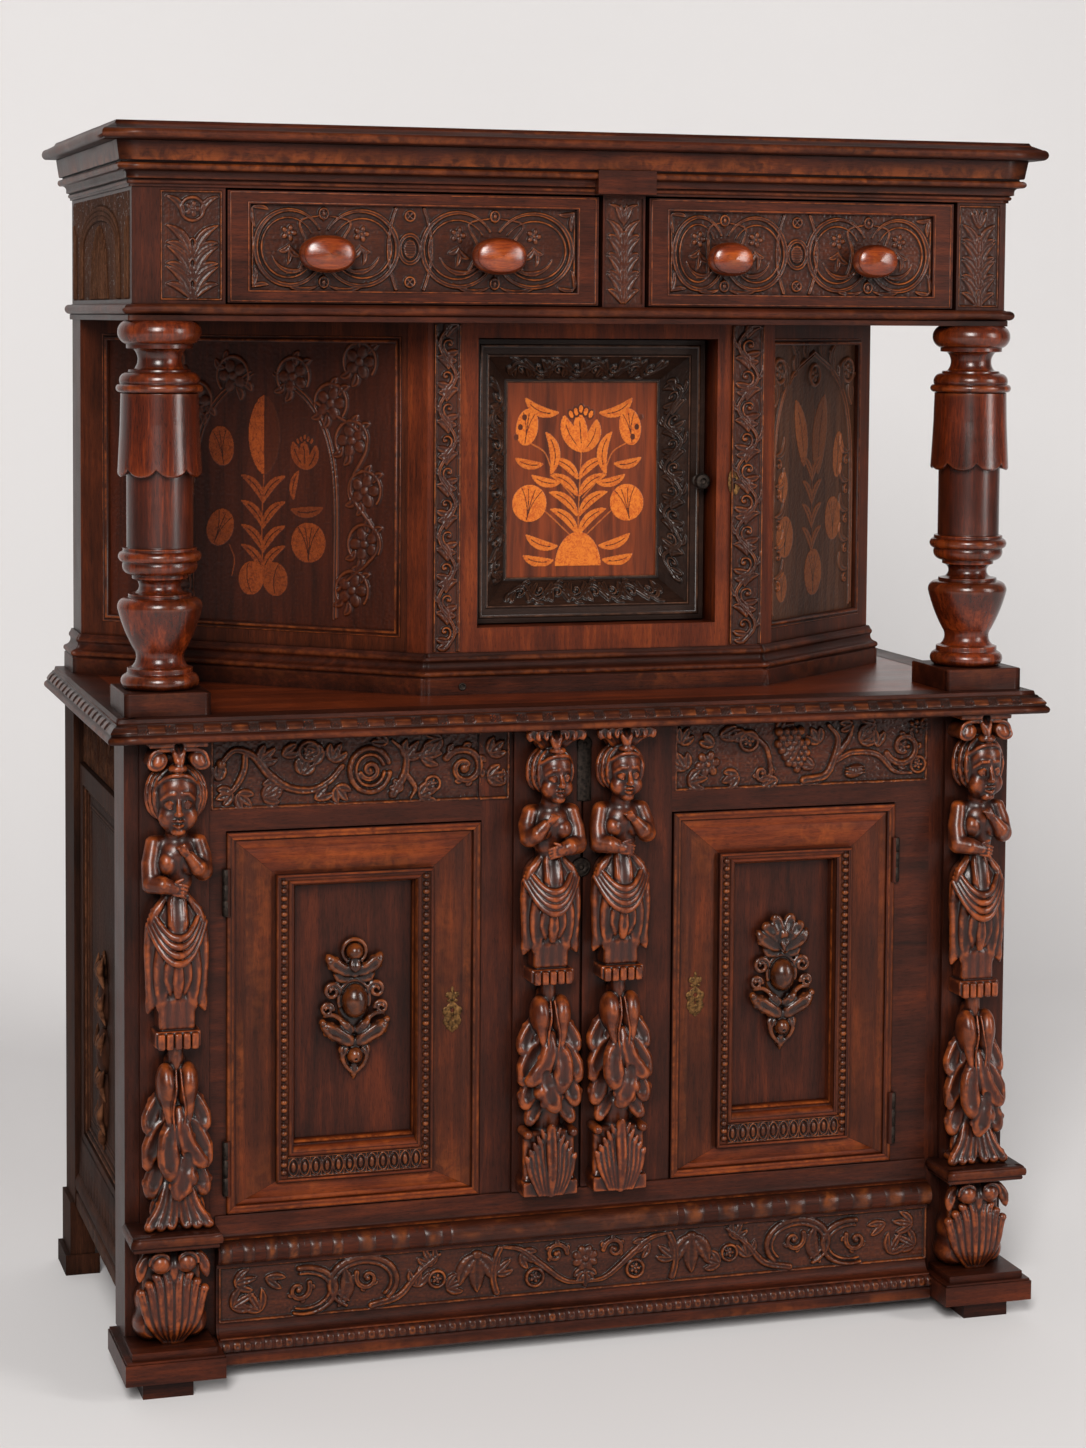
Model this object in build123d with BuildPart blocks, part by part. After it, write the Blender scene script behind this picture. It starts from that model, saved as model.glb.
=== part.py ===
"""Court cupboard of carved and inlaid oak: a canopy with two drawers on turned columns, a recessed
cupboard with splayed sides, and an enclosed two-door base with four carved term figures.

Frame: millimetres, X to the right, Y to the back, Z up, origin on the floor at the centre of the
bounding box. The front faces -Y.
"""
from build123d import *
from math import cos, hypot, radians, sin
import os

os.makedirs("parts", exist_ok=True)

# ---------------------------------------------------------------------------------------------
# Overall size
# ---------------------------------------------------------------------------------------------
overall_width = 1316.0
overall_depth = 635.0
overall_height = 1650.0

# ---------------------------------------------------------------------------------------------
# Case outlines, measured in from the overall box
# ---------------------------------------------------------------------------------------------
table_overhang = 30.0
canopy_overhang = 43.0
base_projection = 82.5
canopy_setback = 91.0
board_thickness = 22.0
back_thickness = 13.0

# ---------------------------------------------------------------------------------------------
# Heights of the storeys
# ---------------------------------------------------------------------------------------------
foot_height = 27.0
block_height = 30.0
block_step = 9.0
corbel_height = 131.0
impost_height = 20.0
table_bottom = 857.0
table_thickness = 30.0
column_plinth_height = 30.0
canopy_rail_height = 22.0
frieze_height = 150.0
cornice_height = 59.0
top_board_thickness = 23.0

# ---------------------------------------------------------------------------------------------
# Running gaps
# ---------------------------------------------------------------------------------------------
slide_gap = 0.5
drawer_side_gap = 3.0
drawer_end_gap = 6.0
drawer_top_gap = 3.0
door_gap = 2.0
door_floor_gap = 2.0
pivot_gap = 0.3
pivot_radius = 3.0
pivot_inset = 3.5
hinge_barrel_radius = 4.5

# ---------------------------------------------------------------------------------------------
# Lower case
# ---------------------------------------------------------------------------------------------
corner_post_left = 110.0
corner_post_right = 119.0
post_thickness = 26.0
post_return = 80.0
back_post_depth = 90.0
back_post_thickness = 30.0
jamb_left = 24.0
jamb_right = 53.0
muntin_left = -146.0
muntin_width = 271.0
door_bottom = 217.0
door_top = 729.0
door_rail_height = 28.0
door_thickness = 24.0
door_frame_width = 70.0
door_bead = 10.0
door_bead_rise = 4.0
hinge_lower_start = 27.0
hinge_lower_end = 100.0
hinge_upper_start = 112.0
hinge_upper_end = 49.0
key_plate_drop = 3.0
ornament_share_left = 0.582
ornament_share_right = 0.652
sill_height = 30.0
torus_height = 32.0
apron_height = 92.0
plank_bottom = 22.0
floor_thickness = 18.0
side_rail_bottom = 100.0
side_rail_top = 209.0
side_frieze_bottom = 757.0
side_rail_width = 27.0
side_recess = 8.0
side_ornament_rise = 159.0
side_ornament_pitch = 68.0
side_ornament_half_length = 34.0
side_ornament_half_width = 30.0
side_ornament_boss = 14.0

# ---------------------------------------------------------------------------------------------
# Canopy
# ---------------------------------------------------------------------------------------------
canopy_end_left = 122.0
canopy_end_right = 74.0
canopy_muntin_left = 21.0
canopy_muntin_width = 60.0
divider_thickness = 24.0
drawer_front_thickness = 22.0
drawer_depth = 430.0
drawer_wall = 11.0
drawer_box_height = 112.0
drawer_panel_margin = 30.0
drawer_panel_sink = 6.0
drawer_knob_rise = 66.0
left_knob_insets = (128.0, 144.0)
right_knob_insets = (110.0, 126.0)
cornice_block_width = 82.0

# ---------------------------------------------------------------------------------------------
# Recessed cupboard
# ---------------------------------------------------------------------------------------------
recess_front = -140.0
recess_left_splay_width = 428.0
recess_right_splay_width = 263.0
recess_left_end = 228.0
recess_right_end = 81.0
recess_return_inset = 54.0
recess_plinth_height = 56.0
recess_plinth_step = 12.0
recess_facet = 30.0
recess_wall = 22.0
recess_frame_depth = 60.0
recess_stile_left = 76.0
recess_stile_right = 74.0
recess_rail_bottom = 34.0
recess_rail_top = 21.0
recess_lock_drop = 1.0
escutcheon_inset = 26.0
recess_door_setback = 38.0
recess_door_thickness = 50.0
recess_door_band = 20.0
recess_door_border = 39.0
recess_door_sink = 36.0
recess_door_end_gap = 5.0
splay_frame_step = 4.0
splay_stile = 30.0
splay_rail = 30.0
splay_panel_sink = 6.0
splay_panel_thickness = 8.0
upper_post_width = 50.0
upper_post_depth = 62.5

# ---------------------------------------------------------------------------------------------
# Columns
# ---------------------------------------------------------------------------------------------
column_plinth_width = 101.0
column_plinth_depth = 118.0
column_inset = 2.0
shaft_radius = 43.0
sleeve_top_radius = 50.0
sleeve_foot_radius = 54.5
petal_count = 8
petal_height = 14.0
column_turned_height = 479.0
sleeve_foot = 277.0
sleeve_head = 386.0

# ---------------------------------------------------------------------------------------------
# Figures and their supports
# ---------------------------------------------------------------------------------------------
outer_figure_width = 88.0
outer_figure_inset_left = 63.0
outer_figure_inset_right = 58.0
inner_figure_width = 84.0
inner_figure_left = -72.0
inner_figure_right = 27.0
figure_depth = 58.0
figure_back_board = 8.0
inner_base_height = 88.0
corbel_width = 100.0
corbel_depth = 64.0
impost_width = 118.0
impost_depth = 72.0
block_width = 131.0
block_length = 152.0
front_foot_width = 66.0
front_foot_length = 110.0
front_foot_inset = 26.0
front_foot_setback = 24.0
back_foot_width = 50.0
back_foot_length = 84.0
block_margin = 18.0

# ---------------------------------------------------------------------------------------------
# Derived planes and levels
# ---------------------------------------------------------------------------------------------
half_width = overall_width / 2
back = overall_depth / 2
block_front = -overall_depth / 2
case_half = half_width - table_overhang
case_front = block_front + base_projection
case_inner = case_front + post_thickness
canopy_half = half_width - canopy_overhang
canopy_front = block_front + canopy_setback
table_top = table_bottom + table_thickness
table_front = case_front - 69.0
column_base = table_top + column_plinth_height
board_bottom = overall_height - top_board_thickness
frieze_top = board_bottom - cornice_height
frieze_bottom = frieze_top - frieze_height
canopy_bottom = frieze_bottom - canopy_rail_height
block_bottom = foot_height
block_top = block_bottom + block_height
corbel_bottom = block_top + block_step
corbel_top = corbel_bottom + corbel_height
impost_bottom = corbel_top
impost_top = impost_bottom + impost_height
inner_side = case_half - back_post_thickness
frieze_rail_bottom = door_top + door_rail_height


# ---------------------------------------------------------------------------------------------
# Helpers
# ---------------------------------------------------------------------------------------------
def block(x0, x1, y0, y1, z0, z1, mode=Mode.ADD):
    """A straight board between two corners."""
    with Locations(((x0 + x1) / 2, (y0 + y1) / 2, (z0 + z1) / 2)):
        Box(x1 - x0, y1 - y0, z1 - z0, mode=mode)


def trace(start, *steps):
    """A closed outline: each step is the next corner, or (through, corner) for an arc."""
    here = start
    for step in steps:
        if isinstance(step[0], tuple):
            ThreePointArc(here, step[0], step[1])
            here = step[1]
        else:
            Line(here, step)
            here = step
    if here != start:
        Line(here, start)


def slab(corners, z0, z1, mode=Mode.ADD):
    """A board of any plan shape between two heights."""
    with BuildSketch(Plane.XY.offset(z0)) as plan:
        with BuildLine():
            Polyline(*corners, close=True)
        make_face()
    extrude(plan.sketch, amount=z1 - z0, mode=mode)


def moulding(path, start, *steps):
    """A section of (distance outwards, height) run along a plan path with mitred corners."""
    (x0, y0), (x1, y1) = path[0], path[1]
    length = hypot(x1 - x0, y1 - y0)
    ux, uy = (x1 - x0) / length, (y1 - y0) / length
    with BuildLine() as route:
        Polyline(*[(x, y, 0) for x, y in path])
    with BuildSketch(Plane(origin=(x0, y0, 0), x_dir=(uy, -ux, 0), z_dir=(-ux, -uy, 0))) as section:
        with BuildLine():
            trace(start, *steps)
        make_face()
    sweep(section.sketch, path=route.wires()[0], transition=Transition.RIGHT)


def ellipsoid(x, y, z, rx, ry, rz, mode=Mode.ADD):
    """A rounded boss from stacked elliptical sections."""
    sections = []
    for slope in (-70, -42, -14, 14, 42, 70):
        with BuildSketch(Plane.XY.offset(z + rz * sin(radians(slope)))) as section:
            with Locations((x, y)):
                Ellipse(rx * cos(radians(slope)), ry * cos(radians(slope)))
        sections.append(section.sketch.face())
    loft(sections, mode=mode)


def export(piece, name):
    piece.part.label = name
    export_step(piece.part, "parts/" + name + ".step")


# ---------------------------------------------------------------------------------------------
# Canopy: top board, cornice, frieze
# ---------------------------------------------------------------------------------------------
with BuildPart() as top_board:
    rim = [(-canopy_half, back), (-canopy_half, canopy_front), (canopy_half, canopy_front),
           (canopy_half, back)]
    block(-canopy_half, canopy_half, canopy_front, back, board_bottom, overall_height)
    moulding(rim,
             (-10.0, board_bottom),
             (canopy_overhang - 5.0, board_bottom),
             ((canopy_overhang, board_bottom + 6.0), (canopy_overhang - 6.0, board_bottom + 13.0)),
             (canopy_overhang - 18.0, overall_height - 4.0),
             (canopy_overhang - 20.0, overall_height),
             (-10.0, overall_height))
export(top_board, "top_board")

cornice_depth = post_thickness
with BuildPart() as cornice:
    moulding(rim,
             (-cornice_depth, frieze_top),
             (2.0, frieze_top),
             (2.0, frieze_top + 3.0),
             ((5.0, frieze_top + 6.0), (2.5, frieze_top + 9.0)),
             (7.5, frieze_top + 11.0),
             (7.5, frieze_top + 15.0),
             ((9.0, frieze_top + 19.0), (14.5, frieze_top + 21.0)),
             ((20.0, frieze_top + 25.0), (14.5, frieze_top + 29.0)),
             (13.0, frieze_top + 30.5),
             (13.0, frieze_top + 32.5),
             (18.0, frieze_top + 32.5),
             (22.0, board_bottom),
             (-cornice_depth, board_bottom))
    cornice_block_left = canopy_muntin_left - 14.0
    block(cornice_block_left - 5.0, cornice_block_left + cornice_block_width + 5.0,
          canopy_front - 40.0, canopy_front - 6.0, frieze_top - 1.0, frieze_top + 32.5,
          mode=Mode.SUBTRACT)
export(cornice, "cornice")

with BuildPart() as cornice_block:
    block(cornice_block_left, cornice_block_left + cornice_block_width,
          canopy_front - 23.0, canopy_front - 6.0, frieze_top + 1.0, frieze_top + 32.5)
export(cornice_block, "cornice_block")

drawer_left_start = -canopy_half + canopy_end_left + drawer_side_gap
drawer_left_end = canopy_muntin_left - drawer_end_gap
drawer_right_start = canopy_muntin_left + canopy_muntin_width + drawer_end_gap
drawer_right_end = canopy_half - canopy_end_right - drawer_end_gap
frieze_back = back - upper_post_depth
canopy_inner = canopy_front + post_thickness

with BuildPart() as frieze_left:
    block(-canopy_half, -canopy_half + canopy_end_left, canopy_front, canopy_inner,
          frieze_bottom, frieze_top)
    block(-canopy_half, -canopy_half + board_thickness, canopy_inner, frieze_back,
          frieze_bottom, frieze_top)
    block(-canopy_half + 37.0, -canopy_half + canopy_end_left - 4.0, canopy_front,
          canopy_front + 3.0, frieze_bottom + 4.0, frieze_top - 4.0, mode=Mode.SUBTRACT)
export(frieze_left, "frieze_left")

with BuildPart() as frieze_right:
    block(canopy_half - canopy_end_right, canopy_half, canopy_front, canopy_inner,
          frieze_bottom, frieze_top)
    block(canopy_half - board_thickness, canopy_half, canopy_inner, frieze_back,
          frieze_bottom, frieze_top)
    block(canopy_half - canopy_end_right + 3.0, canopy_half - 9.0, canopy_front,
          canopy_front + 3.0, frieze_bottom + 4.0, frieze_top - 4.0, mode=Mode.SUBTRACT)
export(frieze_right, "frieze_right")

divider_left = canopy_muntin_left + (canopy_muntin_width - divider_thickness) / 2
frieze_inner_back = back - back_thickness
with BuildPart() as frieze_muntin:
    block(canopy_muntin_left, canopy_muntin_left + canopy_muntin_width, canopy_front,
          canopy_inner, frieze_bottom, frieze_top)
    block(divider_left, divider_left + divider_thickness, canopy_inner, frieze_inner_back,
          frieze_bottom, frieze_top)
    block(canopy_muntin_left + 3.0, canopy_muntin_left + canopy_muntin_width - 3.0,
          canopy_front, canopy_front + 3.0, frieze_bottom + 4.0, frieze_top - 4.0,
          mode=Mode.SUBTRACT)
export(frieze_muntin, "frieze_muntin")

rail_depth = upper_post_width
with BuildPart() as canopy_rail:
    moulding([(-canopy_half, frieze_back), (-canopy_half, canopy_front),
              (canopy_half, canopy_front), (canopy_half, frieze_back)],
             (-rail_depth, canopy_bottom),
             (3.0, canopy_bottom),
             (3.0, canopy_bottom + 7.0),
             (1.0, canopy_bottom + 8.5),
             ((10.0, canopy_bottom + 14.5), (1.0, frieze_bottom - 1.5)),
             (0.0, frieze_bottom),
             (-rail_depth, frieze_bottom))
    block(-canopy_half + rail_depth, canopy_half - rail_depth, canopy_front + rail_depth,
          frieze_inner_back, canopy_bottom, frieze_bottom)
export(canopy_rail, "canopy_rail")

with BuildPart() as upper_back:
    block(-canopy_half + upper_post_width, canopy_half - upper_post_width, frieze_inner_back,
          back, table_top, frieze_top)
    block(-canopy_half + cornice_depth, canopy_half - cornice_depth, frieze_inner_back, back,
          frieze_top, board_bottom)
export(upper_back, "upper_back")

# ---------------------------------------------------------------------------------------------
# Recessed cupboard: plan corners of the plinth, the front frame and the splayed walls
# ---------------------------------------------------------------------------------------------
recess_left_corner = -case_half + recess_left_splay_width
recess_right_wall = canopy_half - recess_return_inset
recess_right_corner = recess_right_wall - recess_right_splay_width
splay_left_run = (recess_left_corner + case_half, recess_left_end - recess_front)
splay_left_length = hypot(*splay_left_run)
splay_left_u = (splay_left_run[0] / splay_left_length, -splay_left_run[1] / splay_left_length)
splay_right_run = (recess_right_wall - recess_right_corner, recess_right_end - recess_front)
splay_right_length = hypot(*splay_right_run)
splay_right_u = (splay_right_run[0] / splay_right_length, splay_right_run[1] / splay_right_length)
recess_top = canopy_bottom
recess_sill = table_top + recess_plinth_height
recess_opening_left = recess_left_corner + recess_stile_left
recess_opening_right = recess_right_corner - recess_stile_right
recess_opening_bottom = recess_sill + recess_rail_bottom
recess_opening_top = recess_top - recess_rail_top
recess_lock_z = (recess_opening_bottom + recess_opening_top) / 2 - recess_lock_drop
frame_front = recess_front + recess_plinth_step


def splay_point(side, along, inward):
    """Plan point on a splayed wall: distance along it from its outer base corner, and inwards."""
    if side == "left":
        ux, uy = splay_left_u
        return (-case_half + ux * along - uy * inward, recess_left_end + uy * along + ux * inward)
    ux, uy = splay_right_u
    return (recess_right_corner + ux * along - uy * inward,
            recess_front + uy * along + ux * inward)


def splay_meets_front(side, inward, front):
    """Distance along a splay at which its inward offset line meets a line parallel to the front."""
    at_zero = splay_point(side, 0.0, inward)
    at_one = splay_point(side, 1.0, inward)
    return (front - at_zero[1]) / (at_one[1] - at_zero[1])


corner_left_s = splay_meets_front("left", recess_plinth_step, frame_front)
corner_right_s = splay_meets_front("right", recess_plinth_step, frame_front)
corner_left = splay_point("left", corner_left_s, recess_plinth_step)
corner_right = splay_point("right", corner_right_s, recess_plinth_step)

plinth_depth = recess_wall + recess_plinth_step + splay_frame_step
with BuildPart() as recess_plinth:
    moulding([(-case_half, back), (-case_half, recess_left_end),
              (recess_left_corner, recess_front), (recess_right_corner, recess_front),
              (recess_right_wall, recess_right_end), (recess_right_wall, frieze_inner_back)],
             (-plinth_depth, table_top),
             (0.0, table_top),
             (0.0, table_top + 22.0),
             (-2.0, table_top + 24.0),
             ((1.5, table_top + 28.5), (-2.0, table_top + 33.0)),
             ((-7.5, table_top + 37.0), (-8.5, table_top + 44.0)),
             ((-6.5, table_top + 48.0), (-8.5, table_top + 52.0)),
             (-10.5, recess_sill),
             (-plinth_depth, recess_sill))
    block(-canopy_half, -canopy_half + upper_post_width, frieze_back, back + 1.0,
          table_top - 1.0, recess_sill + 1.0, mode=Mode.SUBTRACT)
    block(-canopy_half + upper_post_width, -case_half + 80.0, frieze_inner_back, back + 1.0,
          table_top - 1.0, recess_sill + 1.0, mode=Mode.SUBTRACT)
    with Locations((recess_left_corner + 63.0, recess_front + 6.0, table_top + 11.0)):
        Cylinder(4.0, 14.0, rotation=(90, 0, 0), mode=Mode.SUBTRACT)
export(recess_plinth, "recess_plinth")

with BuildPart() as upper_post_left:
    block(-canopy_half, -canopy_half + upper_post_width, frieze_back, back, table_top, frieze_top)
export(upper_post_left, "upper_post_left")

with BuildPart() as upper_post_right:
    block(canopy_half - upper_post_width, canopy_half, frieze_back, back, table_top, frieze_top)
export(upper_post_right, "upper_post_right")

frame_back = frame_front + recess_frame_depth
recess_door_face = frame_front + recess_door_setback
recess_door_left = recess_opening_left + door_gap
recess_door_right = recess_opening_right - recess_door_end_gap
recess_door_bottom = recess_opening_bottom + door_gap
recess_door_top = recess_opening_top - door_gap
recess_pivot_x = recess_door_left + pivot_inset
recess_pivot_y = recess_door_face + pivot_inset
facet_inner = recess_plinth_step + splay_frame_step + recess_wall
with BuildPart() as recess_frame:
    facet_left = splay_point("left", corner_left_s - recess_facet, recess_plinth_step)
    facet_left_in = splay_point("left", corner_left_s - recess_facet, facet_inner)
    behind_left = splay_point("left", splay_meets_front("left", facet_inner, frame_back),
                              facet_inner)
    slab([corner_left, (recess_opening_left, frame_front), (recess_opening_left, frame_back),
          (facet_left_in[0] + 18.0, frame_back), facet_left_in, facet_left],
         recess_sill, recess_top)
    facet_right = splay_point("right", corner_right_s + recess_facet, recess_plinth_step)
    facet_right_in = splay_point("right", corner_right_s + recess_facet, facet_inner)
    slab([(recess_opening_right, frame_front), corner_right, facet_right, facet_right_in,
          (facet_right_in[0] - 18.0, frame_back), (recess_opening_right, frame_back)],
         recess_sill, recess_top)
    block(recess_opening_left, recess_opening_right, frame_front, frame_back, recess_sill,
          recess_opening_bottom)
    block(recess_opening_left, recess_opening_right, frame_front, frame_back,
          recess_opening_top, recess_top)
    for pad_z, pad_way in ((recess_opening_bottom, 1), (recess_opening_top, -1)):
        with Locations((recess_pivot_x, recess_pivot_y,
                        pad_z + pad_way * (door_gap - pivot_gap) / 2)):
            Cylinder(pivot_radius, door_gap - pivot_gap)
export(recess_frame, "recess_frame")


def splay_block(side, s0, s1, t0, t1, z0, z1, mode=Mode.ADD):
    """A board lying along a splayed wall."""
    slab([splay_point(side, s0, t0), splay_point(side, s1, t0), splay_point(side, s1, t1),
          splay_point(side, s0, t1)], z0, z1, mode)


def splay_frame(side, s0, s1, panel0, panel1):
    """A framed wall with a rebated opening for its panel."""
    face = recess_plinth_step + splay_frame_step
    splay_block(side, s0, s1, face, face + recess_wall, recess_sill, recess_top)
    splay_block(side, panel0, panel1, face - 1.0, face + recess_wall + 1.0,
                recess_sill + splay_rail, recess_top - splay_rail, Mode.SUBTRACT)


def splay_panel(side, panel0, panel1):
    """The inlaid panel that fills a splayed wall's opening."""
    face = recess_plinth_step + splay_frame_step + splay_panel_sink
    splay_block(side, panel0, panel1, face, face + splay_panel_thickness,
                recess_sill + splay_rail, recess_top - splay_rail)


left_s0 = -10.0
left_s1 = corner_left_s - recess_facet
left_panel0 = 50.0
left_panel1 = left_s1 - splay_stile + 8.0
with BuildPart() as splay_frame_left:
    splay_frame("left", left_s0, left_s1, left_panel0, left_panel1)
    block(-case_half - 60.0, -canopy_half, 0.0, back + 60.0, recess_sill - 1.0, recess_top + 1.0,
          mode=Mode.SUBTRACT)
    block(-case_half - 60.0, -canopy_half + upper_post_width, frieze_back, back + 60.0,
          recess_sill - 1.0, recess_top + 1.0, mode=Mode.SUBTRACT)
export(splay_frame_left, "splay_frame_left")

with BuildPart() as splay_panel_left:
    splay_panel("left", left_panel0, left_panel1)
export(splay_panel_left, "splay_panel_left")

right_s0 = corner_right_s + recess_facet
right_s1 = splay_right_length + 40.0
right_panel0 = right_s0 + 6.0
right_panel1 = splay_right_length - splay_stile - 12.0
return_face = recess_right_wall - recess_plinth_step
return_outer = splay_point("right", 0.0, recess_plinth_step + splay_frame_step + recess_wall)
slope = splay_right_u[1] / splay_right_u[0]
with BuildPart() as splay_frame_right:
    splay_frame("right", right_s0, right_s1, right_panel0, right_panel1)
    block(return_face, return_face + 120.0, -50.0, 250.0, recess_sill - 1.0, recess_top + 1.0,
          mode=Mode.SUBTRACT)
    inner_x = return_face - recess_wall
    slab([(return_face, return_outer[1] + (return_face - return_outer[0]) * slope),
          (inner_x, return_outer[1] + (inner_x - return_outer[0]) * slope),
          (inner_x, frieze_inner_back), (return_face, frieze_inner_back)],
         recess_sill, recess_top)
export(splay_frame_right, "splay_frame_right")

with BuildPart() as splay_panel_right:
    splay_panel("right", right_panel0, right_panel1)
export(splay_panel_right, "splay_panel_right")

with BuildPart() as recess_escutcheon:
    escutcheon_x = recess_opening_right + escutcheon_inset
    escutcheon_z = recess_lock_z
    with BuildSketch(Plane.XZ.offset(-frame_front)):
        with Locations((escutcheon_x, escutcheon_z)):
            Ellipse(9.0, 19.0)
        with Locations((escutcheon_x, escutcheon_z + 3.0)):
            Circle(3.0, mode=Mode.SUBTRACT)
        with Locations((escutcheon_x, escutcheon_z - 4.0)):
            Rectangle(2.6, 12.0, mode=Mode.SUBTRACT)
    extrude(amount=2.0)
export(recess_escutcheon, "recess_escutcheon")

# ---------------------------------------------------------------------------------------------
# Recess door: mitred frame with a border sloping in to the inlaid panel, and a ring knob
# ---------------------------------------------------------------------------------------------
panel_margin = recess_door_band + recess_door_border
with BuildPart() as recess_door_frame:
    block(recess_door_left, recess_door_right, recess_door_face,
          recess_door_face + recess_door_thickness, recess_door_bottom, recess_door_top)
    block(recess_door_left + panel_margin, recess_door_right - panel_margin,
          recess_door_face - 1.0, recess_door_face + recess_door_thickness + 1.0,
          recess_door_bottom + panel_margin, recess_door_top - panel_margin, mode=Mode.SUBTRACT)
    door_mid_x = (recess_door_left + recess_door_right) / 2
    door_mid_z = (recess_door_bottom + recess_door_top) / 2
    door_w = recess_door_right - recess_door_left
    door_h = recess_door_top - recess_door_bottom
    with BuildSketch(Plane.XZ.offset(-recess_door_face)):
        with Locations((door_mid_x, door_mid_z)):
            Rectangle(door_w - 2 * recess_door_band, door_h - 2 * recess_door_band)
    with BuildSketch(Plane.XZ.offset(-recess_door_face - recess_door_sink)):
        with Locations((door_mid_x, door_mid_z)):
            Rectangle(door_w - 2 * panel_margin, door_h - 2 * panel_margin)
    loft(mode=Mode.SUBTRACT)
export(recess_door_frame, "recess_door_frame")

with BuildPart() as recess_door_panel:
    block(recess_door_left + panel_margin, recess_door_right - panel_margin,
          recess_door_face + recess_door_sink, recess_door_face + recess_door_thickness - 3.0,
          recess_door_bottom + panel_margin, recess_door_top - panel_margin)
export(recess_door_panel, "recess_door_panel")

knob_x = recess_door_right - recess_door_band / 2
knob_z = recess_lock_z
with BuildPart() as recess_door_knob:
    with BuildSketch(Plane.YZ.offset(knob_x)):
        with BuildLine():
            trace((recess_door_face, knob_z), (recess_door_face, knob_z + 7.0),
                  (recess_door_face - 3.0, knob_z + 7.0), (recess_door_face - 5.0, knob_z + 3.5),
                  (recess_door_face - 18.0, knob_z + 3.5),
                  ((recess_door_face - 21.0, knob_z + 11.0), (recess_door_face - 27.0, knob_z + 9.0)),
                  (recess_door_face - 27.0, knob_z + 5.0), (recess_door_face - 24.0, knob_z + 4.0),
                  (recess_door_face - 24.0, knob_z))
        make_face()
    revolve(axis=Axis((knob_x, 0, knob_z), (0, 1, 0)))
export(recess_door_knob, "recess_door_knob")

# ---------------------------------------------------------------------------------------------
# Drawers: front with a sunk panel, box behind, two oval turned knobs each
# ---------------------------------------------------------------------------------------------
drawer_bottom = frieze_bottom + slide_gap
drawer_top = frieze_top - drawer_top_gap
knob_reach = 44.0
knob_neck = 12.0
knob_height = frieze_bottom + drawer_knob_rise
drawer_box_gap = 4.0


def drawer_front(start, end):
    block(start, end, canopy_front, canopy_front + drawer_front_thickness, drawer_bottom + 1.5,
          drawer_top)
    block(start + drawer_panel_margin, end - drawer_panel_margin, canopy_front - 1.0,
          canopy_front + drawer_panel_sink, drawer_bottom + 18.0, drawer_top - 17.0,
          mode=Mode.SUBTRACT)


def drawer_box(start, end):
    y0 = canopy_front + drawer_front_thickness
    y1 = canopy_front + drawer_depth
    top = drawer_bottom + drawer_box_height
    block(start, end, y0, y1, drawer_bottom, top)
    block(start + drawer_wall, end - drawer_wall, y0 + drawer_wall, y1 - drawer_wall,
          drawer_bottom + drawer_wall, top + 1.0, mode=Mode.SUBTRACT)


def drawer_knob(x, half_long, half_high):
    """Oval knob: a narrow neck that swells into a rounded oval head."""
    face = canopy_front + drawer_panel_sink
    stations = [(0.0, 0.40), (4.0, 0.42), (9.0, 0.62), (16.0, 0.93), (24.0, 1.0), (33.0, 0.92),
                (41.0, 0.66), (46.0, 0.28)]
    sections = []
    for reach, share in stations:
        with BuildSketch(Plane.XZ.offset(-face + reach)) as section:
            with Locations((x, knob_height)):
                Ellipse(half_long * share, half_high * share)
        sections.append(section.sketch.face())
    loft(sections)


drawers = [("drawer_left", drawer_left_start, drawer_left_end, left_knob_insets, 37.0, 24.0),
           ("drawer_right", drawer_right_start, drawer_right_end, right_knob_insets, 32.0, 22.5)]
for drawer_name, drawer_start, drawer_end, knob_insets, knob_long, knob_high in drawers:
    knob_places = (drawer_start + knob_insets[0], drawer_end - knob_insets[1])
    with BuildPart() as front_piece:
        drawer_front(drawer_start, drawer_end)
    export(front_piece, drawer_name + "_front")
    with BuildPart() as box_piece:
        drawer_box(drawer_start + drawer_box_gap, drawer_end - drawer_box_gap)
    export(box_piece, drawer_name + "_box")
    for knob_number, knob_place in enumerate(knob_places):
        with BuildPart() as knob_piece:
            drawer_knob(knob_place, knob_long, knob_high)
        export(knob_piece, drawer_name + "_knob_" + "ab"[knob_number])

# ---------------------------------------------------------------------------------------------
# Turned columns: torus, neck, sleeve with a petalled hem, ring, urn and torus on a square plinth
# ---------------------------------------------------------------------------------------------
column_x = case_half - column_inset - column_plinth_width / 2
column_y = table_front + 40.0 + column_plinth_depth / 2
column_stretch = (canopy_bottom - column_base) / column_turned_height


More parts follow.
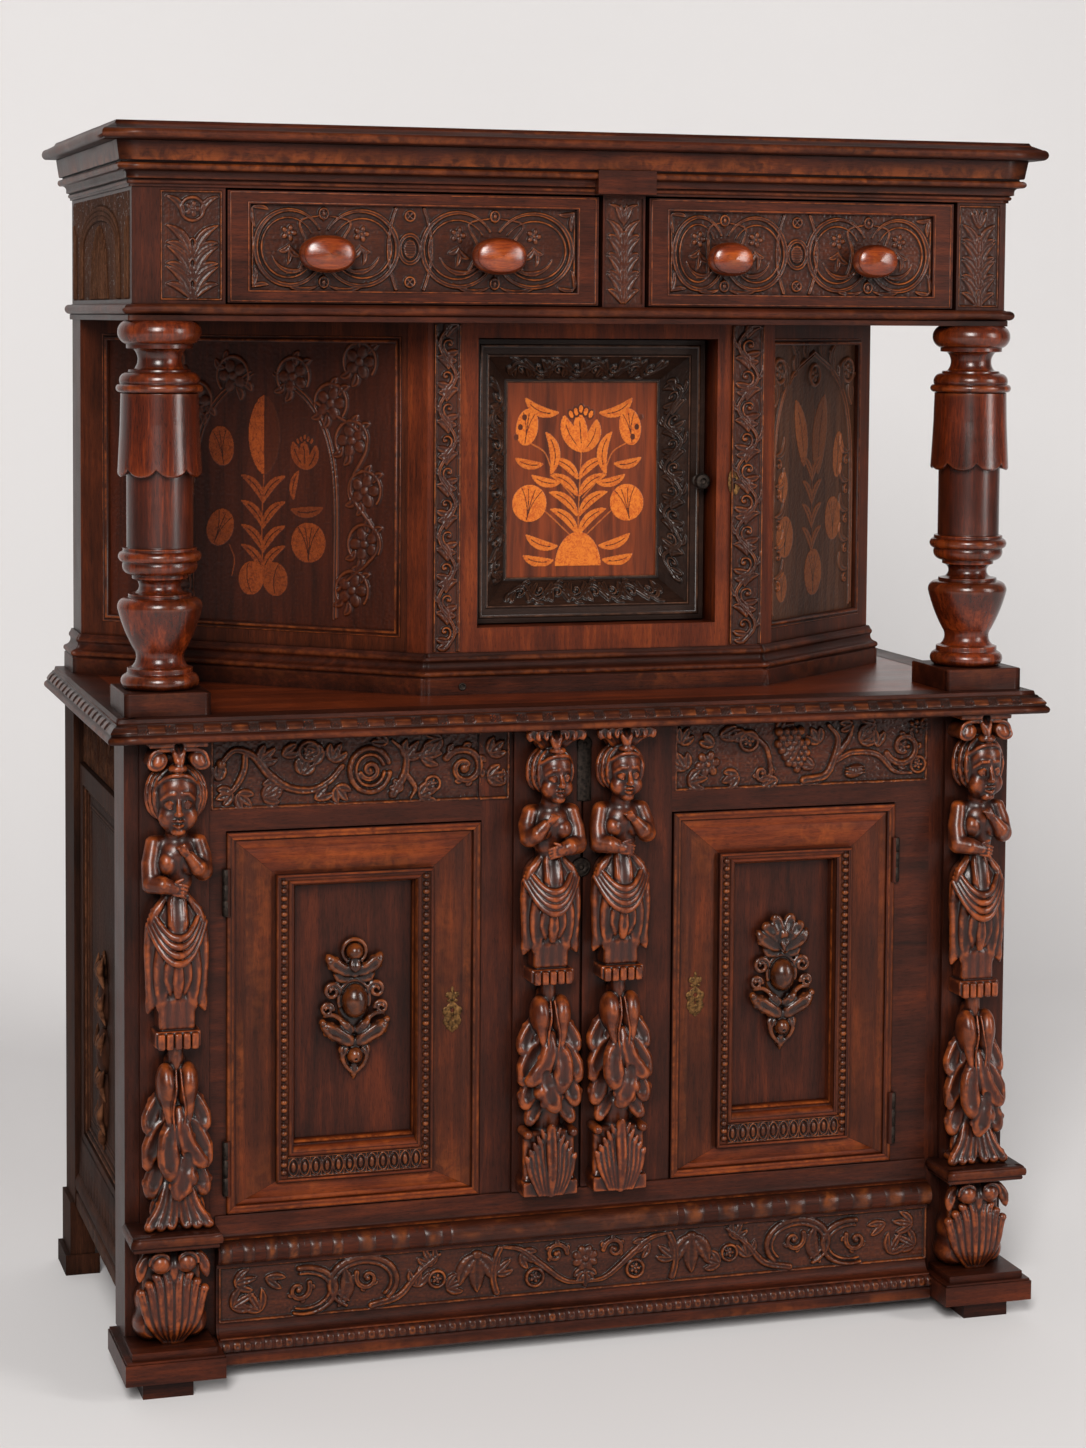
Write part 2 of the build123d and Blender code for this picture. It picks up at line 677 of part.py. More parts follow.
def column(x):
    """One column; heights up the turning stretch with the storey."""
    def up(height):
        return column_base + height * column_stretch

    hem = up(sleeve_foot)
    head = up(sleeve_head)
    with BuildSketch(Plane.XZ.offset(-column_y)) as sleeve:
        with BuildLine():
            trace((x, hem), (x + sleeve_foot_radius, hem), (x + sleeve_top_radius, head), (x, head))
        make_face()
    revolve(sleeve.sketch, axis=Axis((x, column_y, 0), (0, 0, 1)))
    pitch = sleeve_foot_radius * 0.4142
    for notch in range(petal_count):
        turn = 14.0 + notch * 360.0 / petal_count
        facing = (cos(radians(turn - 90)), sin(radians(turn - 90)), 0)
        with BuildSketch(Plane(origin=(x, column_y, hem), z_dir=facing,
                               x_dir=(-facing[1], facing[0], 0)).offset(shaft_radius - 12.0)) as cut:
            with BuildLine():
                trace((0.0, petal_height), ((4.5, 4.5), (pitch, 0.0)), (pitch, -2.0),
                      (-pitch, -2.0), (-pitch, 0.0), ((-4.5, 4.5), (0.0, petal_height)))
            make_face()
        extrude(cut.sketch, amount=40.0, mode=Mode.SUBTRACT)
    with BuildSketch(Plane.XZ.offset(-column_y)) as turning:
        with BuildLine():
            trace((x, column_base), (x + 44.0, column_base),
                  ((x + 51.0, up(9.0)), (x + 44.0, up(20.0))), (x + 42.7, up(21.0)),
                  (x + 42.7, up(27.0)), (x + 37.0, up(29.0)),
                  ((x + 31.0, up(41.0)), (x + 34.0, up(51.0))),
                  ((x + 47.0, up(79.0)), (x + 54.5, up(103.0))),
                  ((x + 52.5, up(115.0)), (x + 42.0, up(119.5))),
                  (x + 41.0, up(120.0)), (x + 41.0, up(124.0)), (x + 35.0, up(125.0)),
                  ((x + 27.0, up(133.0)), (x + 33.0, up(143.0))), (x + 36.0, up(144.0)),
                  (x + 36.0, up(149.0)), ((x + 46.5, up(154.0)), (x + 48.0, up(164.5))),
                  (x + 48.0, up(165.8)), ((x + 54.0, up(173.0)), (x + 48.0, up(180.0))),
                  (x + 48.0, up(184.0)), (x + shaft_radius, up(185.0)), (x + shaft_radius, head),
                  (x + 51.0, head), ((x + 56.5, up(391.5)), (x + 51.0, up(397.0))),
                  (x + 51.5, up(398.0)), ((x + 49.0, up(409.0)), (x + 40.5, up(412.5))),
                  (x + 40.0, up(415.4)), (x + 33.0, up(416.5)),
                  ((x + 28.3, up(430.0)), (x + 34.0, up(442.0))),
                  (x + 43.0, up(443.0)), (x + 43.0, up(448.5)), (x + 45.0, up(449.0)),
                  ((x + 54.3, up(464.0)), (x + 45.0, canopy_bottom)), (x, canopy_bottom))
        make_face()
    revolve(turning.sketch, axis=Axis((x, column_y, 0), (0, 0, 1)))
    block(x - column_plinth_width / 2, x + column_plinth_width / 2,
          column_y - column_plinth_depth / 2, column_y + column_plinth_depth / 2,
          table_top, column_base)


for column_name, column_place in (("column_left", -column_x), ("column_right", column_x)):
    with BuildPart() as column_piece:
        column(column_place)
    export(column_piece, column_name)

# ---------------------------------------------------------------------------------------------
# Table board between the storeys, with a moulded edge on three sides
# ---------------------------------------------------------------------------------------------
with BuildPart() as table_board:
    block(-case_half, case_half, table_front + table_overhang, back, table_bottom, table_top)
    moulding([(-case_half, back), (-case_half, table_front + table_overhang),
              (case_half, table_front + table_overhang), (case_half, back)],
             (-10.0, table_bottom),
             (table_overhang - 4.0, table_bottom),
             ((table_overhang, table_bottom + 5.0), (table_overhang - 3.0, table_bottom + 9.5)),
             (table_overhang - 5.0, table_bottom + 11.0),
             (table_overhang - 4.5, table_bottom + 13.0),
             (table_overhang - 13.0, table_top - 5.5),
             (table_overhang - 16.0, table_top - 5.0),
             (table_overhang - 17.0, table_top),
             (-10.0, table_top))
export(table_board, "table_board")

# ---------------------------------------------------------------------------------------------
# Lower case: posts, muntin, rails, sides, back and floor
# ---------------------------------------------------------------------------------------------
post_foot = block_top
left_post_inner = -case_half + corner_post_left
right_post_inner = case_half - corner_post_right
outer_figure_left = -case_half + outer_figure_inset_left
outer_figure_right = case_half - outer_figure_inset_right


def corner_post(x0, x1, outer0, outer1):
    block(x0, x1, case_front, case_inner, post_foot, table_bottom)
    block(outer0, outer1, case_inner, case_front + post_return, post_foot, table_bottom)


with BuildPart() as front_post_left:
    corner_post(-case_half, left_post_inner, -case_half, -inner_side)
    block(outer_figure_left - outer_figure_width / 2, left_post_inner,
          case_front - figure_back_board, case_front, impost_top, table_bottom)
export(front_post_left, "front_post_left")

with BuildPart() as front_post_right:
    corner_post(right_post_inner, case_half, inner_side, case_half)
    block(right_post_inner + 20.0, outer_figure_right + outer_figure_width / 2 + 6.0,
          case_front - figure_back_board, case_front, impost_top, table_bottom)
export(front_post_right, "front_post_right")

sill_top = door_bottom
sill_bottom = sill_top - sill_height
muntin_right = muntin_left + muntin_width
with BuildPart() as centre_muntin:
    block(muntin_left, muntin_right, case_front, case_inner, sill_top, table_bottom)
    block(inner_figure_left - inner_figure_width / 2 + 11.0, -9.0, case_front - figure_back_board,
          case_front, sill_top + 2.0, table_bottom)
    block(-5.0, inner_figure_right + inner_figure_width / 2 + 18.0,
          case_front - figure_back_board, case_front, sill_top + 2.0, table_bottom)
export(centre_muntin, "centre_muntin")


def frieze_board(x0, x1, door0, door1):
    """Board over a door: carved face above, plain rail below, with a jamb strip down one side."""
    block(x0, x1, case_front, case_inner, door_top, table_bottom)
    block(x0 + 4.0, x1 - 4.0, case_front, case_front + 4.0, frieze_rail_bottom,
          table_bottom - 5.0, mode=Mode.SUBTRACT)


door_left_start = left_post_inner + jamb_left
door_right_end = right_post_inner - jamb_right
with BuildPart() as lower_frieze_left:
    frieze_board(left_post_inner, muntin_left, door_left_start, muntin_left)
    block(left_post_inner, door_left_start, case_front, case_inner, sill_top, door_top)
export(lower_frieze_left, "lower_frieze_left")

with BuildPart() as lower_frieze_right:
    frieze_board(muntin_right, right_post_inner, muntin_right, door_right_end)
    block(door_right_end, right_post_inner, case_front, case_inner, sill_top, door_top)
export(lower_frieze_right, "lower_frieze_right")

apron_top = sill_bottom - torus_height
apron_face = case_front - 10.0
plank_top = apron_top - apron_height
base_start = -half_width + block_margin + block_width
base_end = half_width - block_margin - block_width
with BuildPart() as base_front:
    with BuildSketch(Plane.YZ.offset(base_start)):
        with BuildLine():
            trace((case_inner, plank_bottom), (case_front - 26.0, plank_bottom),
                  (case_front - 28.0, plank_bottom + 2.0), (case_front - 28.0, plank_bottom + 18.0),
                  ((case_front - 31.0, plank_bottom + 26.0),
                   (case_front - 25.0, plank_top - 6.0)),
                  ((case_front - 14.0, plank_top - 1.0), (apron_face, plank_top + 10.0)),
                  (apron_face, apron_top - 6.0), (apron_face - 4.0, apron_top - 5.0),
                  (apron_face - 4.0, apron_top),
                  ((case_front - 29.0, apron_top + torus_height / 2),
                   (case_front - 12.0, sill_bottom)),
                  (case_front - 6.0, sill_bottom + 3.0), (case_front - 3.0, sill_top - 6.0),
                  (case_front - 3.0, sill_top), (case_inner, sill_top))
        make_face()
    extrude(amount=base_end - base_start)
    block(left_post_inner, base_start + 1.0, case_front, case_inner, block_top, sill_top)
export(base_front, "base_front")

for side_name, sign in (("left", -1), ("right", 1)):
    def across(a, b):
        """X limits of a board from distance a to b out from the centre, on this side."""
        return (min(sign * a, sign * b), max(sign * a, sign * b))

    with BuildPart() as back_post:
        x0, x1 = across(inner_side, case_half)
        block(x0, x1, back - back_post_depth, back, side_rail_bottom + 8.0, table_bottom)
        x0, x1 = across(inner_side, case_half + 6.0)
        block(x0, x1, back - back_post_depth + 8.0, back, foot_height + 3.0,
              side_rail_bottom + 8.0)
        x0, x1 = across(half_width - 17.0 - back_foot_width, half_width - 17.0)
        block(x0, x1, back - back_foot_length, back, 0.0, foot_height + 3.0)
    export(back_post, "back_post_" + side_name)

    with BuildPart() as side_wall:
        y0 = case_front + post_return
        y1 = back - back_post_depth
        outer = case_half - side_recess
        x0, x1 = across(inner_side, outer)
        block(x0, x1, y0, y1, side_rail_bottom + 20.0, table_bottom)
        z_panel0 = side_rail_top + 12.0
        z_panel1 = frieze_rail_bottom - side_rail_width
        x0, x1 = across(outer - 9.0, outer + 1.0)
        block(x0, x1, y0 + 4.0, y1 - 4.0, frieze_rail_bottom, table_bottom - 8.0,
              mode=Mode.SUBTRACT)
        block(x0, x1, y0 + 34.0, y1 - 34.0, z_panel0, z_panel1, mode=Mode.SUBTRACT)
        with BuildSketch(Plane.XZ.offset(-y0)):
            with BuildLine():
                trace((sign * inner_side, side_rail_bottom),
                      (sign * (case_half - 5.0), side_rail_bottom),
                      (sign * (case_half - 2.0), side_rail_bottom + 4.0),
                      (sign * (case_half - 2.0), side_rail_bottom + 22.0),
                      (sign * (case_half - 5.0), side_rail_bottom + 26.0),
                      ((sign * (case_half - 1.0), side_rail_bottom + 40.0),
                       (sign * (case_half - 6.0), side_rail_bottom + 54.0)),
                      (sign * (case_half - 7.0), side_rail_bottom + 84.0),
                      (sign * outer, side_rail_top),
                      (sign * inner_side, side_rail_top))
            make_face()
        extrude(amount=-(y1 - y0))
        boss_x = sign * (outer - 9.0)
        boss_y = (y0 + y1) / 2
        boss_z = z_panel0 + side_ornament_rise
        half_wide = side_ornament_half_width
        half_long = side_ornament_half_length
        ellipsoid(boss_x, boss_y, boss_z, side_ornament_boss, half_wide, half_long)
        for way, slim, stretch in ((1, 0.8, 1.1), (-1, 0.75, 1.4)):
            ellipsoid(boss_x, boss_y, boss_z + way * side_ornament_pitch,
                      side_ornament_boss - 3.0, half_wide * slim, half_long * stretch)
        x0, x1 = across(0.0, inner_side)
        block(x0, x1, boss_y - 3 * half_wide, boss_y + 3 * half_wide,
              boss_z - 5 * half_long, boss_z + 4 * half_long, mode=Mode.SUBTRACT)
    export(side_wall, "side_wall_" + side_name)

floor_top = sill_top - 2.0
with BuildPart() as lower_floor:
    block(-inner_side, inner_side, case_inner, back - back_thickness, floor_top - floor_thickness,
          floor_top)
export(lower_floor, "lower_floor")

with BuildPart() as lower_back:
    block(-inner_side, inner_side, back - back_thickness, back, side_rail_bottom, table_bottom)
export(lower_back, "lower_back")

# ---------------------------------------------------------------------------------------------
# Corner bases: block on a small foot, acanthus scroll corbel, impost shelf
# ---------------------------------------------------------------------------------------------
for side_name, sign in (("left", -1), ("right", 1)):
    def span(outer_edge, width):
        """X limits of something whose outer edge is a distance from the centre, on this side."""
        a = sign * outer_edge
        b = sign * (outer_edge - width)
        return (min(a, b), max(a, b))

    block_outer = half_width - block_margin
    corbel_outer = case_half - 1.0
    with BuildPart() as corner_base:
        x0, x1 = span(block_outer, block_width)
        block(x0, x1, block_front, block_front + block_length, block_bottom, block_top - 3.0)
        block(x0 + 2.0, x1 - 2.0, block_front + 2.0, block_front + block_length,
              block_top - 3.0, block_top)
        x0, x1 = span(block_outer - front_foot_inset, front_foot_width)
        block(x0, x1, block_front + front_foot_setback,
              block_front + front_foot_setback + front_foot_length, 0.0, foot_height)
        x0, x1 = span(block_outer - 10.0, block_width - 20.0)
        block(x0, x1, block_front + 10.0, case_front, block_top, corbel_bottom)
    export(corner_base, "corner_base_" + side_name)

    with BuildPart() as corbel:
        x0, x1 = span(corbel_outer, corbel_width)
        with BuildSketch(Plane.YZ.offset(x0)):
            with BuildLine():
                trace((case_front, corbel_bottom), (case_front - 52.0, corbel_bottom),
                      ((case_front - corbel_depth, corbel_bottom + 48.0),
                       (case_front - 44.0, corbel_top - 36.0)),
                      ((case_front - 62.0, corbel_top - 26.0),
                       (case_front - 44.0, corbel_top - 8.0)),
                      (case_front - 36.0, corbel_top), (case_front, corbel_top))
            make_face()
        extrude(amount=x1 - x0)
        x0, x1 = span(case_half + 3.0, impost_width)
        with BuildSketch(Plane.XY.offset(impost_bottom)):
            with Locations(((x0 + x1) / 2, case_front - impost_depth / 2)):
                Rectangle(x1 - x0 - 8.0, impost_depth)
        extrude(amount=6.0)
        block(x0, x1, case_front - impost_depth - 3.0, case_front, impost_bottom + 6.0,
              impost_top - 3.0)
        block(x0 + 2.0, x1 - 2.0, case_front - impost_depth - 1.0, case_front,
              impost_top - 3.0, impost_top)
    export(corbel, "corbel_" + side_name)


# ---------------------------------------------------------------------------------------------
# Term figures: scrolled cap, head, crossed arms, draped hips, ledge, leafy stem and flared foot
# ---------------------------------------------------------------------------------------------
def oval(x, z, width, depth, back_plane):
    """One half-buried oval section of a figure at a height."""
    with BuildSketch(Plane.XY.offset(z)) as section:
        with Locations((x, back_plane + 2.0)):
            Ellipse(width / 2, depth + 2.0)
    return section.sketch.face()


def stack(x, back_plane, *sections):
    """A form lofted through oval sections (height, width, depth)."""
    loft([oval(x, z, width, depth, back_plane) for z, width, depth in sections])


def arm(shoulder, elbow, hand, radius):
    """Upper arm and forearm as round limbs with rounded joints."""
    for a, b in ((shoulder, elbow), (elbow, hand)):
        run = Vector(*b) - Vector(*a)
        with BuildSketch(Plane(origin=a, z_dir=run)) as limb:
            Circle(radius)
        extrude(limb.sketch, amount=run.length)
    with Locations(shoulder, elbow, hand):
        Sphere(radius * 1.06)


def figure(x, foot, top, width, plane):
    """One carved figure between a foot height and the underside of the table."""
    rise = top - foot
    depth = figure_depth

    def at(share):
        return foot + rise * share

    # flared foot, tiers of leaves, lobed drop and the slim neck under the ledge
    stack(x, plane, (foot, width * 0.86, depth * 0.62), (at(0.04), width * 0.74, depth * 0.56),
          (at(0.12), width * 0.44, depth * 0.42))
    stack(x, plane, (at(0.105), width * 0.58, depth * 0.46), (at(0.145), width * 0.95, depth * 0.76),
          (at(0.205), width * 0.76, depth * 0.62))
    stack(x, plane, (at(0.195), width * 0.92, depth * 0.70), (at(0.235), width * 0.80, depth * 0.66),
          (at(0.295), width * 0.54, depth * 0.52))
    stack(x, plane, (at(0.285), width * 0.78, depth * 0.60), (at(0.33), width * 0.56, depth * 0.58),
          (at(0.405), width * 0.30, depth * 0.40))
    # ledge, skirt of drapery, waist and chest
    block(x - width * 0.38, x + width * 0.38, plane - depth * 0.78, plane + 2.0, at(0.40),
          at(0.432))
    stack(x, plane, (at(0.43), width * 0.64, depth * 0.66), (at(0.51), width * 0.86, depth * 0.82),
          (at(0.60), width * 0.99, depth * 0.88), (at(0.655), width * 0.80, depth * 0.76))
    stack(x, plane, (at(0.65), width * 0.64, depth * 0.72), (at(0.69), width * 0.64, depth * 0.74),
          (at(0.745), width * 0.82, depth * 0.78), (at(0.785), width * 0.60, depth * 0.62),
          (at(0.82), width * 0.32, depth * 0.50))
    # arms folded over the chest
    for turn in (-1, 1):
        arm((x + turn * width * 0.33, plane - depth * 0.42, at(0.757)),
            (x + turn * width * 0.37, plane - depth * 0.66, at(0.697)),
            (x - turn * width * 0.06, plane - depth * 0.84, at(0.717 + 0.010 * turn)),
            width * 0.115)
    # head with a cap of hair and side curls
    ellipsoid(x, plane - depth * 0.62, at(0.868), width * 0.28, depth * 0.36, rise * 0.066)
    ellipsoid(x, plane - depth * 0.44, at(0.908), width * 0.37, depth * 0.42, rise * 0.040)
    for turn in (-1, 1):
        ellipsoid(x + turn * width * 0.31, plane - depth * 0.30, at(0.862), width * 0.15,
                  depth * 0.34, rise * 0.034)
    # scrolled cap under the table
    block(x - width * 0.44, x + width * 0.44, plane - depth * 0.88, plane + 2.0, at(0.972), top)
    for turn in (-1, 1):
        with Locations((x + turn * width * 0.33, plane - depth * 0.46, at(0.962))):
            Cylinder(rise * 0.024, depth * 0.98, rotation=(90, 0, 0))
    block(x - width * 0.20, x + width * 0.20, plane - depth * 0.60, plane + 2.0, at(0.93),
          at(0.975))
    # flat back against the board behind
    block(x - width, x + width, plane, plane + depth * 2.0, foot - 20.0, top + 20.0,
          mode=Mode.SUBTRACT)


figure_plane = case_front - figure_back_board
for side_name, centre in (("left", outer_figure_left), ("right", outer_figure_right)):
    with BuildPart() as outer_figure:
        figure(centre, impost_top, table_bottom, outer_figure_width, figure_plane)
    export(outer_figure, "figure_outer_" + side_name)

for side_name, centre in (("left", inner_figure_left), ("right", inner_figure_right)):
    with BuildPart() as inner_figure:
        figure(centre + 14.0, sill_top + inner_base_height, table_bottom, inner_figure_width,
               figure_plane)
        with BuildSketch(Plane.YZ.offset(centre + 14.0 - inner_figure_width * 0.44)):
            with BuildLine():
                trace((figure_plane, sill_top + 3.0), (figure_plane - 50.0, sill_top + 3.0),
                      ((figure_plane - 46.0, sill_top + 50.0),
                       (figure_plane - 30.0, sill_top + inner_base_height)),
                      (figure_plane, sill_top + inner_base_height))
            make_face()
        extrude(amount=inner_figure_width * 0.88)
    export(inner_figure, "figure_inner_" + side_name)


# ---------------------------------------------------------------------------------------------
# Lower doors: mitred frame with a raised inner moulding, sunk panel, applied ornament, key plate
# ---------------------------------------------------------------------------------------------
door_face = case_front
inset_side = 66.0
inset_bottom = 38.0
inset_top = 58.0


def door_outline(x0, x1):
    """Edges of a door's frame and of its raised inner moulding."""
    z0 = door_bottom + door_floor_gap
    z1 = door_top - door_gap
    return z0, z1, x0 + inset_side, x1 - inset_side, z0 + inset_bottom, z1 - inset_top


def raised_edge(x0, x1, z0, z1, width, rise):
    """A raised strip of one height round the inside of an upright rectangle."""
    block(x0, x1, door_face - rise, door_face, z0, z1)
    block(x0 + width, x1 - width, door_face - rise - 1.0, door_face, z0 + width, z1 - width,
          mode=Mode.SUBTRACT)


hinge_centre_y = door_face - hinge_barrel_radius - pivot_gap
hinge_levels = ((door_bottom + hinge_lower_start, door_bottom + hinge_lower_end),
                (door_top - hinge_upper_start, door_top - hinge_upper_end))


def hinge_barrels(x):
    """Two upright barrels on the door's hinge edge, turning just clear of the jamb's face."""
    for low_end, high_end in hinge_levels:
        with Locations((x, hinge_centre_y, (low_end + high_end) / 2)):
            Cylinder(hinge_barrel_radius, high_end - low_end)


doors = [("door_left", door_left_start + door_gap, muntin_left - door_gap, "left",
          ornament_share_left),
         ("door_right", muntin_right + door_gap, door_right_end - door_gap, "right",
          ornament_share_right)]
for door_name, x0, x1, hinge_side, ornament_share in doors:
    z0, z1, inner0, inner1, low, high = door_outline(x0, x1)
    mid = (inner0 + inner1) / 2
    panel_x0, panel_x1 = inner0 + 27.0, inner1 - 27.0
    panel_z0, panel_z1 = low + 54.0, high - 18.0
    with BuildPart() as frame_piece:
        block(x0, x1, door_face, door_face + door_thickness, z0, z1)
        raised_edge(x0, x1, z0, z1, door_bead, door_bead_rise)
        raised_edge(inner0, inner1, low, high, 4.0, 9.0)
        raised_edge(inner0 + 4.0, inner1 - 4.0, low + 4.0, high - 4.0, 12.0, 6.0)
        raised_edge(inner0 + 16.0, inner1 - 16.0, low + 34.0, high - 8.0, 5.0, 8.0)
        block(panel_x0, panel_x1, door_face - 20.0, door_face + door_thickness + 1.0,
              panel_z0, panel_z1, mode=Mode.SUBTRACT)
        with BuildSketch(Plane.XZ.offset(-door_face + 1.0)):
            with Locations((mid, (panel_z0 + panel_z1) / 2)):
                Rectangle(panel_x1 - panel_x0 + 12.0, panel_z1 - panel_z0 + 12.0)
        with BuildSketch(Plane.XZ.offset(-door_face - 12.0)):
            with Locations((mid, (panel_z0 + panel_z1) / 2)):
                Rectangle(panel_x1 - panel_x0, panel_z1 - panel_z0)
        loft(mode=Mode.SUBTRACT)
        hinge_barrels(x0 - door_gap / 2 if hinge_side == "left" else x1 + door_gap / 2)
    export(frame_piece, door_name + "_frame")

    with BuildPart() as panel_piece:
        block(panel_x0, panel_x1, door_face + 12.0, door_face + 20.0, panel_z0, panel_z1)
    export(panel_piece, door_name + "_panel")

    panel_face = door_face + 12.0
    boss_z = (panel_z0 + panel_z1) / 2 + 8.0
    reach = (panel_x1 - panel_x0) / 2 * ornament_share
    with BuildPart() as ornament_piece:
        ellipsoid(mid, panel_face, boss_z, 0.37 * reach, 26.0, 20.0)
        ellipsoid(mid, panel_face, boss_z + 62.0, 0.52 * reach, 20.0, 26.0)
        ellipsoid(mid, panel_face, boss_z + 34.0, 0.26 * reach, 14.0, 20.0)
        ellipsoid(mid, panel_face, boss_z - 62.0, 0.30 * reach, 16.0, 42.0)
        ellipsoid(mid, panel_face, boss_z - 22.0, 0.56 * reach, 14.0, 26.0)
        for turn in (-1, 1):
            ellipsoid(mid + turn * 0.70 * reach, panel_face, boss_z + 10.0, 0.30 * reach, 13.0,
                      22.0)
            ellipsoid(mid + turn * 0.57 * reach, panel_face, boss_z - 20.0, 0.35 * reach, 13.0,
                      20.0)
        block(mid - 2 * reach, mid + 2 * reach, panel_face, panel_face + 60.0, boss_z - 130.0,
              boss_z + 130.0, mode=Mode.SUBTRACT)
    export(ornament_piece, door_name + "_ornament")

    plate_x = x1 - 38.0 if hinge_side == "left" else x0 + 34.0
    plate_z = (z0 + z1) / 2 - key_plate_drop
    with BuildPart() as plate_piece:
        with BuildSketch(Plane.XZ.offset(-door_face)):
            with Locations((plate_x, plate_z - 4.0)):
                Ellipse(14.0, 25.0)
            with Locations((plate_x, plate_z + 24.0)):
                Ellipse(9.0, 13.0)
            with Locations((plate_x, plate_z + 2.0)):
                Circle(3.4, mode=Mode.SUBTRACT)
            with Locations((plate_x, plate_z - 7.0)):
                Rectangle(3.0, 16.0, mode=Mode.SUBTRACT)
        extrude(amount=2.0)
    export(plate_piece, door_name + "_key_plate")
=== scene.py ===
"""Court cupboard: carved, turned and inlaid surfaces, materials, stage and camera.

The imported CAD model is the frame. Plain boards keep their CAD nodes and get wood; carved and turned
pieces are built here as meshes that stand for theirs. Sizes are in millimetres until a mesh is made.
Frame: X to the right, Y to the back, Z up, origin on the floor under the centre.
"""
import functools
import math

import bpy
import numpy as np
from mathutils import Matrix, Vector


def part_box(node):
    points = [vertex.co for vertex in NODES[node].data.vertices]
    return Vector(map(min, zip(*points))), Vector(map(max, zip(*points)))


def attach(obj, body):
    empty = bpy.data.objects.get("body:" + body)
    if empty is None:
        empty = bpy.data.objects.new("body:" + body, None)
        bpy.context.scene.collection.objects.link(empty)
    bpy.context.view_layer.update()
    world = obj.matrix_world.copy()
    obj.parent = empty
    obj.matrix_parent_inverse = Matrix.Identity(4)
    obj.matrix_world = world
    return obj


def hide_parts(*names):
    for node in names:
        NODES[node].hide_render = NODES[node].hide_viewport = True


bl_info = {
    "name": "Court Cupboard",
    "version": (1, 0, 0),
    "blender": (4, 5, 0),
    "location": "View3D > Sidebar > Cupboard",
    "description": "Builds the carved and inlaid surfaces of a court cupboard on its CAD frame",
    "category": "Add Mesh",
}

MM = 0.001
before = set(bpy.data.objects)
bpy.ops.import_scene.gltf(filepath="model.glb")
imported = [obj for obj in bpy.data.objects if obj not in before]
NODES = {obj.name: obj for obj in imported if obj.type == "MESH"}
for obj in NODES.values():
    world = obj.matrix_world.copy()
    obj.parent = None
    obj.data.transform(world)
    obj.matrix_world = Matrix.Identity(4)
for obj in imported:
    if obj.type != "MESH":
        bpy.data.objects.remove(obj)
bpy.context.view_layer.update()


# ---- Properties --------------------------------------------------------------------------------
def srgb(text):
    """Linear RGBA from an sRGB hex colour."""
    parts = [int(text[i:i + 2], 16) / 255 for i in (1, 3, 5)]
    linear = [c / 12.92 if c <= 0.04045 else ((c + 0.055) / 1.055) ** 2.4 for c in parts]
    return (*linear, 1.0)


class FinishSettings(bpy.types.PropertyGroup):
    """Colours of the waxed oak and of the inlaid wood."""
    oak_dark: bpy.props.FloatVectorProperty(
        name="Oak, dark", description="Darkest figure of the waxed oak case",
        default=srgb("#160804"), size=4, min=0.0, max=1.0, subtype="COLOR")
    oak_middle: bpy.props.FloatVectorProperty(
        name="Oak, middle", description="Main colour of the waxed oak case",
        default=srgb("#36150A"), size=4, min=0.0, max=1.0, subtype="COLOR")
    oak_light: bpy.props.FloatVectorProperty(
        name="Oak, light", description="Lightest figure of the waxed oak case",
        default=srgb("#5C2610"), size=4, min=0.0, max=1.0, subtype="COLOR")
    oak_rubbed: bpy.props.FloatVectorProperty(
        name="Oak, rubbed", description="Edges of the case where the wax is worn off",
        default=srgb("#9C4E1E"), size=4, min=0.0, max=1.0, subtype="COLOR")
    inlay_dark: bpy.props.FloatVectorProperty(
        name="Inlay, dark", description="Dark curls of the burr in the inlaid leaves",
        default=srgb("#963C10"), size=4, min=0.0, max=1.0, subtype="COLOR")
    inlay_light: bpy.props.FloatVectorProperty(
        name="Inlay, light", description="Main colour of the inlaid leaves",
        default=srgb("#C0671F"), size=4, min=0.0, max=1.0, subtype="COLOR")


class CarvingSettings(bpy.types.PropertyGroup):
    """Fineness and finish of the carving."""
    relief_pitch: bpy.props.FloatProperty(
        name="Relief pitch", description="Grid spacing of flat carved panels, in millimetres",
        default=1.1, min=0.4, max=4.0)
    figure_pitch: bpy.props.FloatProperty(
        name="Figure pitch", description="Grid spacing of carving in the round, in millimetres",
        default=1.25, min=0.8, max=4.0)
    tool_marks: bpy.props.FloatProperty(
        name="Tool marks", description="Height of gouge marks left on carved ground, in millimetres",
        default=0.22, min=0.0, max=1.0)
    seed: bpy.props.IntProperty(
        name="Seed", description="Starts the random irregularities of handwork", default=1640)


class MouldingSettings(bpy.types.PropertyGroup):
    """Handmade irregularity of the run mouldings and turnings."""
    wobble: bpy.props.FloatProperty(
        name="Wobble", description="How far a moulding wanders from straight, in millimetres",
        default=0.35, min=0.0, max=2.0)
    station: bpy.props.FloatProperty(
        name="Station", description="Spacing of the sections along a moulding, in millimetres",
        default=9.0, min=2.0, max=50.0)
    lathe_steps: bpy.props.IntProperty(
        name="Lathe steps", description="Facets round a turned piece", default=96, min=24)


class StageSettings(bpy.types.PropertyGroup):
    """Light and camera."""
    sky: bpy.props.FloatProperty(
        name="Sky", description="Strength of the even light from all round", default=0.15, min=0.0)
    key: bpy.props.FloatProperty(
        name="Key light", description="Power of the tall soft light at the front left",
        default=580.0, min=0.0, unit="POWER")
    fill: bpy.props.FloatProperty(
        name="Fill light", description="Power of the soft light at the front right",
        default=230.0, min=0.0, unit="POWER")
    wall: bpy.props.FloatProperty(
        name="Wall light", description="Power of the strip that washes the backdrop",
        default=4.0, min=0.0, unit="POWER")
    focal_length: bpy.props.FloatProperty(
        name="Focal length", description="Camera focal length on a 36 mm sensor", default=73.79,
        min=10.0, subtype="DISTANCE_CAMERA")


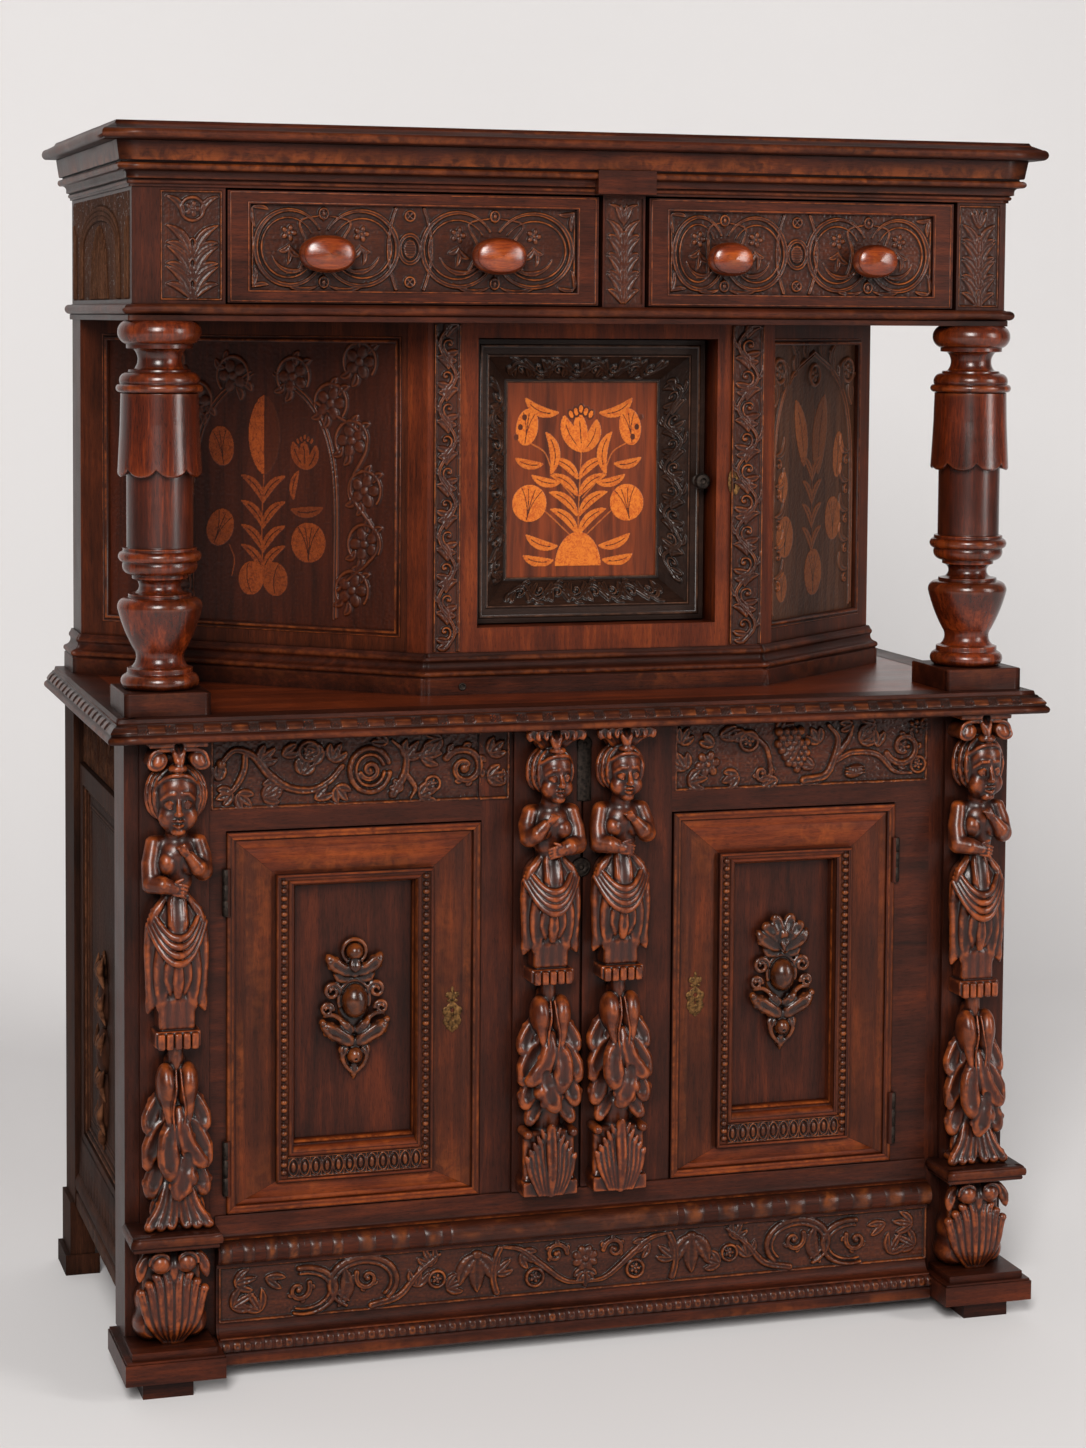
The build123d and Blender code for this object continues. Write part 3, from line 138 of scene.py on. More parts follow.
# ---- Materials ---------------------------------------------------------------------------------
def add(tree, kind, inputs=None, out=0, stops=(), **settings):
    """Adds one shader node and gives back one of its outputs.

    inputs holds numbers, colours or outputs of other nodes, by socket; stops are a ramp's."""
    node = tree.nodes.new("ShaderNode" + kind)
    for key, value in settings.items():
        setattr(node, key, value)
    for key, value in (inputs or {}).items():
        if isinstance(value, bpy.types.NodeSocket):
            tree.links.new(value, node.inputs[key])
        else:
            node.inputs[key].default_value = srgb(value) if isinstance(value, str) else value
    for k, (position, colour) in enumerate(stops):
        elements = node.color_ramp.elements
        element = elements[k] if k < len(elements) else elements.new(position)
        element.position = position
        if isinstance(colour, float):
            colour = (colour, colour, colour, 1.0)
        element.color = srgb(colour) if isinstance(colour, str) else colour
    return node.outputs[out] if node.outputs else node


def new_material(name):
    """An empty material and the function that adds nodes to it."""
    material = bpy.data.materials.new(name)
    material.use_nodes = True
    material.node_tree.nodes.clear()
    return material, functools.partial(add, material.node_tree)


# noise is stretched this many times along the grain, so its features run with the board
STRETCH = 13.0
GRAIN = {"x": (1.0, STRETCH, STRETCH), "y": (STRETCH, 1.0, STRETCH), "z": (STRETCH, STRETCH, 1.0)}


def noise_scale(size, stretch=1.0):
    """Scale of a noise whose features are this many millimetres across."""
    return 1.0 / (size * MM * stretch)


def wood(name, grain, dark, middle, light, worn, hollow_shade, roughness=0.42, coat=0.25, contrast=1.0):
    """Waxed old timber: long figure, open pores, rubbed edges and painted shade in the hollows."""
    material, node = new_material(name)
    place = node("TexCoord", out="Object")
    along = node("Mapping", {"Vector": place, "Scale": GRAIN[grain]})
    # broad cathedral figure of sawn boards, about 35 mm across the grain
    figure = node("TexNoise", {"Vector": along, "Scale": noise_scale(35.0, STRETCH), "Detail": 6.0,
                               "Roughness": 0.62, "Distortion": 1.1})
    # medullary streaks a few millimetres wide
    streaks = node("TexNoise", {"Vector": along, "Scale": noise_scale(4.52, STRETCH), "Detail": 5.0,
                                "Roughness": 0.7, "Distortion": 0.3})
    # open pores: short dark dashes under a millimetre across
    pores = node("TexNoise", {"Vector": along, "Scale": noise_scale(0.81, STRETCH), "Detail": 2.0,
                              "Roughness": 0.5})
    # blotches of old polish a hand wide, the same in every direction
    blotch = node("TexNoise", {"Vector": place, "Scale": noise_scale(111.0), "Detail": 3.0,
                               "Roughness": 0.6, "Distortion": 0.4})
    figured = node("Math", {0: figure, 1: 0.55 * contrast}, operation="MULTIPLY")
    streaked = node("Math", {0: streaks, 1: 0.35 * contrast}, operation="MULTIPLY")
    blotched = node("Math", {0: blotch, 1: 0.28}, operation="MULTIPLY")
    tone = node("Math", {0: figured, 1: streaked}, operation="ADD")
    tone = node("Math", {0: tone, 1: blotched}, operation="ADD")
    tone = node("Math", {0: tone, 1: 0.10 + 0.45 * (contrast - 1.0)}, operation="SUBTRACT")
    colour = node("ValToRGB", {0: tone}, stops=((0.30, dark), (0.50, middle), (0.72, light)))
    fleck = node("ValToRGB", {0: pores}, stops=((0.36, 0.45), (0.46, 1.0)))
    colour = node("Mix", {0: 0.8, 6: colour, 7: fleck}, 2, data_type="RGBA", blend_type="MULTIPLY")
    # rubbed edges and the painted shade of the hollows come from the carving's own relief
    wear_and_shading = node("Attribute", out="Fac", attribute_name="wear_and_shading")
    # hands and dusters reach some spots more than others, in patches of a centimetre or two
    handled = node("TexNoise", {"Vector": place, "Scale": noise_scale(16.1), "Detail": 3.0,
                                "Roughness": 0.6, "Distortion": 0.5})
    handled = node("ValToRGB", {0: handled}, stops=((0.40, 0.12), (0.64, 1.0)))
    # rubbed edges, and on the knobs a painted highlight
    rubbed_and_highlight = node("Math", {0: wear_and_shading, 1: 0.0}, operation="MAXIMUM")
    rubbed_and_highlight = node("Math", {0: rubbed_and_highlight, 1: handled}, operation="MULTIPLY")
    rubbed_and_highlight = node("Math", {0: rubbed_and_highlight, 1: 0.9}, operation="MINIMUM")
    colour = node("Mix", {0: rubbed_and_highlight, 6: colour, 7: worn}, 2, data_type="RGBA")
    # painted shade: the hollows of the relief darken towards the hollow colour
    hollow = node("Math", {0: wear_and_shading, 1: -1.0}, operation="MULTIPLY")
    hollow = node("Math", {0: hollow, 1: 0.93}, operation="MINIMUM")
    hollow = node("Math", {0: hollow, 1: 0.0}, operation="MAXIMUM")
    colour = node("Mix", {0: hollow, 6: colour, 7: hollow_shade}, 2, data_type="RGBA")
    # painted shade: darker within 30 mm of the corners between boards, by occlusion
    corner = node("AmbientOcclusion", {"Distance": 0.030}, "AO", samples=4)
    shade = node("ValToRGB", {0: corner}, stops=((0.22, 0.10), (0.90, 1.0)))
    colour = node("Mix", {0: 0.85, 6: colour, 7: shade}, 2, data_type="RGBA", blend_type="MULTIPLY")
    polish = node("Math", {0: blotch, 1: 0.22}, operation="MULTIPLY")
    polish = node("Math", {0: polish, 1: roughness - 0.11}, operation="ADD")
    dull = node("Math", {0: hollow, 1: 0.25}, operation="MULTIPLY")
    polish = node("Math", {0: polish, 1: dull}, operation="ADD")
    open_grain = node("Math", {0: pores, 1: 0.6}, operation="MULTIPLY")
    ridges = node("Math", {0: streaks, 1: 0.8}, operation="MULTIPLY")
    relief = node("Math", {0: open_grain, 1: ridges}, operation="ADD")
    bump = node("Bump", {"Height": relief, "Strength": 0.35, "Distance": 0.0006})
    # the pores swallow much of the reflection of the wax; a coat below zero is wood gone dry
    surface = node("BsdfPrincipled", {
        "Base Color": colour, "Roughness": polish, "Normal": bump, "IOR": 1.45,
        "Specular IOR Level": 0.12 + 0.45 * coat, "Coat Weight": max(0.0, coat) * 0.8,
        "Coat Roughness": 0.22})
    node("OutputMaterial", {0: surface})
    return material


def marquetry(name, ground_dark, ground_light, inlay_dark, inlay_light):
    """Veneer cut and let into a walnut ground; the tint attribute says which wood shows."""
    material, node = new_material(name)
    place = node("TexCoord", out="Object")
    along = node("Mapping", {"Vector": place, "Scale": GRAIN["z"]})
    # straight vertical figure of the ground veneer, about 13 mm across
    figure = node("TexNoise", {"Vector": along, "Scale": noise_scale(12.8, STRETCH), "Detail": 6.0,
                               "Roughness": 0.65, "Distortion": 0.6})
    ground = node("ValToRGB", {0: figure}, stops=((0.32, ground_dark), (0.62, ground_light)))
    # burr figure of the inlaid wood: curls of 6 mm in every direction
    burr = node("TexNoise", {"Vector": place, "Scale": noise_scale(5.88), "Detail": 5.0,
                             "Roughness": 0.7, "Distortion": 1.4})
    inlay = node("ValToRGB", {0: burr}, stops=((0.34, inlay_dark), (0.56, inlay_light)))
    tint = node("Attribute", out="Fac", attribute_name="tint")
    light = node("Math", {0: tint, 1: 0.0}, operation="MAXIMUM")
    colour = node("Mix", {0: light, 6: ground, 7: inlay}, 2, data_type="RGBA")
    # dark glue lines and engraved veins
    line = node("Math", {0: tint, 1: -1.0}, operation="MULTIPLY")
    line = node("Math", {0: line, 1: 0.0}, operation="MAXIMUM")
    colour = node("Mix", {0: line, 6: colour, 7: "#1E0D07"}, 2, data_type="RGBA")
    # painted shade in the hollows of the carving, rubbed on its raised parts
    wear_and_shading = node("Attribute", out="Fac", attribute_name="wear_and_shading")
    hollow = node("Math", {0: wear_and_shading, 1: -1.0}, operation="MULTIPLY")
    hollow = node("Math", {0: hollow, 1: 0.0}, operation="MAXIMUM")
    hollow = node("Math", {0: hollow, 1: 0.85}, operation="MINIMUM")
    colour = node("Mix", {0: hollow, 6: colour, 7: "#1A0C07"}, 2, data_type="RGBA")
    rubbed_and_highlight = node("Math", {0: wear_and_shading, 1: 0.0}, operation="MAXIMUM")
    rubbed_and_highlight = node("Math", {0: rubbed_and_highlight, 1: 1.1}, operation="MULTIPLY")
    rubbed_and_highlight = node("Math", {0: rubbed_and_highlight, 1: 0.8}, operation="MINIMUM")
    colour = node("Mix", {0: rubbed_and_highlight, 6: colour, 7: "#7E3F1C"}, 2, data_type="RGBA")
    # uneven shellac, in patches a few fingers wide
    sheen = node("TexNoise", {"Vector": place, "Scale": noise_scale(71.4), "Detail": 3.0,
                              "Roughness": 0.55})
    sheen = node("Math", {0: sheen, 1: 0.2}, operation="MULTIPLY")
    sheen = node("Math", {0: sheen, 1: 0.32}, operation="ADD")
    bump = node("Bump", {"Height": burr, "Strength": 0.15, "Distance": 0.0003})
    surface = node("BsdfPrincipled", {
        "Base Color": colour, "Roughness": sheen, "Normal": bump, "IOR": 1.5,
        "Specular IOR Level": 0.2, "Coat Weight": 0.06})
    node("OutputMaterial", {0: surface})
    return material


def old_metal(name, dark, light, metallic, roughness):
    """Forged or cast fittings with a brown skin and brighter rubbed spots."""
    material, node = new_material(name)
    place = node("TexCoord", out="Object")
    # scale and pitting about 4 mm across
    pits = node("TexNoise", {"Vector": place, "Scale": noise_scale(3.85), "Detail": 5.0,
                             "Roughness": 0.6})
    colour = node("ValToRGB", {0: pits}, stops=((0.35, dark), (0.70, light)))
    rough = node("Math", {0: pits, 1: 0.3}, operation="MULTIPLY")
    rough = node("Math", {0: rough, 1: roughness}, operation="ADD")
    bump = node("Bump", {"Height": pits, "Strength": 0.4, "Distance": 0.0004})
    surface = node("BsdfPrincipled", {"Base Color": colour, "Roughness": rough, "Normal": bump,
                                      "Metallic": metallic})
    node("OutputMaterial", {0: surface})
    return material


# key: name; figure dark, middle, light; worn edges; painted shade of hollows; roughness; wax coat;
# contrast
BOARD_WOODS = {
    # redder boards round the recess door
    "door": ("oak_waxed_door", "#240C05", "#54200A", "#803812", "#B0581E", "#0B0502", 0.42, 0.10),
    # horizontal boards, polished by use
    "top": ("oak_polished_top", "#2A0E05", "#5C230C", "#8C3B15", "#B8642A", "#0E0502", 0.34, 0.30),
    # painted shade darkens the carved ground; its high leaves are light and slightly glossy
    "carved": ("oak_waxed_carved", "#1B0A04", "#36160A", "#562610", "#AC5A22", "#070301", 0.36, 0.20,
               0.8),
    # the ends were never polished: grey-brown and dry
    "side": ("oak_dry_side", "#170B06", "#31190E", "#4E2D1C", "#724931", "#090402", 0.66, -0.12),
    # unfinished wood of the backs, floors and drawer boxes
    "plain": ("oak_raw_inside", "#3E2616", "#5E3D25", "#7C5638", "#7C5638", "#24160C", 0.65, 0.0),
}
PIECE_WOODS = {
    "stile": ("oak_waxed_door_stile", "z", "#1A0904", "#401A0A", "#662B10", "#9C4E1D", "#0A0402", 0.44,
              0.08),
    "weathered": ("oak_weathered_side", "z", "#2C1A11", "#4C2F20", "#6F4934", "#8E664C", "#120905",
                  0.72, -0.2, 0.8),
    "figure": ("oak_polished_figure", "z", "#1C0A04", "#3D170A", "#5C2510", "#97481C", "#080302", 0.32,
               0.34, 0.8),
    "ornament": ("oak_polished_ornament", "z", "#140703", "#280F05", "#401A09", "#7A3C15", "#050201",
                 0.26, 0.40, 0.7),
    "turned": ("walnut_polished_turned", "z", "#1C0803", "#481706", "#8A3611", "#AC5420", "#080301",
               0.24, 0.50, 1.15),
    # on the knobs the worn colour is a painted highlight and the hollow colour painted shade
    "knob": ("burr_walnut_polished", "x", "#260B03", "#6A260A", "#A54B14", "#B9621F", "#0C0401", 0.20,
             0.55, 1.3),
    "ebonised": ("oak_ebonised_carved", "x", "#150B07", "#271710", "#3B251A", "#6A4530", "#080403",
                 0.34, 0.22, 0.8),
}
# key: name, then the ground's dark and light and the inlaid wood's dark and light
INLAYS = {
    "inlay_dull": ("marquetry_faded", "#220C05", "#3A1508", "#561F0A", "#8A3E14"),
    "inlay_dark": ("marquetry_shaded", "#2A160D", "#452818", "#5E2A12", "#7E4522"),
}
# key: name, dark skin, rubbed spots, metallic, roughness
METALS = {
    "iron": ("iron_forged_blacked", "#15110F", "#3A302A", 0.85, 0.42),
    "brass": ("brass_cast_tarnished", "#2A1B0D", "#7E5A32", 0.85, 0.36),
}


def make_materials():
    """Every finish by its key, and the boards' woods by key and grain direction."""
    settings = bpy.context.scene.cupboard_finish
    # nearly black with old wax, tawny where rubbed
    case = ("oak_waxed_case", tuple(settings.oak_dark), tuple(settings.oak_middle),
            tuple(settings.oak_light), tuple(settings.oak_rubbed), "#080301", 0.42, 0.08)
    # warm walnut leaves under clean shellac
    inlay = ("marquetry_shellacked", "#3E190B", "#6E2E11", tuple(settings.inlay_dark),
             tuple(settings.inlay_light))
    woods, inlays = {"case": case, **BOARD_WOODS}, {"inlay": inlay, **INLAYS}
    made = {key + "_" + grain: wood(name + "_" + grain, grain, *finish)
            for grain in "xyz" for key, (name, *finish) in woods.items()}
    for table, make in ((PIECE_WOODS, wood), (inlays, marquetry), (METALS, old_metal)):
        made.update({key: make(*finish) for key, finish in table.items()})
    return made


MATERIALS = {}


# ---- Mesh tools --------------------------------------------------------------------------------
def mesh_piece(name, points, quads, material, body="carcase", slot="oak_case", stands_for=(),
               fields=None, smooth=True):
    """A mesh object from millimetre points and quads, riding on a CAD body."""
    mesh = bpy.data.meshes.new(name)
    quads = np.asarray(quads, np.int32)
    mesh.vertices.add(len(points))
    mesh.vertices.foreach_set("co", (np.asarray(points, float) * MM).astype(np.float32).ravel())
    mesh.loops.add(quads.size)
    mesh.loops.foreach_set("vertex_index", quads.ravel())
    mesh.polygons.add(len(quads))
    mesh.polygons.foreach_set("loop_start", np.arange(len(quads), dtype=np.int32) * 4)
    mesh.polygons.foreach_set("use_smooth", np.full(len(quads), smooth))
    for key, values in (fields or {}).items():
        layer = mesh.attributes.new(key, "FLOAT", "POINT")
        layer.data.foreach_set("value", np.asarray(values, np.float32).ravel())
    mesh.update(calc_edges=True)
    mesh.validate()
    mesh.materials.append(MATERIALS[material])
    piece = bpy.data.objects.new(name, mesh)
    bpy.context.scene.collection.objects.link(piece)
    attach(piece, body)
    if stands_for:
        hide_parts(*stands_for)
    return piece


def grid_quads(rows, columns, wrap=False):
    """Quads of a grid of points stored row by row; wrap joins the last column to the first."""
    r, c = np.meshgrid(np.arange(rows - 1), np.arange(columns if wrap else columns - 1),
                       indexing="ij")
    a = r * columns + c
    b = r * columns + (c + 1) % columns
    return np.stack([a, b, b + columns, a + columns], -1).reshape(-1, 4)


def box_blur(field, reach):
    """Moving average along both axes of a grid."""
    for axis in (0, 1):
        padded = np.concatenate([np.repeat(field.take([0], axis), reach + 1, axis), field,
                                 np.repeat(field.take([-1], axis), reach, axis)], axis)
        total = np.cumsum(padded, axis)
        count = field.shape[axis]
        upper = total.take(np.arange(2 * reach + 1, 2 * reach + 1 + count), axis)
        field = (upper - total.take(np.arange(count), axis)) / (2 * reach + 1)
    return field


def smooth_noise(shape, cell, rng):
    """Soft random field between -1 and 1 with features a few grid steps wide."""
    coarse = rng.uniform(-1, 1, [max(2, int(n / cell) + 3) for n in shape])
    rows = np.linspace(0, coarse.shape[0] - 1.001, shape[0])
    columns = np.linspace(0, coarse.shape[1] - 1.001, shape[1])
    i, j = rows.astype(int)[:, None], columns.astype(int)[None, :]
    u, v = (rows % 1)[:, None], (columns % 1)[None, :]
    u, v = u * u * (3 - 2 * u), v * v * (3 - 2 * v)
    return ((coarse[i, j] * (1 - u) + coarse[i + 1, j] * u) * (1 - v)
            + (coarse[i, j + 1] * (1 - u) + coarse[i + 1, j + 1] * u) * v)


# ---- Curves for carving ------------------------------------------------------------------------
def arc(cx, cz, rx, rz, start, end, steps=18):
    """Points on an elliptical arc, angles in degrees from +X."""
    t = np.radians(np.linspace(start, end, steps))
    return np.stack([cx + rx * np.cos(t), cz + rz * np.sin(t)], -1)


def spiral(cx, cz, outer, inner, start, turns, steps=34):
    """Points on a spiral that winds in from an outer radius."""
    t = np.linspace(0, 1, steps)
    angle = np.radians(start) + turns * 2 * math.pi * t
    radius = outer + (inner - outer) * t ** 0.8
    return np.stack([cx + radius * np.cos(angle), cz + radius * np.sin(angle)], -1)


def bent(a, b, bend, steps=12):
    """Points from a to b, bowed sideways by a share of the length."""
    a, b = np.asarray(a, float), np.asarray(b, float)
    t = np.linspace(0, 1, steps)[:, None]
    side = np.array([-(b - a)[1], (b - a)[0]])
    return a + (b - a) * t + side * bend * 4 * t * (1 - t)


def through(points, steps=8):
    """Smooth curve through a few given points."""
    p = np.asarray(points, float)
    p = np.vstack([2 * p[0] - p[1], p, 2 * p[-1] - p[-2]])
    out = []
    for k in range(1, len(p) - 2):
        t = np.linspace(0, 1, steps, endpoint=False)[:, None]
        out.append(0.5 * (2 * p[k] + (p[k + 1] - p[k - 1]) * t
                          + (2 * p[k - 1] - 5 * p[k] + 4 * p[k + 1] - p[k + 2]) * t ** 2
                          + (3 * p[k] - p[k - 1] - 3 * p[k + 1] + p[k + 2]) * t ** 3))
    return np.vstack(out + [p[-2:-1]])


def taper(count, start, middle, end):
    """Half widths along a stroke that swell to the middle."""
    t = np.linspace(0, 1, count)
    return np.interp(t, (0, 0.45, 1), (start, middle, end))


class Carving:
    """Heights and inlay tint over a flat board face, drawn stroke by stroke in millimetres."""

    def __init__(self, width, height, pitch=None, bold=1.0):
        """bold widens every stroke, for the heavier carving of the lower parts."""
        pitch = pitch or bpy.context.scene.cupboard_carving.relief_pitch
        self.bold, self.lift = bold, bold ** 0.6
        self.width, self.height = width, height
        self.x = np.linspace(0, width, max(3, int(round(width / pitch)) + 1))
        self.z = np.linspace(0, height, max(3, int(round(height / pitch)) + 1))
        self.h = np.zeros((len(self.z), len(self.x)))
        self.tint = np.zeros_like(self.h)
        self.pitch = self.x[1] - self.x[0]

    def window(self, x0, x1, z0, z1):
        """Rows and columns of the grid between these sides, with their x and z."""
        i0, i1 = np.searchsorted(self.x, (x0, x1))
        j0, j1 = np.searchsorted(self.z, (z0, z1))
        rows, columns = slice(j0, j1), slice(i0, i1)
        return rows, columns, self.x[columns][None, :], self.z[rows][:, None]

    def stroke(self, points, half, rise, vein=0.0, tint=None, flat=False):
        """A rounded ridge along a curve; half is its half width, one value or one per point."""
        points = np.asarray(points, float)
        half = np.broadcast_to(np.asarray(half, float) * self.bold, len(points))
        share, size = np.zeros_like(self.h), np.ones_like(self.h)
        for a, b, ha, hb in zip(points[:-1], points[1:], half[:-1], half[1:]):
            reach = max(ha, hb)
            rows, columns, x, z = self.window(min(a[0], b[0]) - reach, max(a[0], b[0]) + reach,
                                              min(a[1], b[1]) - reach, max(a[1], b[1]) + reach)
            if x.size == 0 or z.size == 0:
                continue
            run = b - a
            t = ((x - a[0]) * run[0] + (z - a[1]) * run[1]) / max(run @ run, 1e-9)
            t = np.clip(t, 0, 1)
            away = np.hypot(x - a[0] - run[0] * t, z - a[1] - run[1] * t)
            width = np.maximum(ha + (hb - ha) * t, 0.05)
            fresh = 1 - (away / width) ** 2
            nearer = fresh > share[rows, columns]
            share[rows, columns] = np.where(nearer, fresh, share[rows, columns])
            size[rows, columns] = np.where(nearer, width, size[rows, columns])
        low, high = points.min(0) - half.max(), points.max(0) + half.max()
        rows, columns, x, z = self.window(low[0], high[0], low[1], high[1])
        share, size = share[rows, columns], size[rows, columns]
        height = rise * (share > 0) if flat else rise * self.lift * np.sqrt(share)
        if vein:
            away = size * np.sqrt(1 - share)
            hollow = np.exp(-(away / np.maximum(0.9, 0.34 * size)) ** 2)
            height = height * (1 - vein * hollow * (share > 0))
        self.h[rows, columns] = np.maximum(self.h[rows, columns], height)
        if tint is not None:
            self.tint[rows, columns] = np.where(share > 0, tint, self.tint[rows, columns])
        return self

    def dome(self, cx, cz, rx, rz, rise, turn=0.0, tint=None, flat=False):
        """A rounded oval boss."""
        reach = max(rx, rz)
        rows, columns, x, z = self.window(cx - reach, cx + reach, cz - reach, cz + reach)
        c, s = math.cos(math.radians(turn)), math.sin(math.radians(turn))
        u, v = ((x - cx) * c + (z - cz) * s) / rx, (-(x - cx) * s + (z - cz) * c) / rz
        share = np.clip(1 - u * u - v * v, 0, 1)
        height = rise * (share > 0) if flat else rise * self.lift * np.sqrt(share)
        self.h[rows, columns] = np.maximum(self.h[rows, columns], height)
        if tint is not None:
            self.tint[rows, columns] = np.where(share > 0, tint, self.tint[rows, columns])
        return self

    def leaf(self, a, b, width, rise, bend=0.15, lobes=0):
        """A pointed leaf with a cut midrib, and side lobes if asked."""
        line = bent(a, b, bend)
        t = np.linspace(0, 1, len(line))
        self.stroke(line, width * np.sin(math.pi * np.clip(t * 0.93 + 0.05, 0, 1)) ** 0.8 + 0.2, rise,
                    vein=0.45)
        for k in range(lobes):
            at = line[int((0.25 + 0.5 * k / max(lobes, 1)) * (len(line) - 1))]
            run = line[-1] - line[0]
            for side in (-1, 1):
                out = np.array([-run[1], run[0]]) * side
                out = out / max(np.hypot(*out), 1e-6) * width * 1.7 + run * 0.22
                self.stroke(bent(at, at + out, -0.2 * side, 6), taper(6, 0.8, width * 0.42, 0.2),
                            rise * 0.85, vein=0.3)
        return self

    def flower(self, cx, cz, radius, petals, rise, turn=0.0):
        """A rosette: ring of petals round a raised eye."""
        for k in range(petals):
            angle = math.radians(turn + 360 * k / petals)
            self.dome(cx + 0.58 * radius * math.cos(angle), cz + 0.58 * radius * math.sin(angle),
                      radius * 0.44, radius * 0.34, rise * 0.8, math.degrees(angle))
        return self.dome(cx, cz, radius * 0.30, radius * 0.30, rise)

    def scroll(self, cx, cz, radius, start, turns, half, rise):
        """A volute that ends in a round eye."""
        line = spiral(cx, cz, radius, radius * 0.22, start, turns)
        self.stroke(line, np.linspace(half, half * 0.5, len(line)), rise)
        return self.dome(cx, cz, radius * 0.30, radius * 0.30, rise)

    def ground(self, depth=None, cell=3.0, seed=0):
        """Punched texture on the ground between the raised parts."""
        settings = bpy.context.scene.cupboard_carving
        rng = np.random.default_rng(settings.seed + seed)
        depth = settings.tool_marks if depth is None else depth
        self.h = self.h + smooth_noise(self.h.shape, cell / self.pitch, rng) * depth
        return self

    def wear_and_shading(self, reach=3.5, strength=0.55):
        """How far each point stands above (rubbed) or below (painted shade) its surroundings."""
        near = box_blur(self.h, max(1, int(reach / self.pitch)))
        above = (self.h - near) * strength
        return np.clip(np.where(above > 0, above * 0.55, above), -0.9, 0.6)

    def piece(self, name, origin, right, up, out, material, warp=None, **details):
        """The carving as a mesh: origin is its lower left corner, out the way it rises."""
        origin, right, up, out = (np.asarray(v, float) for v in (origin, right, up, out))
        x, z = np.meshgrid(self.x, self.z)
        if warp:
            x, z = warp(x, z)
        points = origin + x[..., None] * right + z[..., None] * up + self.h[..., None] * out
        quads = grid_quads(len(self.z), len(self.x))
        if np.cross(right, up) @ out < 0:
            quads = quads[:, ::-1]
        fields = {"wear_and_shading": self.wear_and_shading(), "tint": self.tint}
        return mesh_piece(name, points.reshape(-1, 3), quads, material, fields=fields, **details)


FRONT = dict(right=(1, 0, 0), up=(0, 0, 1), out=(0, -1, 0))


# ---- Turning and moulding ----------------------------------------------------------------------
def outline(start, *steps, at=(0.0, 0.0), fineness=1.6):
    """Fine points along straight lines and three-point arcs given as (through, end), moved by at."""
    points = [np.add(start, at)]
    for step in steps:
        here = points[-1]
        if isinstance(step[0], tuple):
            through_point, end = (np.add(p, at) for p in step)
            ax, az = here
            bx, bz = through_point
            cx, cz = end
            d = 2 * (ax * (bz - cz) + bx * (cz - az) + cx * (az - bz))
            ux = ((ax * ax + az * az) * (bz - cz) + (bx * bx + bz * bz) * (cz - az)
                  + (cx * cx + cz * cz) * (az - bz)) / d
            uz = ((ax * ax + az * az) * (cx - bx) + (bx * bx + bz * bz) * (ax - cx)
                  + (cx * cx + cz * cz) * (bx - ax)) / d
            radius = math.hypot(ax - ux, az - uz)
            a0, a1, a2 = (math.atan2(z - uz, x - ux) for x, z in (here, through_point, end))
            sweep = (a2 - a0) % (2 * math.pi)
            if (a1 - a0) % (2 * math.pi) > sweep:
                sweep -= 2 * math.pi
            count = max(4, int(abs(sweep) * radius / fineness))
            points += [np.array([ux + radius * math.cos(a0 + sweep * k / count),
                                 uz + radius * math.sin(a0 + sweep * k / count)])
                       for k in range(1, count + 1)]
        else:
            end = np.add(step, at)
            length = math.hypot(*(end - here))
            # a short step next to each corner keeps the edge crisp but lets it catch the light
            inner = [here + (end - here) * s for s in (min(0.5, 0.7 / max(length, 1e-6)),
                                                       max(0.5, 1 - 0.7 / max(length, 1e-6)))]
            points += inner + [end]
    kept = [points[0]]
    for p in points[1:]:
        if np.hypot(*(p - kept[-1])) > 1e-3:
            kept.append(p)
    return np.array(kept)


def finer(profile, step):
    """The same section with more points, so that it can be carved: none further apart than step."""
    points = [profile[0]]
    for p in profile[1:]:
        start = points[-1]
        cuts = max(1, int(np.hypot(*(p - start)) / step))
        points += [start + (p - start) * k / cuts for k in range(1, cuts + 1)]
    return np.array(points)


def profile_wear_and_shading(profile, reach=7.0):
    """Rubbed on the parts of a section that stand out, painted shade in its quirks."""
    step = np.r_[0, np.cumsum(np.hypot(*np.diff(profile, axis=0).T))]
    out = profile[:, 0]
    near = np.array([out[np.abs(step - s) < reach].mean() for s in step])
    return np.clip((out - near) * 0.16, -0.7, 0.55)


def lathe(name, x, y, profile, material, shape=None, **details):
    """A turned piece: profile of (radius, height), with an optional radius change by angle."""
    steps = bpy.context.scene.cupboard_moulding.lathe_steps
    turn = np.linspace(0, 2 * math.pi, steps, endpoint=False)[None, :]
    radius, height = profile[:, 0][:, None], profile[:, 1][:, None]
    radius, height = np.broadcast_to(radius, (len(profile), steps)), height + turn * 0
    if shape:
        radius, height = shape(radius, height, turn)
    points = np.stack([x + radius * np.cos(turn), y + radius * np.sin(turn), height], -1)
    quads = grid_quads(len(profile), steps, wrap=True)[:, ::-1]
    if profile[-1, 1] > profile[0, 1]:
        quads = quads[:, ::-1]
    # rubbed on the swells, painted shade in the quirks
    wear_and_shading = np.repeat(profile_wear_and_shading(profile)[:, None], steps, 1)
    return mesh_piece(name, points.reshape(-1, 3), quads, material, fields={"wear_and_shading": wear_and_shading}, **details)


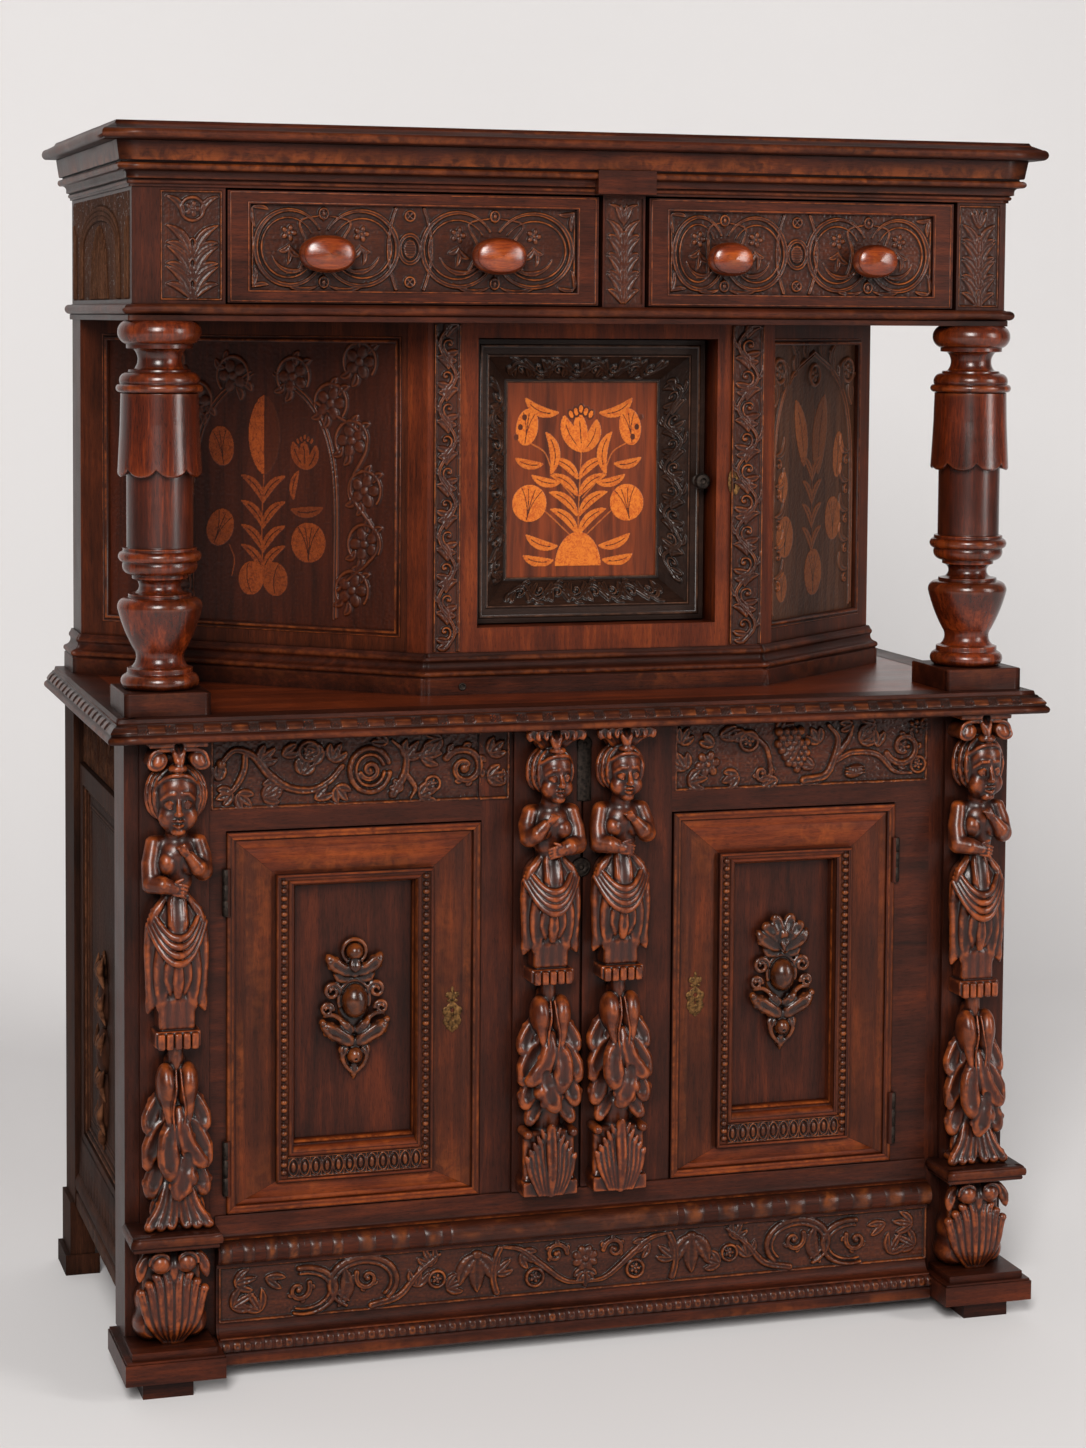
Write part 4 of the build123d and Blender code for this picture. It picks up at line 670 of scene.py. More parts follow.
def moulding(name, path, profile, material, seed=0, carve=None, station=None, **details):
    """A section of (distance outwards, height) run along a plan path with mitred corners.

    carve changes the outward distance by (distance along the path, place in the section)."""
    settings = bpy.context.scene.cupboard_moulding
    rng = np.random.default_rng(bpy.context.scene.cupboard_carving.seed + seed)
    path = np.asarray(path, float)
    runs = np.diff(path, axis=0)
    lengths = np.hypot(runs[:, 0], runs[:, 1])
    units = runs / lengths[:, None]
    normals = np.stack([units[:, 1], -units[:, 0]], -1)
    spots, mitres, along = [], [], []
    total = 0.0
    for k, (a, run, length) in enumerate(zip(path[:-1], runs, lengths)):
        count = max(2, int(length / (station or settings.station)) + 1)
        shares = np.linspace(0, 1, count)
        # corners use the mitre of both runs, stations between use the run's own normal
        before = normals[k - 1] if k else normals[k]
        after = normals[k + 1] if k < len(normals) - 1 else normals[k]
        for share in shares:
            near = before if share == 0 else after if share == 1 else normals[k]
            middle = normals[k] + near
            mitres.append(middle / max(middle @ normals[k], 1e-6))
            spots.append(a + run * share)
            along.append(total + length * share)
        total += length
    spots, mitres, along = np.array(spots), np.array(mitres), np.array(along)
    out, height = profile[:, 0][:, None], profile[:, 1][:, None]
    wander = smooth_noise((len(profile), len(spots)), 7, rng) * settings.wobble
    out = out + 0 * along[None, :]
    if carve is not None:
        out = out + carve(along[None, :], profile[:, 1][:, None])
    depth = out - profile[:, 0][:, None]
    out = out + wander * (profile[:, 0][:, None] > profile[:, 0].min() + 1.0)
    points = np.stack([spots[None, :, 0] + out * mitres[None, :, 0],
                       spots[None, :, 1] + out * mitres[None, :, 1],
                       height + wander * 0.3], -1)
    quads = grid_quads(len(profile), len(spots))
    # raised parts are rubbed; quirks and carved gaps get painted shade
    wear_and_shading = profile_wear_and_shading(profile)[:, None] * 0.9 - 0.04 + 0.14 * smooth_noise(out.shape, 9, rng)
    if carve is not None:
        wear_and_shading = wear_and_shading + np.clip((depth - np.percentile(depth, 70)) * 0.30, -0.85, 0.15)
    return mesh_piece(name, points.reshape(-1, 3), quads, material, fields={"wear_and_shading": wear_and_shading},
                      **details)


# ---- Carving in the round: distance fields turned into a skin ----------------------------------
def unit(run):
    """The direction of a run, with length 1."""
    return run / max(np.linalg.norm(run), 1e-6)


class Block:
    """A block of wood carved by adding and cutting rounded forms. Local x right, d outwards, z up."""

    def __init__(self, low, high, pitch):
        self.low, self.pitch = np.asarray(low, float), pitch
        counts = [int((b - a) / pitch) + 2 for a, b in zip(low, high)]
        self.axes = [self.low[k] + pitch * np.arange(counts[k]) for k in range(3)]
        self.f = np.full(counts, 9.0, np.float32)

    def window(self, low, high):
        """The part of the block between two corners, with its x, y and z."""
        spans = []
        for axis, a, b in zip(self.axes, low, high):
            spans.append(slice(max(0, np.searchsorted(axis, a) - 1), np.searchsorted(axis, b) + 1))
        grids = [axis[span] for axis, span in zip(self.axes, spans)]
        return (tuple(spans), grids[0][:, None, None], grids[1][None, :, None],
                grids[2][None, None, :])

    def join(self, spans, distance, soft):
        """Union with a soft fillet between the forms."""
        old = self.f[spans]
        blend = np.clip(soft - np.abs(old - distance), 0, None) ** 2 / (4 * soft)
        self.f[spans] = np.minimum(old, distance) - blend

    def cut(self, spans, distance, soft=1.0):
        """Takes a form out of the block, with a rounded edge."""
        old = self.f[spans]
        blend = np.clip(soft - np.abs(old + distance), 0, None) ** 2 / (4 * soft)
        self.f[spans] = np.maximum(old, -distance) + blend

    def oval(self, centre, radii, soft=2.5, turn=0.0, cut=False):
        """An ellipsoid, turned in the front plane by degrees."""
        centre, radii = np.asarray(centre, float), np.asarray(radii, float)
        reach = np.array([max(radii[0], radii[2]), radii[1], max(radii[0], radii[2])]) + soft + 3
        spans, x, d, z = self.window(centre - reach, centre + reach)
        c, s = math.cos(math.radians(turn)), math.sin(math.radians(turn))
        u, w = (x - centre[0]) * c + (z - centre[2]) * s, -(x - centre[0]) * s + (z - centre[2]) * c
        v = d - centre[1]
        k = np.sqrt((u / radii[0]) ** 2 + (v / radii[1]) ** 2 + (w / radii[2]) ** 2)
        g = np.sqrt((u / radii[0] ** 2) ** 2 + (v / radii[1] ** 2) ** 2 + (w / radii[2] ** 2) ** 2)
        distance = k * (k - 1) / np.maximum(g, 1e-6)
        (self.cut if cut else self.join)(spans, distance.astype(np.float32), soft)
        return self

    def limb(self, points, radii, soft=2.0, cut=False, squash=1.0):
        """A round form along a line of points with a radius at each; squash flattens it in depth."""
        points = np.asarray(points, float)
        radii = np.broadcast_to(np.asarray(radii, float), len(points))
        low = points.min(0) - radii.max() - soft - 2
        high = points.max(0) + radii.max() + soft + 2
        spans, x, d, z = self.window(low, high)
        best = None
        for a, b, ra, rb in zip(points[:-1], points[1:], radii[:-1], radii[1:]):
            run = (b - a) * (1, 1 / squash, 1)
            px, pd, pz = x - a[0], (d - a[1]) / squash, z - a[2]
            t = np.clip((px * run[0] + pd * run[1] + pz * run[2]) / max(run @ run, 1e-9), 0, 1)
            away = np.sqrt((px - run[0] * t) ** 2 + (pd - run[1] * t) ** 2
                           + (pz - run[2] * t) ** 2) - (ra + (rb - ra) * t)
            best = away if best is None else np.minimum(best, away)
        (self.cut if cut else self.join)(spans, (best * min(1.0, squash)).astype(np.float32), soft)
        return self

    def slab(self, low, high, round_by=1.5, soft=1.0, cut=False):
        """A block with rounded edges."""
        low, high = np.asarray(low, float), np.asarray(high, float)
        spans, x, d, z = self.window(low - soft - 3, high + soft + 3)
        middle, half = (low + high) / 2, (high - low) / 2 - round_by
        qx, qd, qz = abs(x - middle[0]) - half[0], abs(d - middle[1]) - half[1], \
            abs(z - middle[2]) - half[2]
        outside = np.sqrt(np.maximum(qx, 0) ** 2 + np.maximum(qd, 0) ** 2 + np.maximum(qz, 0) ** 2)
        inside = np.minimum(np.maximum(np.maximum(qx, qd), qz), 0)
        (self.cut if cut else self.join)(spans, (outside + inside - round_by).astype(np.float32),
                                         soft)
        return self

    def blade(self, points, width, thick, veins, soft=1.2):
        """A leaf: a thin curved blade along a line, hollowed down its midrib, with cut side veins."""
        points = np.asarray(points, float)
        t = np.linspace(0, 1, len(points))
        half = width * np.sin(math.pi * np.clip(0.06 + t * 0.90, 0, 1)) ** 0.75
        self.limb(points, np.maximum(half, 0.8), soft, squash=thick / width)
        rib = points + np.array([0, thick * 0.95, 0])
        self.limb(rib, np.full(len(points), 0.9), 0.8, cut=True)
        for k in range(1, veins + 1):
            at = int(k * (len(points) - 1) / (veins + 1))
            run = unit(points[min(at + 1, len(points) - 1)] - points[at])
            for side in (-1, 1):
                end = rib[at] + side * half[at] * np.array([run[2], 0, -run[0]]) * 0.9 \
                    + run * half[at] * 0.8 - np.array([0, thick * 0.5, 0])
                self.limb([rib[at], end], [0.7, 0.4], 0.6, cut=True)
        return self

    def tongue(self, points, half, thick, rim=2.2, lobes=0, soft=1.2):
        """A broad leaf: a raised rim and midrib round a hollow, with a lobed edge if asked."""
        points = through(points, 5)
        t = np.linspace(0, 1, len(points))
        wide = half * np.interp(t, (0, 0.2, 0.6, 0.85, 1), (0.6, 0.9, 1.0, 0.7, 0.25))
        self.limb(points, wide, soft, squash=thick / half)
        for k in range(lobes):
            at = int((0.30 + 0.60 * k / lobes) * (len(points) - 1))
            run = unit(points[at + 1] - points[at - 1])
            side = np.array([run[2], 0, -run[0]])
            for s in (-1, 1):
                tip = points[at] + s * side * wide[at] * 0.80 + run * half * 0.30
                self.limb([points[at], tip], [half * 0.45, half * 0.36], soft, squash=thick / half)
        self.limb(points + np.array([0, thick * 1.28, 0]), np.maximum(wide - rim, 0.5), 1.6, cut=True,
                  squash=0.8 * thick / half)
        for at in range(3, len(points) - 3, 3):
            run = unit(points[at + 1] - points[at - 1])
            side = np.array([run[2], 0, -run[0]])
            for s in (-1, 1):
                foot = points[at] + np.array([0, thick * 0.80, 0])
                tip = foot + (s * side * 0.85 + run * 0.7) * wide[at] + np.array([0, 1.0, 0])
                self.limb([foot, tip], [0.5, 0.9], 0.8, cut=True)
        self.limb(points[1:-1] + np.array([0, thick * 0.22, 0]), 1.3, 1.6)
        return self

    def skin(self):
        """Points and quads of the carved surface (a net of one point per cell it crosses)."""
        f = np.pad(self.f, 1, constant_values=9.0)
        inside = f < 0
        corner = [(i, j, k) for i in (0, 1) for j in (0, 1) for k in (0, 1)]
        shape = [n - 1 for n in f.shape]
        views = {c: f[c[0]:c[0] + shape[0], c[1]:c[1] + shape[1], c[2]:c[2] + shape[2]]
                 for c in corner}
        count = sum((views[c] < 0).astype(np.int8) for c in corner)
        cells = np.argwhere((count > 0) & (count < 8))
        index = np.full(shape, -1, np.int64)
        index[tuple(cells.T)] = np.arange(len(cells))
        values = {c: views[c][tuple(cells.T)].astype(float) for c in corner}
        total, crossings = np.zeros((len(cells), 3)), np.zeros(len(cells))
        for a in corner:
            for axis in range(3):
                if a[axis]:
                    continue
                b = tuple(v + (1 if k == axis else 0) for k, v in enumerate(a))
                fa, fb = values[a], values[b]
                crossed = (fa < 0) != (fb < 0)
                t = np.where(crossed, fa / np.where(crossed, fa - fb, 1), 0)
                place = np.array(a, float) + t[:, None] * (np.arange(3) == axis)
                total += place * crossed[:, None]
                crossings += crossed
        points = self.low + (cells - 1 + total / crossings[:, None]) * self.pitch
        quads = []
        for axis in range(3):
            u, v = (axis + 1) % 3, (axis + 2) % 3
            first = inside.take(np.arange(f.shape[axis] - 1), axis)
            second = inside.take(np.arange(1, f.shape[axis]), axis)
            edges = np.argwhere(first != second)
            edges = edges[(edges[:, u] > 0) & (edges[:, v] > 0)]
            edges = edges[(edges[:, u] < shape[u]) & (edges[:, v] < shape[v])]
            around = []
            for du, dv in ((1, 1), (0, 1), (0, 0), (1, 0)):
                cell = edges.copy()
                cell[:, u] -= du
                cell[:, v] -= dv
                around.append(index[tuple(cell.T)])
            quad = np.stack(around, -1)
            outward = first[tuple(edges.T)]
            quad[~outward] = quad[~outward][:, ::-1]
            quads.append(quad)
        return points, np.vstack(quads)

    def piece(self, name, place, material, relax=2, **details):
        """The carved surface as a mesh. place maps local (x, d, z) to the row frame."""
        points, quads = self.skin()
        links = np.vstack([quads[:, [k, (k + 1) % 4]] for k in range(4)])

        def average(values):
            """Mean of each point's neighbours."""
            total, count = np.zeros_like(values), np.zeros(len(values))
            for a, b in ((0, 1), (1, 0)):
                count += np.bincount(links[:, a], minlength=len(values))
                for k in range(values.shape[1]):
                    total[:, k] += np.bincount(links[:, a], values[links[:, b], k], len(values))
            return total / np.maximum(count, 1)[:, None]

        for _ in range(relax):
            points = points + 0.5 * (average(points) - points)
        around = points
        for _ in range(6):
            around = average(around)
        form = around
        for _ in range(12):
            form = average(form)
        normal = np.zeros_like(points)
        p = points[quads]
        face = np.cross(p[:, 2] - p[:, 0], p[:, 3] - p[:, 1])
        for k in range(4):
            for axis in range(3):
                normal[:, axis] += np.bincount(quads[:, k], face[:, axis], len(points))
        normal /= np.maximum(np.linalg.norm(normal, axis=1), 1e-9)[:, None]
        # raised parts are rubbed; sunk parts get painted shade
        edge = np.clip(((points - around) * normal).sum(1) * 1.6, -0.8, 0.4)
        swell = np.clip(((points - form) * normal).sum(1) * 0.55, -0.45, 0.7)
        wear_and_shading = np.clip(edge + swell - 0.08, -0.7, 0.75)
        placed = place(points)
        p = placed[quads]
        volume = np.einsum("ij,ij->", p.mean(1), np.cross(p[:, 2] - p[:, 0], p[:, 3] - p[:, 1]))
        if volume < 0:
            quads = quads[:, ::-1]
        return mesh_piece(name, placed, quads, material, fields={"wear_and_shading": wear_and_shading}, **details)


def on_front(x, plane, z=0.0):
    """Places local (x, d, z) round a point of a plane that faces -Y."""
    return lambda p: np.stack([p[:, 0] + x, plane - p[:, 1], p[:, 2] + z], -1)


# ---- Stock carving patterns --------------------------------------------------------------------
def vine(carving, x0, x1, z, swing, turns, rise, half, seed):
    """A running vine: wavy stem with a volute, leaves and a berry in each bend."""
    rng = np.random.default_rng(seed)
    t = np.linspace(0, 1, 26 * turns)
    stem = np.stack([x0 + (x1 - x0) * t, z + swing * np.sin(t * turns * 2 * math.pi)], -1)
    carving.stroke(stem, half, rise, vein=0.4)
    pitch = (x1 - x0) / (2 * turns)
    for k in range(2 * turns):
        side = 1 if k % 2 == 0 else -1
        cx = x0 + pitch * (k + 0.5)
        turn = rng.uniform(-8, 8)
        size = min(abs(pitch) * 0.36, swing * 0.90)
        carving.scroll(cx, z - side * swing * 0.20, size, 150 * side + turn, -0.8 * side,
                       half * 0.8, rise * 0.9)
        for start, lift, reach, fall, wide, bow, share in (
                (0.26, 0.1, 0.60, 1.30, 2.5, 0.25, 0.9), (0.26, 0.1, 0.84, 0.85, 2.1, 0.15, 0.9),
                (-0.28, 0.2, -0.50, 1.10, 2.2, -0.25, 0.8), (-0.28, 0.2, -0.20, 1.25, 1.9, -0.10, 0.8),
                (-0.1, 0.8, 0.35, -1.5, 1.3, 0.2, 0.8)):
            carving.leaf((cx + pitch * start, z + side * swing * lift),
                         (cx + pitch * reach, z - side * swing * fall), half * wide, rise * share,
                         bow * side)
        carving.dome(cx, z - side * swing * 0.2, half * 1.3, half * 1.3, rise)
    return carving


def standing_plant(carving, x, z0, z1, pairs, spread, rise, bud=True):
    """Pairs of long upswept leaves on a stem of little arches, closed by a bud."""
    step = (z1 - z0) / (pairs + 0.6)
    for k in range(pairs):
        foot = z0 + step * k
        for side in (-1, 1):
            for lift, reach, wide in ((1.55, 0.95, 5.4), (0.72, 0.95, 4.6)):
                tip = (x + side * spread * reach, foot + step * lift)
                carving.leaf((x + side * 3, foot), tip, wide, rise, 0.16 * side)
            carving.stroke(arc(x, foot + step * 0.55, 4.2, step * 0.38, 90, 90 - 110 * side, 10), 1.2,
                           rise * 0.9)
        carving.stroke([(x, foot), (x, foot + step * 0.5)], 1.6, rise * 0.8)
    if bud:
        for turn in (-34, -12, 12, 34):
            tip = (x + 20 * math.sin(math.radians(turn)), z1 + 20 * math.cos(math.radians(turn)))
            carving.leaf((x, z1 - 6), tip, 3.2, rise, 0.0)
    return carving


def rosette_ring(carving, cx, cz, radius, rise):
    """A flower inside a ring."""
    carving.stroke(arc(cx, cz, radius, radius, 0, 360, 30), radius * 0.13, rise)
    return carving.flower(cx, cz, radius * 0.72, 5, rise * 0.9)


def grapes(carving, cx, cz, size, rise):
    """A hanging bunch of berries."""
    for row, count in enumerate((4, 3, 4, 3, 2, 1)):
        for k in range(count):
            carving.dome(cx + (k - (count - 1) / 2) * size * 1.5, cz - row * size * 1.25, size,
                         size, rise * (1 - 0.06 * row))
    return carving


def border(carving, inset, half, rise):
    """A raised bead round the edge."""
    w, h = carving.width, carving.height
    corners = [(inset, inset), (w - inset, inset), (w - inset, h - inset), (inset, h - inset),
               (inset, inset)]
    return carving.stroke(corners, half, rise)


# ---- Boards that keep their CAD nodes ----------------------------------------------------------
# the wood of each CAD node, by finish; a star stands for left and right
CASE_GRAIN = {
    "top_x": "table_board recess_plinth canopy_rail",
    "case_x": "top_board cornice cornice_block drawer_*_front lower_frieze_* base_front corner_base_*",
    "case_z": "frieze_* frieze_muntin front_post_* centre_muntin upper_post_* door_*_frame door_*_panel",
    "side_z": "back_post_* side_wall_*",
    "plain_x": "upper_back lower_back lower_floor drawer_*_box",
    "door_z": "recess_frame",
    "stile": "splay_frame_*",
    "ebonised": "recess_door_frame",
    "inlay": "recess_door_panel",
    "inlay_dull": "splay_panel_*",
    "carved_z": "corbel_* figure_outer_* figure_inner_* door_*_ornament",
    "turned": "column_*",
    "knob": "drawer_*_knob_a drawer_*_knob_b",
    "iron": "door_*_key_plate",
    "brass": "recess_escutcheon recess_door_knob",
}


def finish_boards():
    """Wood on every CAD node and softened edges on the boards."""
    for key, names in CASE_GRAIN.items():
        pairs = [(name.replace("*", "left"), name.replace("*", "right")) for name in names.split()]
        for name in sorted({name for pair in pairs for name in pair}):
            node = NODES[name]
            node.data.materials.clear()
            node.data.materials.append(MATERIALS[key])
            if key.startswith(("case", "side", "plain")):
                edge = node.modifiers.new("worn edges", "BEVEL")
                edge.width = 1.1 * MM
                edge.segments = 2
                edge.limit_method = "ANGLE"
                edge.angle_limit = math.radians(40)
                edge.harden_normals = True


def span(node):
    """Corners of a CAD node in millimetres."""
    low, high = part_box(node)
    return [c / MM for c in low], [c / MM for c in high]


def middle_of(node):
    """Centre of a CAD node in millimetres."""
    return [(a + b) / 2 for a, b in zip(*span(node))]


# ---- Canopy ------------------------------------------------------------------------------------
SKIN = 0.7              # how far a finished moulding stands over its CAD board
FRIEZE_FOOT = 757.0     # lower edge of the carved friezes of the base
SIDE_FACE = 611.0       # the end boards' outer face, from the middle
SIDE_RAIL = 628.0       # and the moulded rail under them
TOP_LOW, TOP_HIGH = span("top_board")
CANOPY_OVERHANG = 43.0
CANOPY_HALF = TOP_HIGH[0] - CANOPY_OVERHANG
CANOPY_FRONT = TOP_LOW[1] + CANOPY_OVERHANG
BACK = TOP_HIGH[1]
CANOPY_RIM = [(-CANOPY_HALF, BACK), (-CANOPY_HALF, CANOPY_FRONT), (CANOPY_HALF, CANOPY_FRONT),
              (CANOPY_HALF, BACK)]


def build_canopy_mouldings():
    """Thumb edge of the top board, the cornice under it and the nosing under the drawers."""
    under, over = TOP_LOW[2], TOP_HIGH[2]
    reach = CANOPY_OVERHANG
    moulding("top_edge", CANOPY_RIM,
             outline((12.0, under - SKIN), (reach - 5.0, under - SKIN),
                     ((reach + SKIN, under + 6.0), (reach - 6.0, under + 13.0 + SKIN)),
                     (reach - 17.5, over - 4.0 + SKIN), (reach - 20.0, over + SKIN),
                     (reach - 34.0, over + SKIN)), "case_x", seed=1)
    low = span("cornice")[0][2]
    rise = under - low
    moulding("cornice_moulding", CANOPY_RIM,
             outline((-3.7, 0), (2, 0), (2, 3), ((5, 6), (2.5, 9)), (7.5, 10.5), (7.5, 15),
                     ((9.5, 19), (14.5, 20.5)), ((20.5, 25), (14.5, 29.5)), (13, 30.5), (13, 32.5),
                     (18, 33), (22, rise - 1), (13.3, rise - 0.5), at=(SKIN, low)), "case_x", seed=2)
    (_, _, low), (_, _, high) = span("canopy_rail")
    rise = high - low
    moulding("canopy_nosing", CANOPY_RIM,
             outline((-12.7, -0.3), (3, -0.3), (3, 7), (1.2, 8.5), ((10.5, 14.5), (1.2, rise - 1.5)),
                     (0, rise), (-2.7, rise), at=(SKIN, low)), "case_x", seed=3)


def drawer_carving(width, height, knobs):
    """Facing C scrolls round each knob, an oval medallion between them, buds and corner leaves."""
    c = Carving(width, height, 0.8)
    middle, centre = height / 2, sum(knobs) / 2
    for knob in knobs:
        for side in (-1, 1):
            # room between the knob and the medallion, or the knob and the end of the drawer
            room = abs(centre - knob) - 17 if (centre - knob) * side > 0 else \
                (knob if side < 0 else width - knob) - 7
            reach = room / 2
            cx = knob + side * reach
            start, end = (30, 330) if side < 0 else (150, -150)
            # a broad channelled band with a plain fillet inside it
            c.stroke(arc(cx, middle, reach, height * 0.44, start, end, 44),
                     taper(44, 1.6, 4.4, 2.4), 4.2, vein=0.55)
            c.stroke(arc(cx + side * 2, middle, reach - 10, height * 0.44 - 10, start, end, 36),
                     taper(36, 0.8, 1.9, 1.4), 3.2)
            # crescent leaves inside the lower bend, and a sprig with a blossom in the middle
            c.stroke(arc(cx - side * 4, middle - 1, reach * 0.62, height * 0.27,
                         200 if side < 0 else -20, 335 if side < 0 else -155, 22),
                     taper(22, 0.5, 4.2, 0.4), 3.4, vein=0.5)
            c.stroke(through([(knob + side * 4, middle + height * 0.38),
                              (cx - side * 14, middle + height * 0.30),
                              (knob + side * 23, middle + height * 0.02),
                              (cx - side * 13, middle - height * 0.26),
                              (cx + side * 4, middle - height * 0.30)]), taper(33, 1.0, 2.6, 1.2), 3.4,
                     vein=0.4)
            c.flower(cx + side * 1, middle + height * 0.17, 11, 5, 3.6)
            c.leaf((cx, middle + 2), (cx - side * 15, middle - height * 0.10), 4.6, 3.2, 0.2 * side)
            c.leaf((cx, middle + 4), (cx + side * 14, middle - height * 0.04), 4.2, 3.0, -0.2 * side)
            c.leaf((cx + side * 2, middle + 2), (cx + side * 3, middle - height * 0.20), 3.6, 3.0)
            c.leaf((cx + side * 8, middle - height * 0.40), (knob + side * 7, middle - height * 0.44),
                   3.6, 3.2, 0.16 * side)
        for way in (-1, 1):
            c.stroke(arc(knob, middle + way * height * 0.40, 6.0, 7.0, 0, 360, 20), 1.6, 3.4)
            c.dome(knob, middle + way * height * 0.40, 3.8, 4.8, 3.8)
            c.leaf((knob, middle + way * height * 0.31), (knob, middle + way * height * 0.48), 3.0,
                   3.0, 0.0)
    for way in (-1, 1):
        c.stroke(bent((centre + way * 19, 3), (centre + way * 19, height - 3), -0.10 * way), 2.6, 4.0,
                 vein=0.5)
        c.stroke(arc(centre, middle + way * height * 0.39, 6.6, 6.6, 0, 360, 20), 1.6, 3.4)
        c.flower(centre, middle + way * height * 0.39, 6.5, 4, 3.0, 45)
    c.stroke(arc(centre, middle, 14.0, 18.5, 0, 360, 36), 3.4, 4.2, vein=0.6)
    c.dome(centre, middle, 9.0, 12.5, 2.4, flat=True)
    for k in range(-3, 4):
        c.stroke([(centre - 7.5 + abs(k), middle + k * 3.3), (centre + 7.5 - abs(k), middle + k * 3.3)],
                 1.1, 3.4)
    for x, way in ((3.0, 1), (width - 3.0, -1)):
        for z, rise in ((4.0, 1), (height - 4.0, -1)):
            c.leaf((x, z), (x + way * 22, z + rise * 3), 3.6, 3.6, 0.1)
            c.leaf((x, z), (x + way * 4, z + rise * 26), 3.6, 3.6, -0.1)
        c.stroke([(x, 8), (x, height - 8)], 1.4, 3.0)
    return c.ground(seed=int(width))


def build_drawers():
    """Carved and beaded fronts with their turned knobs."""
    margin, sink, foot, head = 30.0, 6.0, 16.5, 17.0
    for drawer in ("drawer_left", "drawer_right"):
        (x0, y0, z0), (x1, _, z1) = span(drawer + "_front")
        low, width, height = x0 + margin, x1 - x0 - 2 * margin, z1 - z0 - foot - head
        knobs = []
        for letter in "ab":
            knob = drawer + "_knob_" + letter
            (k0, _, kz0), (k1, _, kz1) = span(knob)
            knobs.append((k0 + k1) / 2 - low)
            oval_knob(knob, (k0 + k1) / 2, (kz0 + kz1) / 2, y0 + sink, (k1 - k0) / 2, (kz1 - kz0) / 2,
                      drawer)
        carving = drawer_carving(width, height, knobs)
        carving.piece(drawer + "_carving", (low, y0 + sink - 0.25, z0 + foot), **FRONT,
                      material="carved_x", body=drawer)
        # scratched line round the plain border
        for inset, name in ((4.0, "outer"), (margin - 2.5, "inner")):
            bead_round(drawer + "_" + name + "_bead", (x0 + inset, x1 - inset),
                       (z0 + inset * 0.55, z1 - inset * 0.55), 1.3, 0.9,
                       lambda x, lift, z: (x, y0 - lift, z), "case_x", body=drawer)


def fitting(name, x, z, face, profile, material, steps=40, way=-1, half=(1, 1), form=1, **details):
    """A small turned piece that stands out of the front (way -1) or the back (way 1).

    profile is (radius, reach); half stretches it to an oval and form changes its radius by angle."""
    turn = np.linspace(0, 2 * math.pi, steps, endpoint=False)[None, :]
    radius, reach = profile[:, 0][:, None], profile[:, 1][:, None]
    points = np.stack([x + half[0] * radius * form * np.cos(turn), face + way * reach + 0 * turn,
                       z + half[1] * radius * form * np.sin(turn)], -1)
    quads = grid_quads(len(profile), steps, wrap=True)[:, ::-way]
    return mesh_piece(name, points.reshape(-1, 3), quads, material, **details)


def oval_knob(name, x, z, face, half_long, half_high, body):
    """A turned and flattened knob: narrow neck, full round head."""
    profile = outline((0.30, 0.0), (0.40, 2.0), ((0.38, 7.0), (0.62, 12.0)),
                      ((1.0, 22.0), (0.84, 34.0)), ((0.55, 42.5), (0.02, 46.0)), fineness=0.04)
    steps = 56
    turn = np.linspace(0, 2 * math.pi, steps, endpoint=False)[None, :]
    # a squarish oval, as the pieces are rasped after turning
    squareness = (np.abs(np.cos(turn)) ** 2.25 + np.abs(np.sin(turn)) ** 2.25) ** (-1 / 2.25)
    # painted shade round the side and a painted highlight on the front give the knob its shading
    wear_and_shading = np.interp(profile[:, 1], (0, 12, 28, 37, 42, 46), (-0.9, -0.85, -0.6, -0.3, 0.0, 0.25))
    fitting(name + "_turned", x, z, face, profile, "knob", steps, half=(half_long, half_high),
            form=squareness, body=body, slot="walnut_turned", stands_for=(name,),
            fields={"wear_and_shading": np.repeat(wear_and_shading, steps)})


def bead_round(name, xs, zs, half, rise, place, material, shade_and_rub=(-0.5, 0.6), **details):
    """A thin bead round a rectangle; place maps (across, lift, up) to the row frame.

    rub gives the painted shade at the bead's foot and how worn its crown is."""
    section = [(-half, 0.0), (-half * 0.6, rise * 0.8), (0.0, rise), (half * 0.6, rise * 0.8),
               (half, 0.0)]
    points = [place(xs[i] + (2 * i - 1) * out, lift, zs[j] + (2 * j - 1) * out)
              for i, j in ((0, 0), (1, 0), (1, 1), (0, 1)) for out, lift in section]
    quads = grid_quads(5, len(section)) % len(points)
    wear_and_shading = np.tile([shade_and_rub[0], 0.2, shade_and_rub[1], 0.2, shade_and_rub[0]], 4)
    return mesh_piece(name, points, quads, material, fields={"wear_and_shading": wear_and_shading}, **details)


def side_face(side, x):
    """Directions for a board facing left (-1) or right (1), and the x of its face."""
    return dict(right=(0, side, 0), up=(0, 0, 1), out=(side, 0, 0)), side * x


